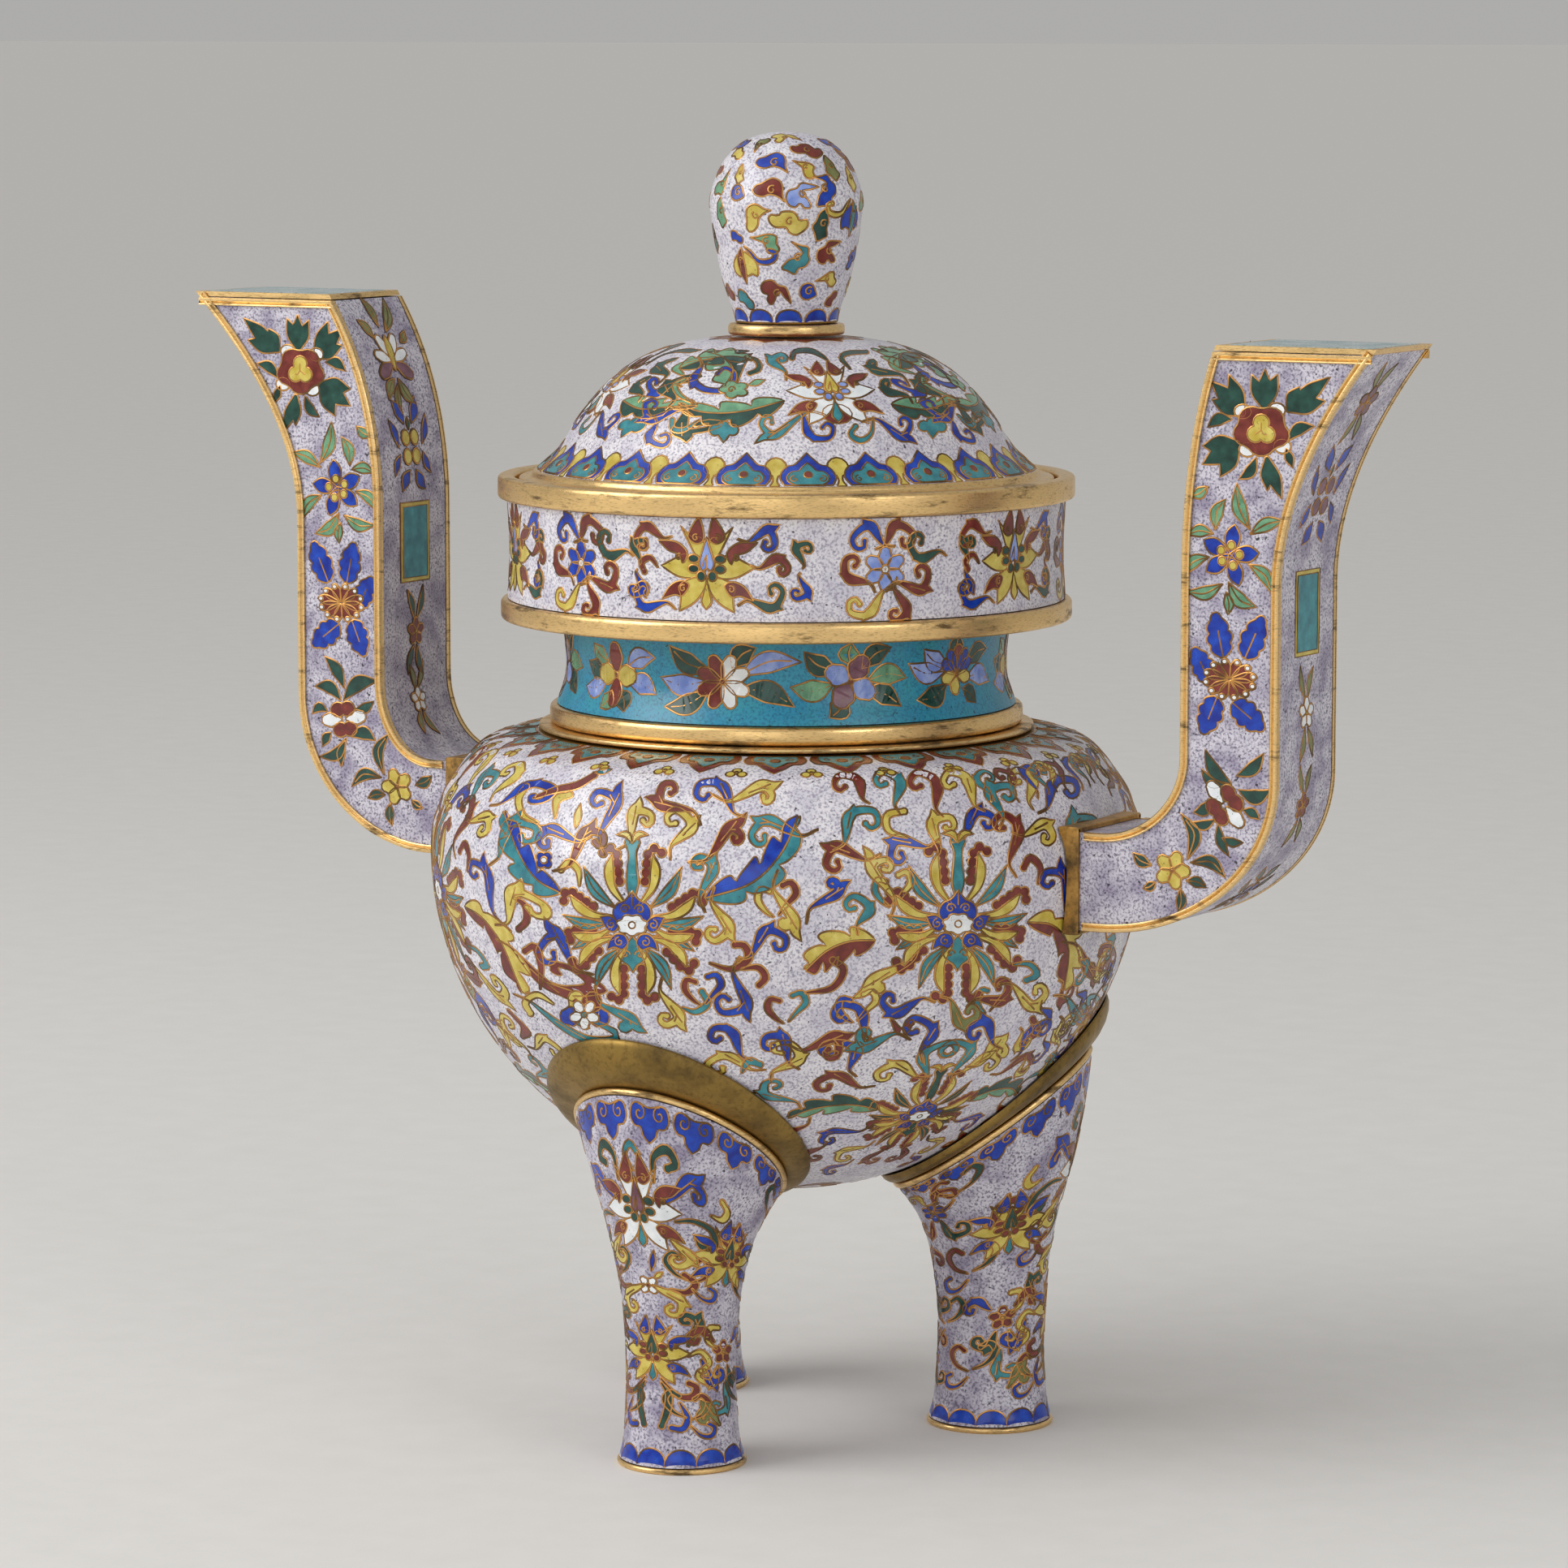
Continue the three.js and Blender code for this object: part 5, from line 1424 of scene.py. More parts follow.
forksB = [
    ("red", -29.3, 38.5, -30.8, 45.4, -37.3, 41.6), ("turquoise", -19.4, 37.3, -16.9, 46, -24.9, 43.4),
    ("red", -7.1, 36, -6.5, 45.4, -14.5, 42.8), ("yellow", 4.6, 36.7, 2, 46.4, -4.2, 42.8),
    ("turquoise", 14.2, 34, 8.7, 44.4, 17.6, 38.6), ("yellow", 22, 38, 24, 46, 16.6, 44.2),
    ("cobalt", -10.8, 23.1, -23.1, 25.9, -17.6, 18.8), ("yellow", -5.2, 23.5, -8, 35, -1, 29.5),
    ("cobalt", 2.6, 26.7, 7.7, 37, 10.5, 29.4), ("red", 15.4, 20, 19.5, 33.5, 11.3, 30.8),
    ("yellow", 21.4, 26.6, 30.6, 31.5, 27.8, 24.3), ("turquoise", -33.6, 25.6, -31.5, 36.5, -24.3, 30.2),
    ("red", -29.3, 19.4, -42, 24.7, -37.3, 16.3), ("yellow", -19.4, 9.5, -29, 24, -20.2, 17.3),
    ("cobalt", -44, 6.5, -32.3, 13.6, -39.2, 13.4), ("turquoise", -30.5, 0.9, -25.2, 7.4, -34.2, 6.3),
    ("yellow", -14.5, -12.4, -32.3, -22.5, -22.7, -19.4),
    ("cobalt", -12.2, -22.5, -22.9, -28.4, -21.3, -20.9), ("olive", -0.9, -24, 3.2, -33.7, 5.6, -25.4),
    ("red", 7, -22.5, 17.8, -23.4, 13.4, -17.2), ("yellow", 18.4, -19.2, 27.2, -28.8, 26.4, -19.4),
    ("cobalt", 33.4, 3.6, 32, 20.4, 26.2, 12), ("cobalt", -28.6, -32.7, -30, -24, -37.6, -28),
    ("turquoise", -20.6, -33, -34.5, -38.8, -27.4, -32), ("cobalt", 10.8, -36.6, 8, -27.2, 4.6, -35.4),
    ("yellow", 8.7, -43.5, 16.5, -34, 14.8, -41.4), ("cobalt", -11, -38, -5.5, -29.5, -15.6, -31.6),
    ("red", -45, -38.6, -31, -32.8, -39.4, -40.6), ("turquoise", 38, 22, 36, 36, 44, 28),
    ("yellow", 40, 2, 44, 16, 48, 6), ("red", 39, -8, 46, -20, 49, -8),
    ("cobalt", 29, 36, 31.6, 45.6, 38, 39.6), ("turquoise", 36, -24, 43, -34, 45, -24),
]
scrollsB = [
    ("yellow", [(-15.5, 26.4), (-21, 28.4), (-21.4, 33), (-16.3, 34.2)]),
    ("turquoise", [(17.4, -12.6), (22.6, -12.8), (25, -16), (21.6, -17.6)]),
    ("red", [(24.9, 12), (25.6, 17), (22.4, 20), (20.4, 17)]),
    ("red", [(-20, -29), (-17, -33), (-14, -30)]), ("red", [(20.4, -38), (25.4, -34), (24, -30)]),
    ("red", [(-46, -20.5), (-38, -19), (-34.6, -13.6), (-37.8, -10.6)]),
]
shoulderForks = [
    ("red", -7, 2, -2, 10.5, -10, 7.5), ("cobalt", 4, 1.5, 1.5, 10, 9.5, 7),
    ("yellow", 13, 3, 18.5, 9, 11.5, 9.5), ("turquoise", -16, 2, -19.5, 9, -11.5, 7.5),
]


def curls(forks, scrolls=(), half=1.6, tailShare=0.34):
    # Forked curls and plain scrolls of a table; half is the widest half width
    return joined(*[forkCurl(*f, half=half, tailShare=tailShare) for f in forks],
                  *[scroll(c, p, half * 0.8) for c, p in scrolls])


def unitA():
    # The belly's first unit: the main flower, acanthus each side, a plum blossom and curls
    right = acanthus([(22, 8.4), (36, 13), (45, 22), (50.5, 34)], 6.2, "cobalt", "turquoise")
    left = acanthus([(-22, 9.6), (-30, 14), (-36, 23), (-40.6, 35)], 5.4, "turquoise", "cobalt")
    bud = ([("cobalt", 0, [lobed(-27.3, 19.6, 2.9, 3, 4, 0.3)]),
            ("white", 1, [lobed(-27.3, 19.6, 1.1, 1.1)])], [])
    return joined(curls(forksA, scrollsA), right, left, bud, mainFlower(),
                  leaf("yellow", (-17.6, 29), (-16.2, 37), 1.2),
                  leaf("turquoise", (-12, 46), (-6.5, 47.4), 1), moved(plumBlossom(), -15.2, -27.6))


def unitB():
    # The belly's second unit: the main flower, red and yellow acanthus, curls
    left = acanthus([(-25, -4.6), (-33, -5), (-40, -8), (-46.5, -14)], 6.2, "red", "yellow")
    right = acanthus([(21.5, 0.3), (30, -1), (35, -8), (34, -22)], 5.4, "yellow", "red")
    return joined(curls(forksB, scrollsB), left, right, mainFlower())


def lowerUnit():
    # The space between two legs: a flower, green leaves each side, scrolls about them
    right = acanthus([(15, 5), (24, 8), (34, 7), (43, 2)], 5, "darkGreen", "lightGreen")
    forks = [("yellow", 8, 19, 17, 27, 17.5, 18.5), ("red", 24, 16, 33, 23.5, 33.5, 15),
             ("cobalt", 20, -7, 33, -6, 28, -13), ("turquoise", 3.5, 20, 8, 32, -2.4, 28.5),
             ("red", 37, -3, 47, -10, 38.4, -11.6), ("yellow", 14, -17, 25, -19.6, 18, -26),
             ("turquoise", 41, 11, 52, 15, 45, 19), ("yellow", 46, 24, 37, 30.6, 46, 33.4),
             ("cobalt", 27, 24.6, 25.6, 35, 34.4, 31), ("red", 30, -16, 38, -22, 29.6, -23.6),
             ("red", 4, -20, 11, -30, 2.4, -28), ("cobalt", 17, -30, 27, -34, 19.4, -38),
             ("darkGreen", 50, 2, 58, 8, 58, -1), ("yellow", 53, 24, 60.6, 31, 61.6, 22),
             ("red", 56, 13, 66, 18, 64, 9)]
    half = joined(curls(forks, half=1.5), right)
    return joined(half, moved(half, flip=True), moved(mainFlower(slim="darkGreen"), size=0.82),
                  blossom(["white", "red"] * 3, "yellow", 3, 1.4))


def bottomUnit():
    # A small blossom with three curls, for the belly's underside
    forks = [("red", 4, 8, 12, 14, 13, 6), ("cobalt", 9, -3, 19, 0, 15, -8),
             ("yellow", 0, -6, 4, -15, -5, -13)]
    return joined(curls(forks), blossom(["cobalt"] * 5, "yellow", 4.4, 2))


def lappet():
    # A hanging cloud head with a red rim, a turquoise field, a gold dot and two curls
    outline = np.array(mirrored([(-8.4, 0), (-8.4, 0), (-9, -4.6), (-7.6, -8.6), (-4.8, -9.4), (-3, -12.4),
                                 (0, -16), (0, -16)]))
    return ([("red", 0, [blob(outline)]), ("turquoise", 1, [blob(outline * [0.76, 0.74] + [0, -0.3])]),
             ("red", 2, [lobed(0, -5.6, 1.6, 1.6)])],
            [(1, spiral(-3.8, -4, 1.5, 1.1, 90)), (1, spiral(3.8, -4, 1.5, 1.1, 90, -1))])


def threeBalls():
    # Three balls round a smaller one
    balls = [cell("yellow", 0, lobed(x, y, 1.9, 1.9)) for x, y in ((0, 1.6), (-2.2, -1.3), (2.2, -1.3))]
    return joined(*balls, cell("olive", 1, lobed(0, -0.1, 0.8, 0.8)))


bellyArt = {
    # the row's height; degrees round and lean of its units
    "row": 176, "firstUnit": (5.5, -24.5), "secondUnits": ((57.5, 27.5), (-46.5, 27.5)),
    "gaps": ((46.5, 186, "yellow", "turquoise"), (28.5, 184, "red", "yellow"), (16.5, 157, "cobalt", "red"),
             (30, 150, "turquoise", "red"), (41.5, 151, "yellow", "cobalt"), (66, 152, "red", "turquoise")),
    "lowRow": 112, "underStart": 26, "underSize": 0.9, "lappets": 26, "lappetStart": 0.4,
    "ballStart": 15.6, "ballSize": 0.8, "forkStart": 29,
    "forkAngles": (76, 90, 104, 256, 270, 284),    # over the handles' roots
    # beside the handles' roots: degrees round from the front leg, height, size
    "roundCurls": ((107, 186, 1.02), (102, 152, 1.01)),
    "sideForks": ((104, 204, 1), (108, 166, 1), (90, 150, 1), (80, 148, 1), (96, 136, 1), (115, 198, 0.9),
                  (-66, 214, 0.9), (86, 136, 0.9), (110, 140, 0.9))}


def gapPair(first, second):
    # Two comma scrolls that part from one stem
    return joined(scroll(first, [(0.6, -4), (3.2, -0.6), (5.8, 2.6), (4.4, 5.8), (1.8, 5)], 1.2),
                  scroll(second, [(-0.9, -4.6), (-3.2, -3), (-5.6, 0.4), (-4.8, 3.8), (-2.2, 3.2)], 1.1))


def layBelly():
    # Flower units round the widest row, front and back; a low row between the legs; lappets under the mouth
    b = bellyArt
    path = bellyPath(-skinInset)
    first, second = drawing(unitA()), drawing(unitB())
    pairs = [(fine(gapPair(*colours)), angle, nearestRun(path, height))
             for angle, height, *colours in b["gaps"]]
    for side, word in ((0, "front"), (180, "back")):
        layer = Layer(f"belly_{word}", "bowl")
        layer.lay(first, seenChart(path, side + b["firstUnit"][0], b["row"], b["firstUnit"][1]))
        for angle, lean in b["secondUnits"]:
            layer.lay(second, seenChart(path, side + angle, b["row"], lean))
        for pair, angle, start in pairs:
            layer.lay(pair, turnedChart(path, side + angle, start))
        layer.finish()
    low = Layer("belly_low", "bowl")
    between, under = drawing(lowerUnit()), drawing(bottomUnit())
    for angle in (60, 180, 300):
        low.lay(between, turnedChart(path, angle, nearestRun(path, b["lowRow"])))
        for turn in (-30, 30):
            low.lay(under, turnedChart(path, angle + turn, b["underStart"]), size=b["underSize"])
    low.finish()
    top = Layer("belly_shoulder", "bowl")
    hanging, balls = drawing(lappet()), drawing(threeBalls())
    forks = drawing(curls(shoulderForks, half=1.3))
    turn = 360 / b["lappets"]
    for k in range(b["lappets"]):
        top.lay(hanging, turnedChart(path, k * turn, b["lappetStart"], True))
        top.lay(balls, turnedChart(path, (k + 0.5) * turn, b["ballStart"], True), size=b["ballSize"])
    for angle in b["forkAngles"]:
        top.lay(forks, turnedChart(path, angle, b["forkStart"], True))
    for motif, places in ((under, b["roundCurls"]), (forks, b["sideForks"])):
        for angle, height, size in places:
            for turn in (0, 180):
                chart = turnedChart(path, angle + turn, nearestRun(path, height))
                top.lay(motif, chart, turn=angle + height, size=size)
    top.finish()


layBelly()
print("belly ornament laid")


# Lotus of the legs, the collar and the cover

def lotus(body, flame, dots, bud, drop):
    # Six pointed petals, each with a spiralled flame on its upper side, a ring of dots, a bud and a drop
    petals = [([(-0.4, 1), (-3.4, 4), (-5.6, 8), (-8, 12.8), (-8, 12.8), (-4.4, 9.6), (-1.6, 9.4),
                (-0.2, 6)],
               [(-3.2, 7.6), (-5.6, 9.4), (-4.6, 12.2), (-2.1, 16), (-2.1, 16), (-0.9, 11.6), (-1, 8.6)],
               (-3.3, 9.4)),
              ([(-1, 1), (-6, 4.4), (-9, 3.6), (-14.4, 0.8), (-14.4, 0.8), (-9, -2.2), (-4, -2.6),
                (-1, -1)],
               [(-7.4, 1.6), (-8.6, 4.2), (-12, 5.4), (-15.2, 8.2), (-15.2, 8.2), (-9.4, 8), (-6, 5)],
               (-8.6, 3.6)),
              ([(-0.2, -2), (-5, -2.6), (-8.6, -5), (-8, -8), (-8.4, -12.4), (-8.4, -12.4), (-4, -10),
                (-1, -6.4)],
               [(-5.4, -4.6), (-7.4, -7.8), (-10, -7.6), (-14, -9), (-14, -9), (-11.4, -5), (-8, -3.4)],
               (-7.3, -5.6))]
    parts = []
    for outline, flameLine, (x, y) in petals:
        parts.append(([(body, 0, [blob(outline)]), (flame, 1, [blob(flameLine)])],
                      [(1, spiral(x, y, 1.1, 1.2, 60))]))
    parts.append(([(dots, 2, [lobed(-4, 3.2, 1.7, 1.25)]), (dots, 2, [lobed(-4, 0.2, 1.7, 1.25)]),
                   (dots, 2, [lobed(-1.7, -1.9, 1.35, 1.5)])], []))
    parts += [moved(p, flip=True) for p in parts]
    tall = blob(mirrored([(0, 9.6), (0, 9.6), (-1.5, 5), (-2.3, 1.6), (-1.2, -0.4), (0, 0.4)]))
    parts.append(([(bud, 3, [tall])], [(3, [(0, 0.2), (0, 2), (0, 4.4)]),
                                       (3, [(0, 4.4), (-0.9, 2.6), (-1.3, 1)])]))
    parts.append(cell(drop, 1, stroke([(0, -4.4), (0, -7), (0, -9.6), (0, -11.6)], [0.5, 1.1, 1.6, 0.1])))
    return joined(*parts)


legUpperForks = [
    ("cobalt", 11.6, 3.7, 23.7, 14, 20.6, 5), ("yellow", 9.8, -9.4, 17.7, -17.3, 8.4, -15.5),
    ("red", 34.6, -10, 34.4, 2, 27.6, -6.8),
]
legUpperScrolls = [
    ("darkGreen", [(6.5, 8.5), (7.4, 14.9), (12, 17.6), (14.4, 14.4), (11.6, 12.8)]),
    ("yellow", [(23.7, 2), (27.4, 1.3), (30, 4.4), (28.6, 7)]),
    ("darkGreen", [(11.8, -1.9), (17.7, -0.9), (23.2, -3), (23.7, -8.4), (19, -9.3), (18.2, -6.6)]),
    ("red", [(7.4, -26.3), (12.4, -27), (15.6, -23.3), (12.4, -20.5)]),
]
legLowerForks = [
    ("darkGreen", 11.6, 5.3, 17, 17.7, 9.8, 13.7), ("yellow", 2.3, 24.4, 13.8, 18.8, 6, 15.6),
    ("olive", 21.4, -26.3, 15.4, -16.4, 16.6, -25.4), ("cobalt", 17.4, -2, 22, -14, 24, -5.4),
]
legLowerScrolls = [
    ("yellow", [(11.6, -0.2), (16, 1.8), (19, -2.4), (16.2, -5.6)]),
    ("red", [(2.9, -9.4), (8, -15.2), (13, -15.6), (14.4, -12), (12, -10.6)]),
    ("darkGreen", [(3, -11), (5.4, -15), (5, -21), (3.2, -27)]),
    ("cobalt", [(9, -18), (11.4, -23.4), (10, -27.6), (6.6, -27.4)]),
    ("yellow", [(22, 3), (18.6, 6), (19.4, 11), (22.6, 11.4)]),
]
legFillers = [
    ("red", [(1, 1), (6, 3.6), (8.4, 8.8), (5.6, 12.4), (2.6, 10.6)]),
    ("darkGreen", [(-1, 2), (-6, 4.6), (-9.4, 9.8), (-7, 13.8), (-3.8, 12)]),
    ("cobalt", [(1, -2), (5, -6.4), (9.4, -7), (11, -3.2), (8.4, -1.2)]),
]
legSideForks = [
    ("darkGreen", 3, -6, 6, -15, 9, -7.4), ("yellow", -3, -6, -6, -15, -9, -7.4),
    ("cobalt", 5, 4, 11, 10, 11.6, 3), ("red", -5, 4, -11, 10, -11.6, 3),
    ("turquoise", 0, -14, 2, -26, -5, -21),
]
legInnerForks = [
    ("red", 3, 6, 6, 16, 11, 8), ("yellow", -3, 6, -6, 16, -11, 8), ("darkGreen", 3, -6, 6, -16, 11, -8),
    ("red", -3, -6, -6, -16, -11, -8),
]
legArt = {
    # shares of the leg's height; in brackets degrees from its front, share of its height, size
    "lotus": 0.765, "hooks": 0.76, "blossom": 0.555, "lower": 0.345, "lowerSize": 0.9,
    "sideLotus": (77, 0.66, 0.92), "sideFlower": (80, 0.36), "innerFlower": (38, 0.78),
    "backFlowers": ((0.5, 1), (0.22, 0.8)),
    "fillers": ((40, 0.57, 0.8), (38, 0.14, 0.8), (114, 0.52, 0.95), (114, 0.18, 0.9), (118, 0.84, 0.95),
                (150, 0.34, 0.9)),
    "heads": 14, "headShare": 0.99, "headSize": 1.12, "scallops": 12, "scallopShare": 0.004,
    "scallopWide": 9.6, "scallopHigh": 6.2, "tail": 0.1}


def cloudLappet():
    # A cobalt cloud head with two curls at its top
    rim = blob([(-5.2, -0.4), (-5.7, -2.8), (-4.4, -4.6), (-2.6, -4.9), (-1.8, -6.7), (0, -8.2), (0, -8.2),
                (1.8, -6.7), (2.6, -4.9), (4.4, -4.6), (5.7, -2.8), (5.2, -0.4), (3.4, 0.2), (0, -0.6),
                (-3.4, 0.2)])
    return ([("cobalt", 0, [rim])],
            [(0, spiral(-2.9, -1.9, 1.9, 1.15, 100, -1)), (0, spiral(2.9, -1.9, 1.9, 1.15, 80))])


def scallop(width, height):
    # A round lobe that stands on its straight side: half an ellipse, a little squared
    a = np.linspace(0, np.pi, 12)
    outline = np.stack([np.cos(a) * width / 2, np.sin(a) ** 0.8 * height], 1)
    return cell("cobalt", 0, (outline, [list(range(12))]))


def layLegs():
    # On each leg two lotuses one above the other, with scrolls; flowers at the sides and behind
    g = legArt
    white = fine(lotus("white", "red", "darkGreen", "plum", "turquoise"))
    yellow = fine(lotus("yellow", "cobalt", "red", "darkGreen", "turquoise"))
    upper = fine(curls(legUpperForks, legUpperScrolls, 1.7, g["tail"]))
    lower = fine(curls(legLowerForks, legLowerScrolls, 1.7, g["tail"]))
    hooks = fine(joined(scroll("turquoise", [(0, 11.6), (-2.6, 15.4), (-0.5, 18.4), (2.2, 16)], 1.1),
                        leaf("cobalt", (1.5, -20), (3.4, -11.6), 1.1)))
    bloom = fine(joined(blossom(["white"] * 4, "red", 3.2, 1.5, 45, 0.8),
                        leaf("yellow", (2.2, 2.6), (5.6, 5.6), 1)))
    redFlower = fine(joined(blossom(["red"] * 5, "olive", 4.2, 1.7),
                            curls(legSideForks, tailShare=g["tail"])))
    inner = fine(joined(blossom(["cobalt"] * 6, "white", 5.4, 1.9),
                        curls(legInnerForks, tailShare=g["tail"])))
    filler = fine(joined(*[scroll(c, p, 1.3) for c, p in legFillers]))
    head, foot = fine(cloudLappet()), fine(scallop(g["scallopWide"], g["scallopHigh"]))
    for name in legTurns:
        layer = Layer(f"{name}_leg", "bowl")

        def put(motif, angle, share, size=1.0, flip=False):
            # A motif at degrees from the leg's front and a share of its height
            layer.lay(motif, legChart(name, angle, share), size=size, flip=flip)
        put(white, 0, g["lotus"])
        put(hooks, 0, g["hooks"])
        put(bloom, 0, g["blossom"])
        put(yellow, 0, g["lower"], g["lowerSize"])
        for flip in (False, True):
            put(upper, 0, g["lotus"], 1, flip)
            put(lower, 0, g["lower"], 1, flip)
        for side in (-1, 1):
            flip = side < 0
            angle, share, size = g["sideLotus"]
            put(yellow, side * angle, share, size, flip)
            put(redFlower, side * g["sideFlower"][0], g["sideFlower"][1], 1, flip)
            put(inner, 180 + side * g["innerFlower"][0], g["innerFlower"][1], 1, flip)
            for angle, share, size in g["fillers"]:
                put(filler, side * angle, share, size, flip)
        for share, size in g["backFlowers"]:
            put(inner, 180, share, size)
        for k in range(g["heads"]):
            put(head, (k + 0.5) * 360 / g["heads"], g["headShare"], g["headSize"])
        for k in range(g["scallops"]):
            put(foot, k * 360 / g["scallops"], g["scallopShare"])
        layer.finish()


layLegs()
print("leg ornament laid")


# Neck section drawings

blossomForks = [
    ("cobalt", -1.4, 7, -6.9, 14.3, -7.8, 5.6), ("red", 0.6, 7, 4.1, 14.3, 7, 6),
    ("darkGreen", 15.6, 4.5, 8.2, 2.2, 9.4, 9.4), ("red", 4.6, -3.4, 14.5, -6.5, 10.4, 0.6),
    ("red", 2.7, -6.4, 7.4, -14, 1.2, -12.6), ("yellow", -1.6, -6.4, -6.6, -14, -10, -8.4),
    ("red", -5, -3, -13, -1, -8.4, 3.6),
]
lotusForks = [
    ("red", -14.5, 8.9, -21.4, 13.4, -20.8, 5.6), ("cobalt", -13.5, -9.6, -23, -11.9, -20.2, -4.6),
    ("cobalt", 13.6, 8.4, 21.6, 13.6, 17.6, 6), ("darkGreen", 13.4, -8.4, 22.6, -11.4, 20, -4),
    ("red", 16.6, 0.6, 23.4, 4.6, 22.6, -1.2),
]
lotusScrolls = [("red", [(-15.5, 0.3), (-18, 3), (-21, 1.4), (-20, -1.2)])]
collarFillers = [("darkGreen", 1, 3, -3, 10.6, 3.4, 7), ("cobalt", -1, -3, 3.4, -10.4, -3.4, -7.4)]


def collarBlossom(colour):
    # Six petals with curls about them
    return joined(curls(blossomForks, half=1.35), blossom([colour] * 6, "white", 5.8, 1.9, 0, 1.2))


def leafSpray(kind):
    # Four leaves and a flower of the neck: kind chooses its petals and its leaves
    green, blue, pale = "darkGreen", "paleBlue", "lightGreen"
    sets = {
        "fourPetal": ([("yellow", 90, 5.4, 2.4), ("yellow", -90, 5.4, 2.4), ("red", 0, 7, 2.1),
                       ("red", 180, 7, 2.1)],
                      [(pale, 42, 11), (blue, -62, 12.4), (blue, -112, 12), (green, 75, 10.6),
                       (pale, 160, 10.6), (green, -160, 11), (blue, 112, 12)]),
        "wheel": ([(("white" if k < 4 else "red"), -22 - 45 * k, 6.2, 1.6) for k in range(8)],
                  [(green, 50, 15), (blue, -70, 17), (blue, 88, 14), (green, 122, 14.6), (green, -115, 16),
                   (green, -35, 12)]),
        "clover": ([("plum", -30, 5.6, 2.5), ("paleBlue", 62, 5.4, 2.4), ("paleBlue", -120, 5.4, 2.4),
                    ("plum", 150, 5.6, 2.5)],
                   [(pale, 0, 11), (green, 48, 13), (green, -42, 12.6), (pale, 96, 12.4), (pale, -88, 12.4),
                    (green, 155, 11), (green, -125, 13)]),
        "tulip": ([("red", 0, 6.8, 1.7), ("cobalt", 28, 6.6, 1.4), ("cobalt", -28, 6.6, 1.4),
                   ("cobalt", 56, 6, 1.4), ("cobalt", -56, 6, 1.4),
                   ("yellow", 100, 4.6, 1.5), ("yellow", -100, 4.6, 1.5), ("yellow", 165, 4, 1.6)],
                  [(blue, 72, 14), (blue, -105, 13), (green, 0, 11.8), (green, 118, 13), (blue, 50, 12.6),
                   (green, -60, 12.6), (green, -150, 10)])}
    petals, leaves = sets[kind]
    parts = [leaf(c, polar(a, 4.4), polar(a, reach) * [1.3, 0.94], 2.9, 0.12, 0, True)
             for c, a, reach in leaves]
    parts += [petal(c, polar(a, 0.5), polar(a, reach * 1.2), half * 1.2, 1) for c, a, reach, half in petals]
    parts.append(cell("red", 2, lobed(0, 0, 0.8, 0.8)))
    return joined(*parts)


neckArt = {
    "lotusAngles": (-45, 14, 83, 142, 200, 257), "lotusSize": 1.04,
    "blossomAngles": (-16, 50, 112, 171, 228, 286), "blossomSize": 1.12,
    "fillerAngles": (33, 69, -1, -31, 97, 126, 156, 185, 214, 243, 272, 299), "fillerSize": 0.9,
    "sprays": 11, "firstSpray": -19, "spraySize": 1.18}


def layNeck():
    # Lotuses and blossoms by turns round the collar; sprays round the turquoise band
    n = neckArt
    collar = Layer("collar_band", "neck_section")
    path = collarPath()
    middle = runOf(path)[-1] / 2
    main = drawing(joined(lotus("yellow", "red", "darkGreen", "paleBlue", "yellow"),
                          curls(lotusForks, lotusScrolls, 1.35)))
    blossoms = [drawing(collarBlossom(c)) for c in ("cobalt", "paleBlue")]
    between = drawing(curls(collarFillers, half=1.35, tailShare=0.2))
    for angle in n["lotusAngles"]:
        collar.lay(main, turnedChart(path, angle, middle), size=n["lotusSize"])
    for k, angle in enumerate(n["blossomAngles"]):
        collar.lay(blossoms[k % 2], turnedChart(path, angle, middle), size=n["blossomSize"])
    for angle in n["fillerAngles"]:
        collar.lay(between, turnedChart(path, angle, middle), size=n["fillerSize"])
    collar.finish()
    neck = Layer("neck_band", "neck_section")
    path = neckPath()
    middle = runOf(path)[-1] / 2
    sprays = [drawing(leafSpray(k)) for k in ("fourPetal", "wheel", "clover", "tulip")]
    for k in range(n["sprays"]):
        angle = n["firstSpray"] + k * 360 / n["sprays"]
        neck.lay(sprays[k % len(sprays)], turnedChart(path, angle, middle), size=n["spraySize"])
    neck.finish()


layNeck()
print("neck ornament laid")


# Cover drawings

domeForks = [
    ("turquoise", -9.7, -6.5, -24, -16.5, -20.3, -7.8), ("cobalt", -8.5, -7.8, -6, -15.9, 0, -10.9),
    ("cobalt", -40.2, 8.4, -43.9, 1.2, -30.2, 6.5), ("turquoise", -14.7, 7.5, -20.9, 12.8, -14.2, 11),
    ("cobalt", -48.3, -4.7, -61, -8.7, -55.1, -1.6), ("cobalt", -50.1, 3.4, -57.6, -0.4, -55, 5.6),
    ("darkGreen", 22.4, 0.3, 14, 1.9, 16.8, 4.6), ("darkGreen", 33, 0.9, 23.6, 5, 29.6, 7.2),
    ("darkGreen", 20.5, 7.2, 9.3, 9, 12.4, 11), ("cobalt", 14.9, -8.4, 26.1, -15.9, 21.8, -7.5),
    ("darkGreen", 40.4, -3.4, 47, -12, 46, -4.6), ("cobalt", -54, -10, -57.3, -16, -50, -14),
]
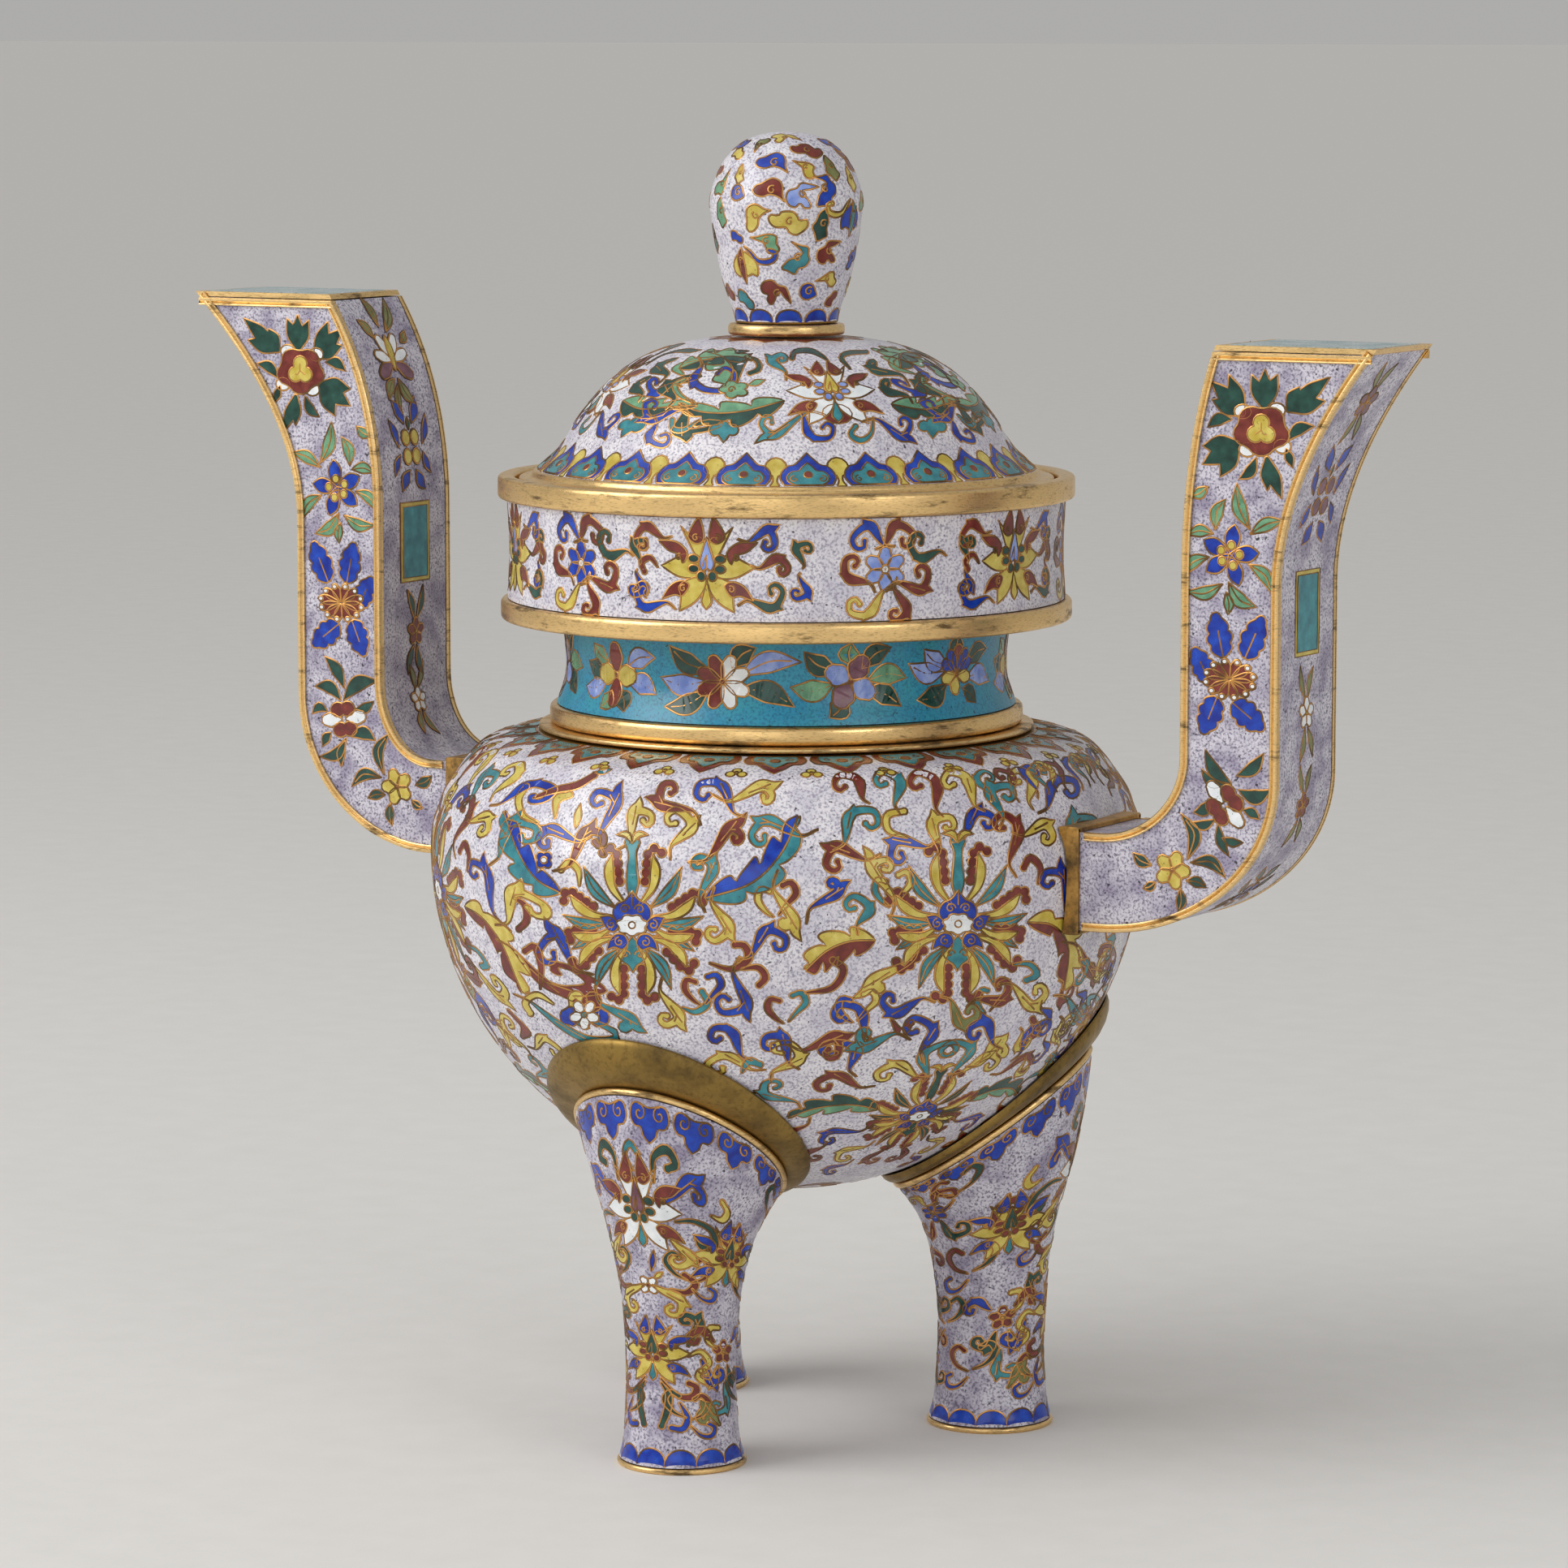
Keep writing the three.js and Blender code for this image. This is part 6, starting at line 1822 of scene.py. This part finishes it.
domeScrolls = [
    ("turquoise", [(12.4, -7.8), (11.8, -12.8), (8.7, -15.2), (5.4, -13.4), (7, -10.8)]),
    ("darkGreen", [(-1.2, 10.3), (-3.1, 12.1), (-6.8, 14), (-11.5, 13.6), (-12.4, 11.2)]),
    ("darkGreen", [(5.6, 7.8), (2.8, 11.5), (5, 13.4), (10.6, 14)]),
    ("lightGreen", [(25.5, 7.2), (19.5, 8.8), (18.4, 11.4), (20.5, 13)]),
    ("darkGreen", [(-27, 12), (-23.4, 10.6), (-22.6, 7.6), (-25.4, 6.2)]),
    ("turquoise", [(-41, -8.6), (-45.4, -11.6), (-49, -11.2), (-49.2, -8.4)]),
    ("lightGreen", [(-43, -3), (-47, -0.4), (-48.6, 3), (-45.8, 4.6)]),
]


def trefoil():
    # Three round lobes over a point
    return cell("turquoise", 0, lobed(-2.7, 0, 1.9, 1.8), lobed(2.7, 0, 1.9, 1.8), lobed(0, 0.9, 1.8, 1.6),
                stroke([(0, 1), (0, -1.4), (0, -4)], [2, 1.9, 0.05]))


def domeUnit():
    # The dome's leaves and curls on both sides of a lotus, with two trefoils
    return joined(curls(domeForks, domeScrolls, 1.25),
                  acanthus([(-14.7, -2.8), (-28, -6.2), (-39.6, -6.2), (-48, -3)], 4.6, "darkGreen",
                           "lightGreen"),
                  acanthus([(18, -3.4), (28, -4.7), (34.2, -2.8), (40, -0.6)], 4.4, "lightGreen",
                           "darkGreen", 3),
                  acanthus([(-47.5, 8.4), (-39.6, 11.2), (-31, 12.2), (-24, 10.6)], 3.4, "lightGreen",
                           "darkGreen"),
                  acanthus([(14, 14.6), (22, 14), (31, 11), (38.5, 5)], 3.2, "darkGreen", "lightGreen"),
                  ([("lightGreen", 1, [lobed(-30.2, 0.9, 4.8, 3, 5, 0.3)])],
                   [(1, spiral(-31, 0.8, 1.3, 1.2))]),
                  leaf("lightGreen", (-26, 2.2), (-20.6, 4), 1.1), moved(trefoil(), -33.3, -12),
                  moved(trefoil(), 30.8, -10))


def cloudHead():
    # The border's cloud head: cobalt rim, turquoise field with two curls and a red eye; a yellow ball beside
    rim = blob(mirrored([(-7.4, 0), (-7.4, 0), (-8.8, 3), (-8.3, 6), (-6.6, 8), (-4.4, 8.6), (-2.6, 10.2),
                         (0, 12.8), (0, 12.8)]))
    field = blob(mirrored([(-4.2, 0), (-4.2, 0), (-6.3, 1.6), (-6.7, 3.8), (-5.2, 5.8), (-3, 6.2),
                           (-1.9, 7.6), (0, 9.4), (0, 9.4)]))
    ball = [stroke([(10.15, 0), (10.15, 2), (10.15, 5)], [1.5, 0.7, 1.2]), lobed(10.15, 7.6, 3.7, 3.6)]
    return ([("yellow", 0, ball), ("cobalt", 1, [rim]), ("turquoise", 2, [field]),
             ("red", 3, [lobed(0, 4.4, 1.4, 1.4)])],
            [(2, spiral(-4.4, 2.6, 1.5, 1.1, 90)), (2, spiral(4.4, 2.6, 1.5, 1.1, 90, -1))])


def redLappet():
    # A pointed drop that hangs from the finial's ring
    return cell("red", 0, blob(mirrored([(-4.5, 0), (-4.5, 0), (-4.2, -3.4), (-2.2, -4.4), (0, -7.2),
                                         (0, -7.2)])))


cloudOutlines = {
    "long": [(-5.5, 0.9), (-4.8, 2.2), (-2.9, 2), (-1.8, 3), (0.9, 3), (2.2, 1.8), (2.8, 0.6), (4.6, 0.9),
             (5.1, -0.9), (3.7, -2.4), (1.8, -3.3), (0, -2.6), (-0.9, -1.3), (-3.1, -1.3), (-4.6, -0.7)],
    "comma": [(-4.4, -0.7), (-3.5, 0.7), (-2.2, 1.1), (-0.4, 2.2), (1.3, 2.7), (3.1, 1.8), (3.8, 0.2),
              (3.8, -1.8), (4.4, -3.8), (4.4, -3.8), (2.6, -2.4), (0.4, -1.8), (-1.3, -2.4), (-3.3, -2)],
    "fork": [(-4.4, 1.8), (-3.3, 3.5), (-0.9, 4), (0.9, 2.4), (2.9, 1.8), (4, -0.9), (4.6, -3.4),
             (4.6, -3.4), (2.4, -1.2), (1.2, 0.4), (0.2, -0.4), (-0.4, -2.2), (-1.8, -3.8), (-2.9, -2.2),
             (-2.4, -0.6), (-4, 0)],
    "ess": [(-2.8, 5), (-2.8, 5), (0, 4.4), (2.2, 4.2), (2.8, 2.2), (3.5, 0.7), (2.6, -1.3), (0.9, -2.2),
            (0, -4), (-2.2, -3.4), (-4, -3), (-3.2, -1.2), (-2.2, 0), (-0.2, 1), (0.7, 2.6)],
    "tail": [(-5, 1.6), (-5, 1.6), (-2.4, 1.9), (-1.1, 2.3), (1.1, 2.6), (2.9, 1.9), (2.9, 0), (3.7, -1.8),
             (2, -3.1), (0.2, -2.2), (-0.9, 0), (-2.4, 0.7)],
    "tall": [(0.4, 4.4), (0.4, 4.4), (-1.2, 2.8), (-1.7, 0.8), (-2.4, -0.8), (-1.5, -2.2), (-0.4, -4),
             (1.1, -3.2), (2.2, -2.4), (1.6, -0.6), (1.7, 1), (1, 2.8)],
    "ball": [(-2.2, 0), (-1.7, 1.6), (-0.3, 2.4), (1.3, 1.9), (2.2, 0.4), (2.8, -1), (1.5, -1.9),
             (-0.2, -2.3), (-1.7, -1.5)],
    "small": [(-2, 0.3), (-1.6, 1.6), (0, 1.5), (0.8, 0.7), (2, 0.1), (2.1, -1.4), (0.8, -1.7),
              (-0.4, -0.9), (-1.6, -1.1)],
}
finialClouds = [
    # outline, enamel, degrees round from the front, height over the finial's foot, turn, size
    ("long", "cobalt", -76, 55.5, 30, 0.8), ("fork", "yellow", -4, 58, 10, 0.8),
    ("long", "cobalt", 71, 55.6, -25, 0.8),
    ("tail", "olive", -33, 56, 100, 0.7), ("small", "yellow", -59, 53.1, 0, 1.3),
    ("long", "red", 23, 54, 0, 0.85),
    ("long", "red", 74, 51, -50, 0.8), ("comma", "cobalt", -14, 51, 0, 1.0),
    ("tail", "yellow", 16, 48.4, -20, 0.8),
    ("tall", "olive", 42, 48.6, 12, 0.95), ("tall", "yellow", 64, 45, 0, 0.9),
    ("small", "red", -78, 47.5, 40, 1.1),
    ("tail", "lightGreen", -63, 43.6, -100, 0.95), ("tall", "yellow", -42, 46.7, 8, 0.7),
    ("ball", "cobalt", -41, 41, 0, 0.95),
    ("comma", "red", -14, 42.6, 0, 1.0), ("fork", "paleBlue", 12, 40.4, 60, 0.95),
    ("ess", "cobalt", 32, 41.4, 15, 1.0),
    ("tall", "lightGreen", -59, 34.5, 5, 1.0), ("comma", "yellow", -26, 33.5, 60, 0.95),
    ("long", "yellow", 2, 31.8, 0, 1.0),
    ("tall", "darkGreen", 28, 31, -10, 1.1), ("small", "cobalt", -43, 27.2, 0, 1.0),
    ("tail", "lightGreen", -16, 25.4, 0, 0.95),
    ("fork", "red", 37, 22.6, 70, 0.85), ("long", "cobalt", 71, 20.3, 60, 0.7),
    ("ess", "turquoise", 9, 20, -10, 0.95),
    ("tail", "yellow", 40, 13.6, 20, 0.8), ("fork", "red", -10, 9.8, 0, 0.9),
    ("ball", "cobalt", 20, 10.2, 0, 1.0),
    ("small", "red", 50, 7.6, 80, 1.1), ("small", "turquoise", -45, 7.6, -20, 1.4),
    ("tall", "darkGreen", -80, 26.2, 15, 1.0),
    ("comma", "lightGreen", 80, 38, 20, 0.9), ("ball", "yellow", 84, 11.5, 0, 1.0),
    ("tail", "red", -74, 9, 30, 0.9),
]


def cloud(outline, colour):
    # A finial cloud with one curl near its middle
    x, y = np.mean(cloudOutlines[outline], 0) + [0.3, 0.2]
    curl = [] if outline == "small" else [(0, spiral(x, y, 1.25 if outline != "tall" else 1, 1.2, 60))]
    return [(colour, 0, [blob(cloudOutlines[outline])])], curl


def butterfly(wing, body, feeler):
    # Two wings about a slim body, and a feeler that ends in a curl
    right = blob([(0.8, 4.4), (2.8, 3.6), (5.2, 1.4), (5.8, -1.2), (5.2, -3.4), (3.4, -2.8), (1.3, -3.4),
                  (0.8, 0)])
    left = blob([(-0.8, 3.6), (-2.6, 2.4), (-3.9, 0), (-3.4, -2.6), (-1.2, -3.6), (-0.7, 0)])
    return joined(([(wing, 0, [right]), (wing, 0, [left]),
                    (body, 1, [stroke([(0.2, 5.6), (-0.4, 2), (0, -2), (0.6, -6)],
                                      [0.2, 1.3, 1.2, 0.05])])],
                   [(1, spiral(-0.4, 2, 0.8, 1.1))]),
                  scroll(feeler, [(1.4, 6), (3.6, 4.2), (5.6, 1.8), (8.4, 1.2), (11, 2.2), (11.4, 4.4),
                                  (9.8, 4.8)], 0.95))


coverArt = {
    "flowerAngles": (44.5, 134.5, 224.5, 314.5), "flowerHeight": 334.3, "flowerLean": 14.5,
    "heads": 24, "firstHead": 5, "headStart": 0.5, "points": 12, "firstPoint": 14, "pointStart": 3.6,
    "finialTurn": 30, "cloudSize": 1.18, "backShift": 3,    # places in the order of colours
    "order": ["yellow", "red", "cobalt", "lightGreen", "turquoise", "darkGreen", "olive", "paleBlue"],
    # wing, body, feeler, degrees round, height over the finial's foot, mirrored
    "butterflies": (("yellow", "red", "cobalt", -10, 18.3, False),
                    ("cobalt", "turquoise", "yellow", 90, 32.9, True)),
    "scallops": 11, "scallopStart": 0.3, "scallopWide": 8.3, "scallopHigh": 4.4}


def layCover():
    # Lotuses on the dome with leaves and scrolls between them, cloud heads under them; clouds on the finial,
    # which are taken round the back in other colours
    c = coverArt
    path = domePath()
    dome = Layer("cover_dome", "cover")
    flower = fine(joined(lotus("white", "red", "paleBlue", "yellow", "turquoise"),
                         cell("red", 0, lobed(0, -8.4, 4.4, 3.8))))
    around, head, point = drawing(domeUnit()), drawing(cloudHead()), fine(redLappet())
    for angle in c["flowerAngles"]:
        dome.lay(flower, turnedChart(path, angle, runAt(path, c["flowerHeight"])))
        dome.lay(around, seenChart(path, angle, c["flowerHeight"], c["flowerLean"]))
    for k in range(c["heads"]):
        dome.lay(head, turnedChart(path, c["firstHead"] + k * 360 / c["heads"], c["headStart"]))
    for k in range(c["points"]):
        dome.lay(point, turnedChart(path, c["firstPoint"] + k * 360 / c["points"], c["pointStart"], True))
    dome.finish()
    path = finialPath()
    finial = Layer("finial", "cover")
    foot = path[0, 1]
    for side in (0, 180):
        for outline, colour, angle, height, turn, size in finialClouds:
            if side:
                colour = c["order"][(c["order"].index(colour) + c["backShift"]) % len(c["order"])]
            chart = turnedChart(path, c["finialTurn"] + side + angle, runAt(path, foot + height))
            finial.lay(small(cloud(outline, colour)), chart, turn=turn, size=size * c["cloudSize"])
        for wing, body, feeler, angle, height, flip in c["butterflies"]:
            chart = turnedChart(path, side + angle, runAt(path, foot + height))
            finial.lay(small(butterfly(wing, body, feeler)), chart, flip=flip)
    edge = fine(scallop(c["scallopWide"], c["scallopHigh"]))
    for k in range(c["scallops"]):
        finial.lay(edge, turnedChart(path, k * 360 / c["scallops"], c["scallopStart"]))
    finial.finish()


layCover()
print("cover ornament laid")


# Handle drawings; x runs outwards from the vessel and y up, from each flower's centre

def fan(colour, root, tips, half):
    # A leaf with several pointed lobes: lenses that share a root
    root = np.array(root, float)
    return cell(colour, 0, *[stroke([root, (root + tip) / 2, tip], [0.4 * half, half, 0.05])
                             for tip in np.array(tips, float)])


def frilled(colour, root, tip, half):
    # A broad leaf with a lobed margin and a vein that ends inside it
    root, tip = np.array(root, float), np.array(tip, float)
    path = root + np.linspace(0, 1, 31)[:, None] * (tip - root)
    t = np.linspace(0, 1, 31)
    swell = np.sin(np.pi * np.clip(t, 0.02, 0.985) ** 0.8) ** 0.55
    reach = half * swell * (0.72 + 0.28 * np.abs(np.sin(3.5 * np.pi * t)) ** 0.6)
    side = sideways(path) * reach[:, None]
    outline = np.concatenate([path + side, (path - side)[::-1]])
    return [(colour, 0, [(outline, [list(range(len(outline)))])])], [(0, path[:20:3])]


def peony():
    # A five-lobed red flower on white buds, among fans of leaves
    spots = [polar(a, 2.3) for a in (0, 122, -122)]
    return joined(fan("darkGreen", (9, 6.6), [(22.5, 16.6), (21, 9.4), (12.4, 13.4)], 2.6),
                  fan("darkGreen", (0.8, 7), [(-3.4, 16.6), (1, 18.4), (5.2, 17)], 2.3),
                  fan("darkGreen", (-6.2, 5), [(-11, 16.4), (-17, 14.2), (-16.6, 8.6)], 2.6),
                  fan("darkGreen", (-8, -4.4), [(-19.6, -5.4), (-19.6, -11), (-13.6, -14.6)], 2.9),
                  fan("darkGreen", (2, -8.6), [(2.2, -18.2), (7, -20.4)], 2.2),
                  leaf("darkGreen", (-9.6, 3), (-18, 0.2), 1.9, -0.15),
                  leaf("darkGreen", (8.4, -3), (17.6, 1.8), 1.9, 0.15),
                  leaf("darkGreen", (8, -5), (10.6, -11), 1.5),
                  leaf("darkGreen", (-1.6, -8), (-7.4, -15), 1.8, 0.15),
                  ([("white", 0, [lobed(x, y, 2.9, 2.2)])
                    for x, y in ((-6.2, 5.4), (5, 6.2), (-4.6, -6), (7, -4.6))], []),
                  ([("red", 1, [lobed(0, 0, 9.6, 7.8, 5, 0.2, np.pi / 2)]),
                    ("yellow", 2, [lobed(x, y, 2.8, 2.6) for x, y in spots])],
                   [(2, [spots[0], (0, 0), spots[1]]), (2, [(0, 0), (1, -1.4), spots[2]])]))


def star():
    # Five pointed cobalt petals with gold beads
    tips = [(1.4, 9.4), (-8.9, 4.4), (-7.9, -5.2), (3.1, -9), (9.6, 1.2)]
    leaves = [((6.6, 8), (2, 22), 2.4, 0.1), ((6.4, 6.6), (18, 11.2), 2.1, 0.08),
              ((-5, 7.4), (-1.6, 17), 2.2, 0.14), ((-5.6, 6.4), (-14.6, 5.6), 1.9, -0.12),
              ((-7, -0.6), (-15.6, -7), 2, -0.16), ((6, -2.4), (14, -10.8), 2.1, 0.16),
              ((-0.6, -8), (9, -15.2), 2.3, -0.16), ((-2.4, -8.6), (-14.8, -11.4), 2.1, 0.14),
              ((-1.4, -11), (-0.6, -18), 1.7, 0.1), ((-7.6, 20.6), (-13.6, 17.4), 1.8, 0.1)]
    return joined(*[leaf("lightGreen", *k, 0, True) for k in leaves],
                  *[petal("cobalt", (0, 0), p, 2.5, 1, True) for p in tips],
                  *[cell("yellow", 2, lobed(0.33 * x, 0.33 * y, 1.45, 1.45)) for x, y in tips])


def chrysanthemum():
    # Twelve red petals with white tips, among frilled leaves
    leaves = [((5, 6.6), (11, 19.6), 4.4), ((-2.2, 6.6), (-5.2, 20), 4.4), ((-6.6, -1), (-12.2, 9), 4),
              ((1, -7), (11.6, -14.6), 4.4), ((-4.2, -5.6), (-9, -17), 4.4)]
    ends = [polar(k * 30 + 12, 1) * [9.4, 6.4] for k in range(12)]
    return joined(*[frilled("cobalt", *k) for k in leaves],
                  *[petal("red", p * 0.12, p, 1.5, 1) for p in ends],
                  *[cell("white", 2, lobed(*(p * 0.86), 1, 0.9)) for p in ends])


fourPetalLeaves = {
    1: [((2.4, 6.4), (-6.8, 16.6), 2.1, 0.14), ((0.6, 6), (-8, 10.6), 1.5, 0.2),
        ((3.8, 9), (13, 16.6), 2, -0.12), ((4.4, 4.8), (15.6, 5.6), 2.3, -0.2),
        ((-5, 1.4), (-10.6, -3), 1.9, 0.2), ((6, -1.2), (11.8, -3.6), 1.6, 0.1),
        ((-3, -4.6), (-11.6, -6), 1.5, 0.16), ((-2.2, -5.6), (1.6, -15.6), 1.6, -0.1),
        ((-1, -10), (6.4, -11), 1.4, -0.1)],
    -1: [((-0.2, 10), (7.6, 20.4), 2.2, 0.1), ((0.4, 6), (-13.6, 13.4), 2.6, -0.16),
         ((1, 6), (11.6, 10.2), 2.2, 0.2), ((6.4, 2.2), (12.6, 1), 1.6, 0.3),
         ((-4, 3), (-11.8, 6.6), 1.7, 0.1), ((5, -4.6), (8.6, -9.6), 1.7, 0.1),
         ((-1, -6), (10, -13), 2, -0.2), ((-0.4, -7), (1.2, -16), 1.6, 0.1),
         ((-2.6, -5.6), (-12.4, -6.4), 2.2, -0.2)]}


def fourPetal(side):
    # Two kidney-shaped red petals and two white ones; on the right handle the flower is turned
    kidneys = [cell("red", 1, lobed(-1.9, y, 2.9, 2.5), lobed(1.9, y, 2.9, 2.5)) for y in (3.3, -3.3)]
    flower = joined(*kidneys, *[petal("white", (s * 1.4, 0), (s * 8.4, 0.4), 2.3, 1) for s in (-1, 1)])
    return joined(*[leaf("darkGreen", *k) for k in fourPetalLeaves[side]],
                  moved(flower, turn=-8 if side < 0 else -48))


def fivePetal():
    # Five yellow petals among long leaves
    leaves = [((5, 3.4), (2.6, 17.6), 2.1, -0.25), ((6, 2.6), (18, -1.2), 2, 0.22),
              ((4.6, -3), (11.6, -4.6), 1.7, 0.1), ((2.6, -5.4), (2, -13), 1.7, 0.1),
              ((-7, 1), (-13.6, 4.4), 1.9, 0.1), ((-5.6, -4), (-10, -6.4), 1.5, 0.1)]
    return joined(*[leaf("darkGreen", *k, 0, True) for k in leaves],
                  blossom(["yellow"] * 5, "red", 5.2, 2.3, -20, 0.9, 1))


def lily():
    # x runs across the strip; long white petals and olive leaves
    petals = [("white", 0, 0.4, -5.4, 9.6, 2), ("white", 0, 0.4, 5.4, 9.6, 2), ("white", 0, 0, -9.6, 3, 2),
              ("white", 0, 0, 9.6, 3, 2), ("plum", -1, -1, -9.4, -6, 2.4), ("plum", 1, -1, 9.4, -5, 2.4)]
    leaves = [((-2, 10), (-9.4, 22), 2.2, 0.1), ((1, 12), (3.6, 23), 2, 0.1), ((6, 8), (11.4, 15), 2, 0.1),
              ((0, -6), (-6.4, -15), 2.2, 0.1), ((2, -6), (8, -13), 2, 0.1),
              ((1, -8), (2.4, -18), 1.6, 0.1), ((-8, 6), (-13, 10), 1.6, 0.1)]
    return joined(*[leaf("olive", *k, 0, True) for k in leaves],
                  *[petal(c, (a, b), (x, y), h, 1) for c, a, b, x, y, h in petals],
                  petal("yellow", (0, -3), (0, 9), 1.8, 2, True))


def fourOvals(body, leaves):
    # Four ovals in two pairs with leaves above, below and along both sides
    ends = [((-2, 8), (-7, 17.6), 2.4), ((2.4, 8), (7.4, 16.6), 2.4), ((-7, 0.6), (-11.4, 11), 1.7),
            ((7.4, 0), (11.4, 10), 1.7), ((-7, -2), (-11, -9.6), 1.7), ((7, -2.4), (11, -9.6), 1.7),
            ((-2, -8), (-7, -15), 2.4), ((2, -8), (7, -15), 2.4)]
    return joined(*[leaf(leaves, a, b, h, 0.06) for a, b, h in ends],
                  leaf("darkGreen", (0, 6), (0, 10.4), 1),
                  *[cell(body, 1, lobed(x, y, 2.4, 2.8)) for x in (-2.7, 2.7) for y in (-3.3, 3.3)])


def panel():
    # A plain field inside a double wire
    outer = np.array([(-8.4, -13), (8.4, -13), (8.4, 13), (-8.4, 13)], float)
    inner = outer - np.sign(outer) * 1.3
    return joined(*[([(c, k, [(corners, [[0, 1, 2, 3]])])], [])
                    for k, (c, corners) in enumerate((("yellow", outer), ("turquoise", inner)))])


def sprig(body, leaves, reach):
    # A small flower between two pairs of long leaves
    ends = [((-0.6, 4), (-4.6, 15)), ((0.8, 4), (4.8, 14)), ((-0.8, -4.4), (-4.4, -15)),
            ((0.8, -4.4), (4.6, -14))]
    return joined(*[leaf(leaves, a, b, 1.5, 0.08) for a, b in ends],
                  blossom([body] * 5, "yellow", reach, reach * 0.42, 0, 0.8, 1))


handleArt = {
    # flower, x, sideways shift by the handle's side, height
    "flowers": ((peony, 173.5, 2, 330), (star, 161.5, 4, 292), (chrysanthemum, 161, 4.7, 254.6),
                (fivePetal, 141, 6, 195.4)),
    "fourPetal": (160, 4.4, 216.4),
    # down the outer strip and down the inner one: motif, height, size
    "outer": ((sprig("plum", "olive", 5), 338, 1), (fourOvals("plum", "cobalt"), 309, 1),
              (panel(), 273.5, 1),
              (sprig("white", "olive", 4.4), 243, 1), (sprig("red", "olive", 4), 214.5, 0.9),
              (fourOvals("cobalt", "darkGreen"), 187, 0.75)),
    "inner": ((lily(), 333, 1), (fourOvals("yellow", "cobalt"), 305, 0.95), (panel(), 274, 1),
              (sprig("red", "darkGreen", 4), 244.5, 1), (sprig("white", "olive", 4.4), 222, 0.85))}
capSet = {"shift": 0.6, "corner": 1.2,
          "rings": ((2.7, -0.3), (2.7, 0.05), (2.95, 0.16), (3.6, 0.2), (10, 0.2))}    # inset, rise


def layHandles():
    # The same flowers down both faces of a handle, and motifs down its two strips
    flowers = [(fine(motif()), x, shift, y) for motif, x, shift, y in handleArt["flowers"]]
    drawn = {word: [(fine(part), y, size) for part, y, size in handleArt[word]]
             for word in ("outer", "inner")}
    for name, side in (("right", 1), ("left", -1)):
        layer = Layer(f"{name}_handle", "bowl")
        four = (fine(fourPetal(side)), *handleArt["fourPetal"])
        for front in (True, False):
            for flower, x, shift, y in (*flowers, four):
                layer.lay(flower, plateChart(side, front), x + side * shift, y)
        for word, row in drawn.items():
            path = handleEdge(side, word == "outer")
            for part, height, size in row:
                layer.lay(part, stripChart(side, word == "outer", runAt(path, height)), size=size)
        layer.finish()


def makeCapPanel(name, side):
    # The cap's enamel: a thin plate with a rounded edge, inside the gilt rim
    low, high = boxOf(f"{name}_handle_top_cap")
    low[0] += capSet["shift"] if side > 0 else 0
    high[0] -= capSet["shift"] if side < 0 else 0
    rows = []
    for inset, rise in capSet["rings"]:
        x0, x1, y = low[0] + inset, high[0] - inset, high[1] - inset
        ring = eased([(x0, -y), (x1, -y), (x1, y), (x0, y)], capSet["corner"], 5)
        rows.append(np.concatenate([ring, np.full((len(ring), 1), high[2] + rise)], 1))
    count = len(rows[0])
    points = np.concatenate([*rows, [rows[-1].mean(0)]])
    ring = np.arange(count)
    lid = np.stack([(len(rows) - 1) * count + ring, (len(rows) - 1) * count + (ring + 1) % count,
                    np.full(count, len(points) - 1)], 1)
    under = (ring[::-1]).reshape(1, -1)
    faces = facingOut(points, [gridFaces(len(rows), count, False, True), lid, under])
    makePiece(f"{name}_cap_enamel", points, faces, [ground["capGround"]], "bowl", "enamelled_copper", ())


layHandles()
makeCapPanel("right", 1)
makeCapPanel("left", -1)
print("handle ornament laid")


# Floor, and plain metal on what shows of the frame: the caps' rims, the soles and the inside fixings

reach = studioSet["floorReach"]
floorMesh = bpy.data.meshes.new("floor")
floorMesh.from_pydata([(-reach, -reach, 0), (reach, -reach, 0), (reach, reach, 0), (-reach, reach, 0)], [],
                      [(0, 1, 2, 3)])
floorMesh.materials.append(floorMaterial())
floor = bpy.data.objects.new("floor", floorMesh)
bpy.context.scene.collection.objects.link(floor)

for nodeName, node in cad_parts.items():
    node.data.materials.clear()
    node.data.materials.append(ringGilt if "cap" in nodeName else brass)
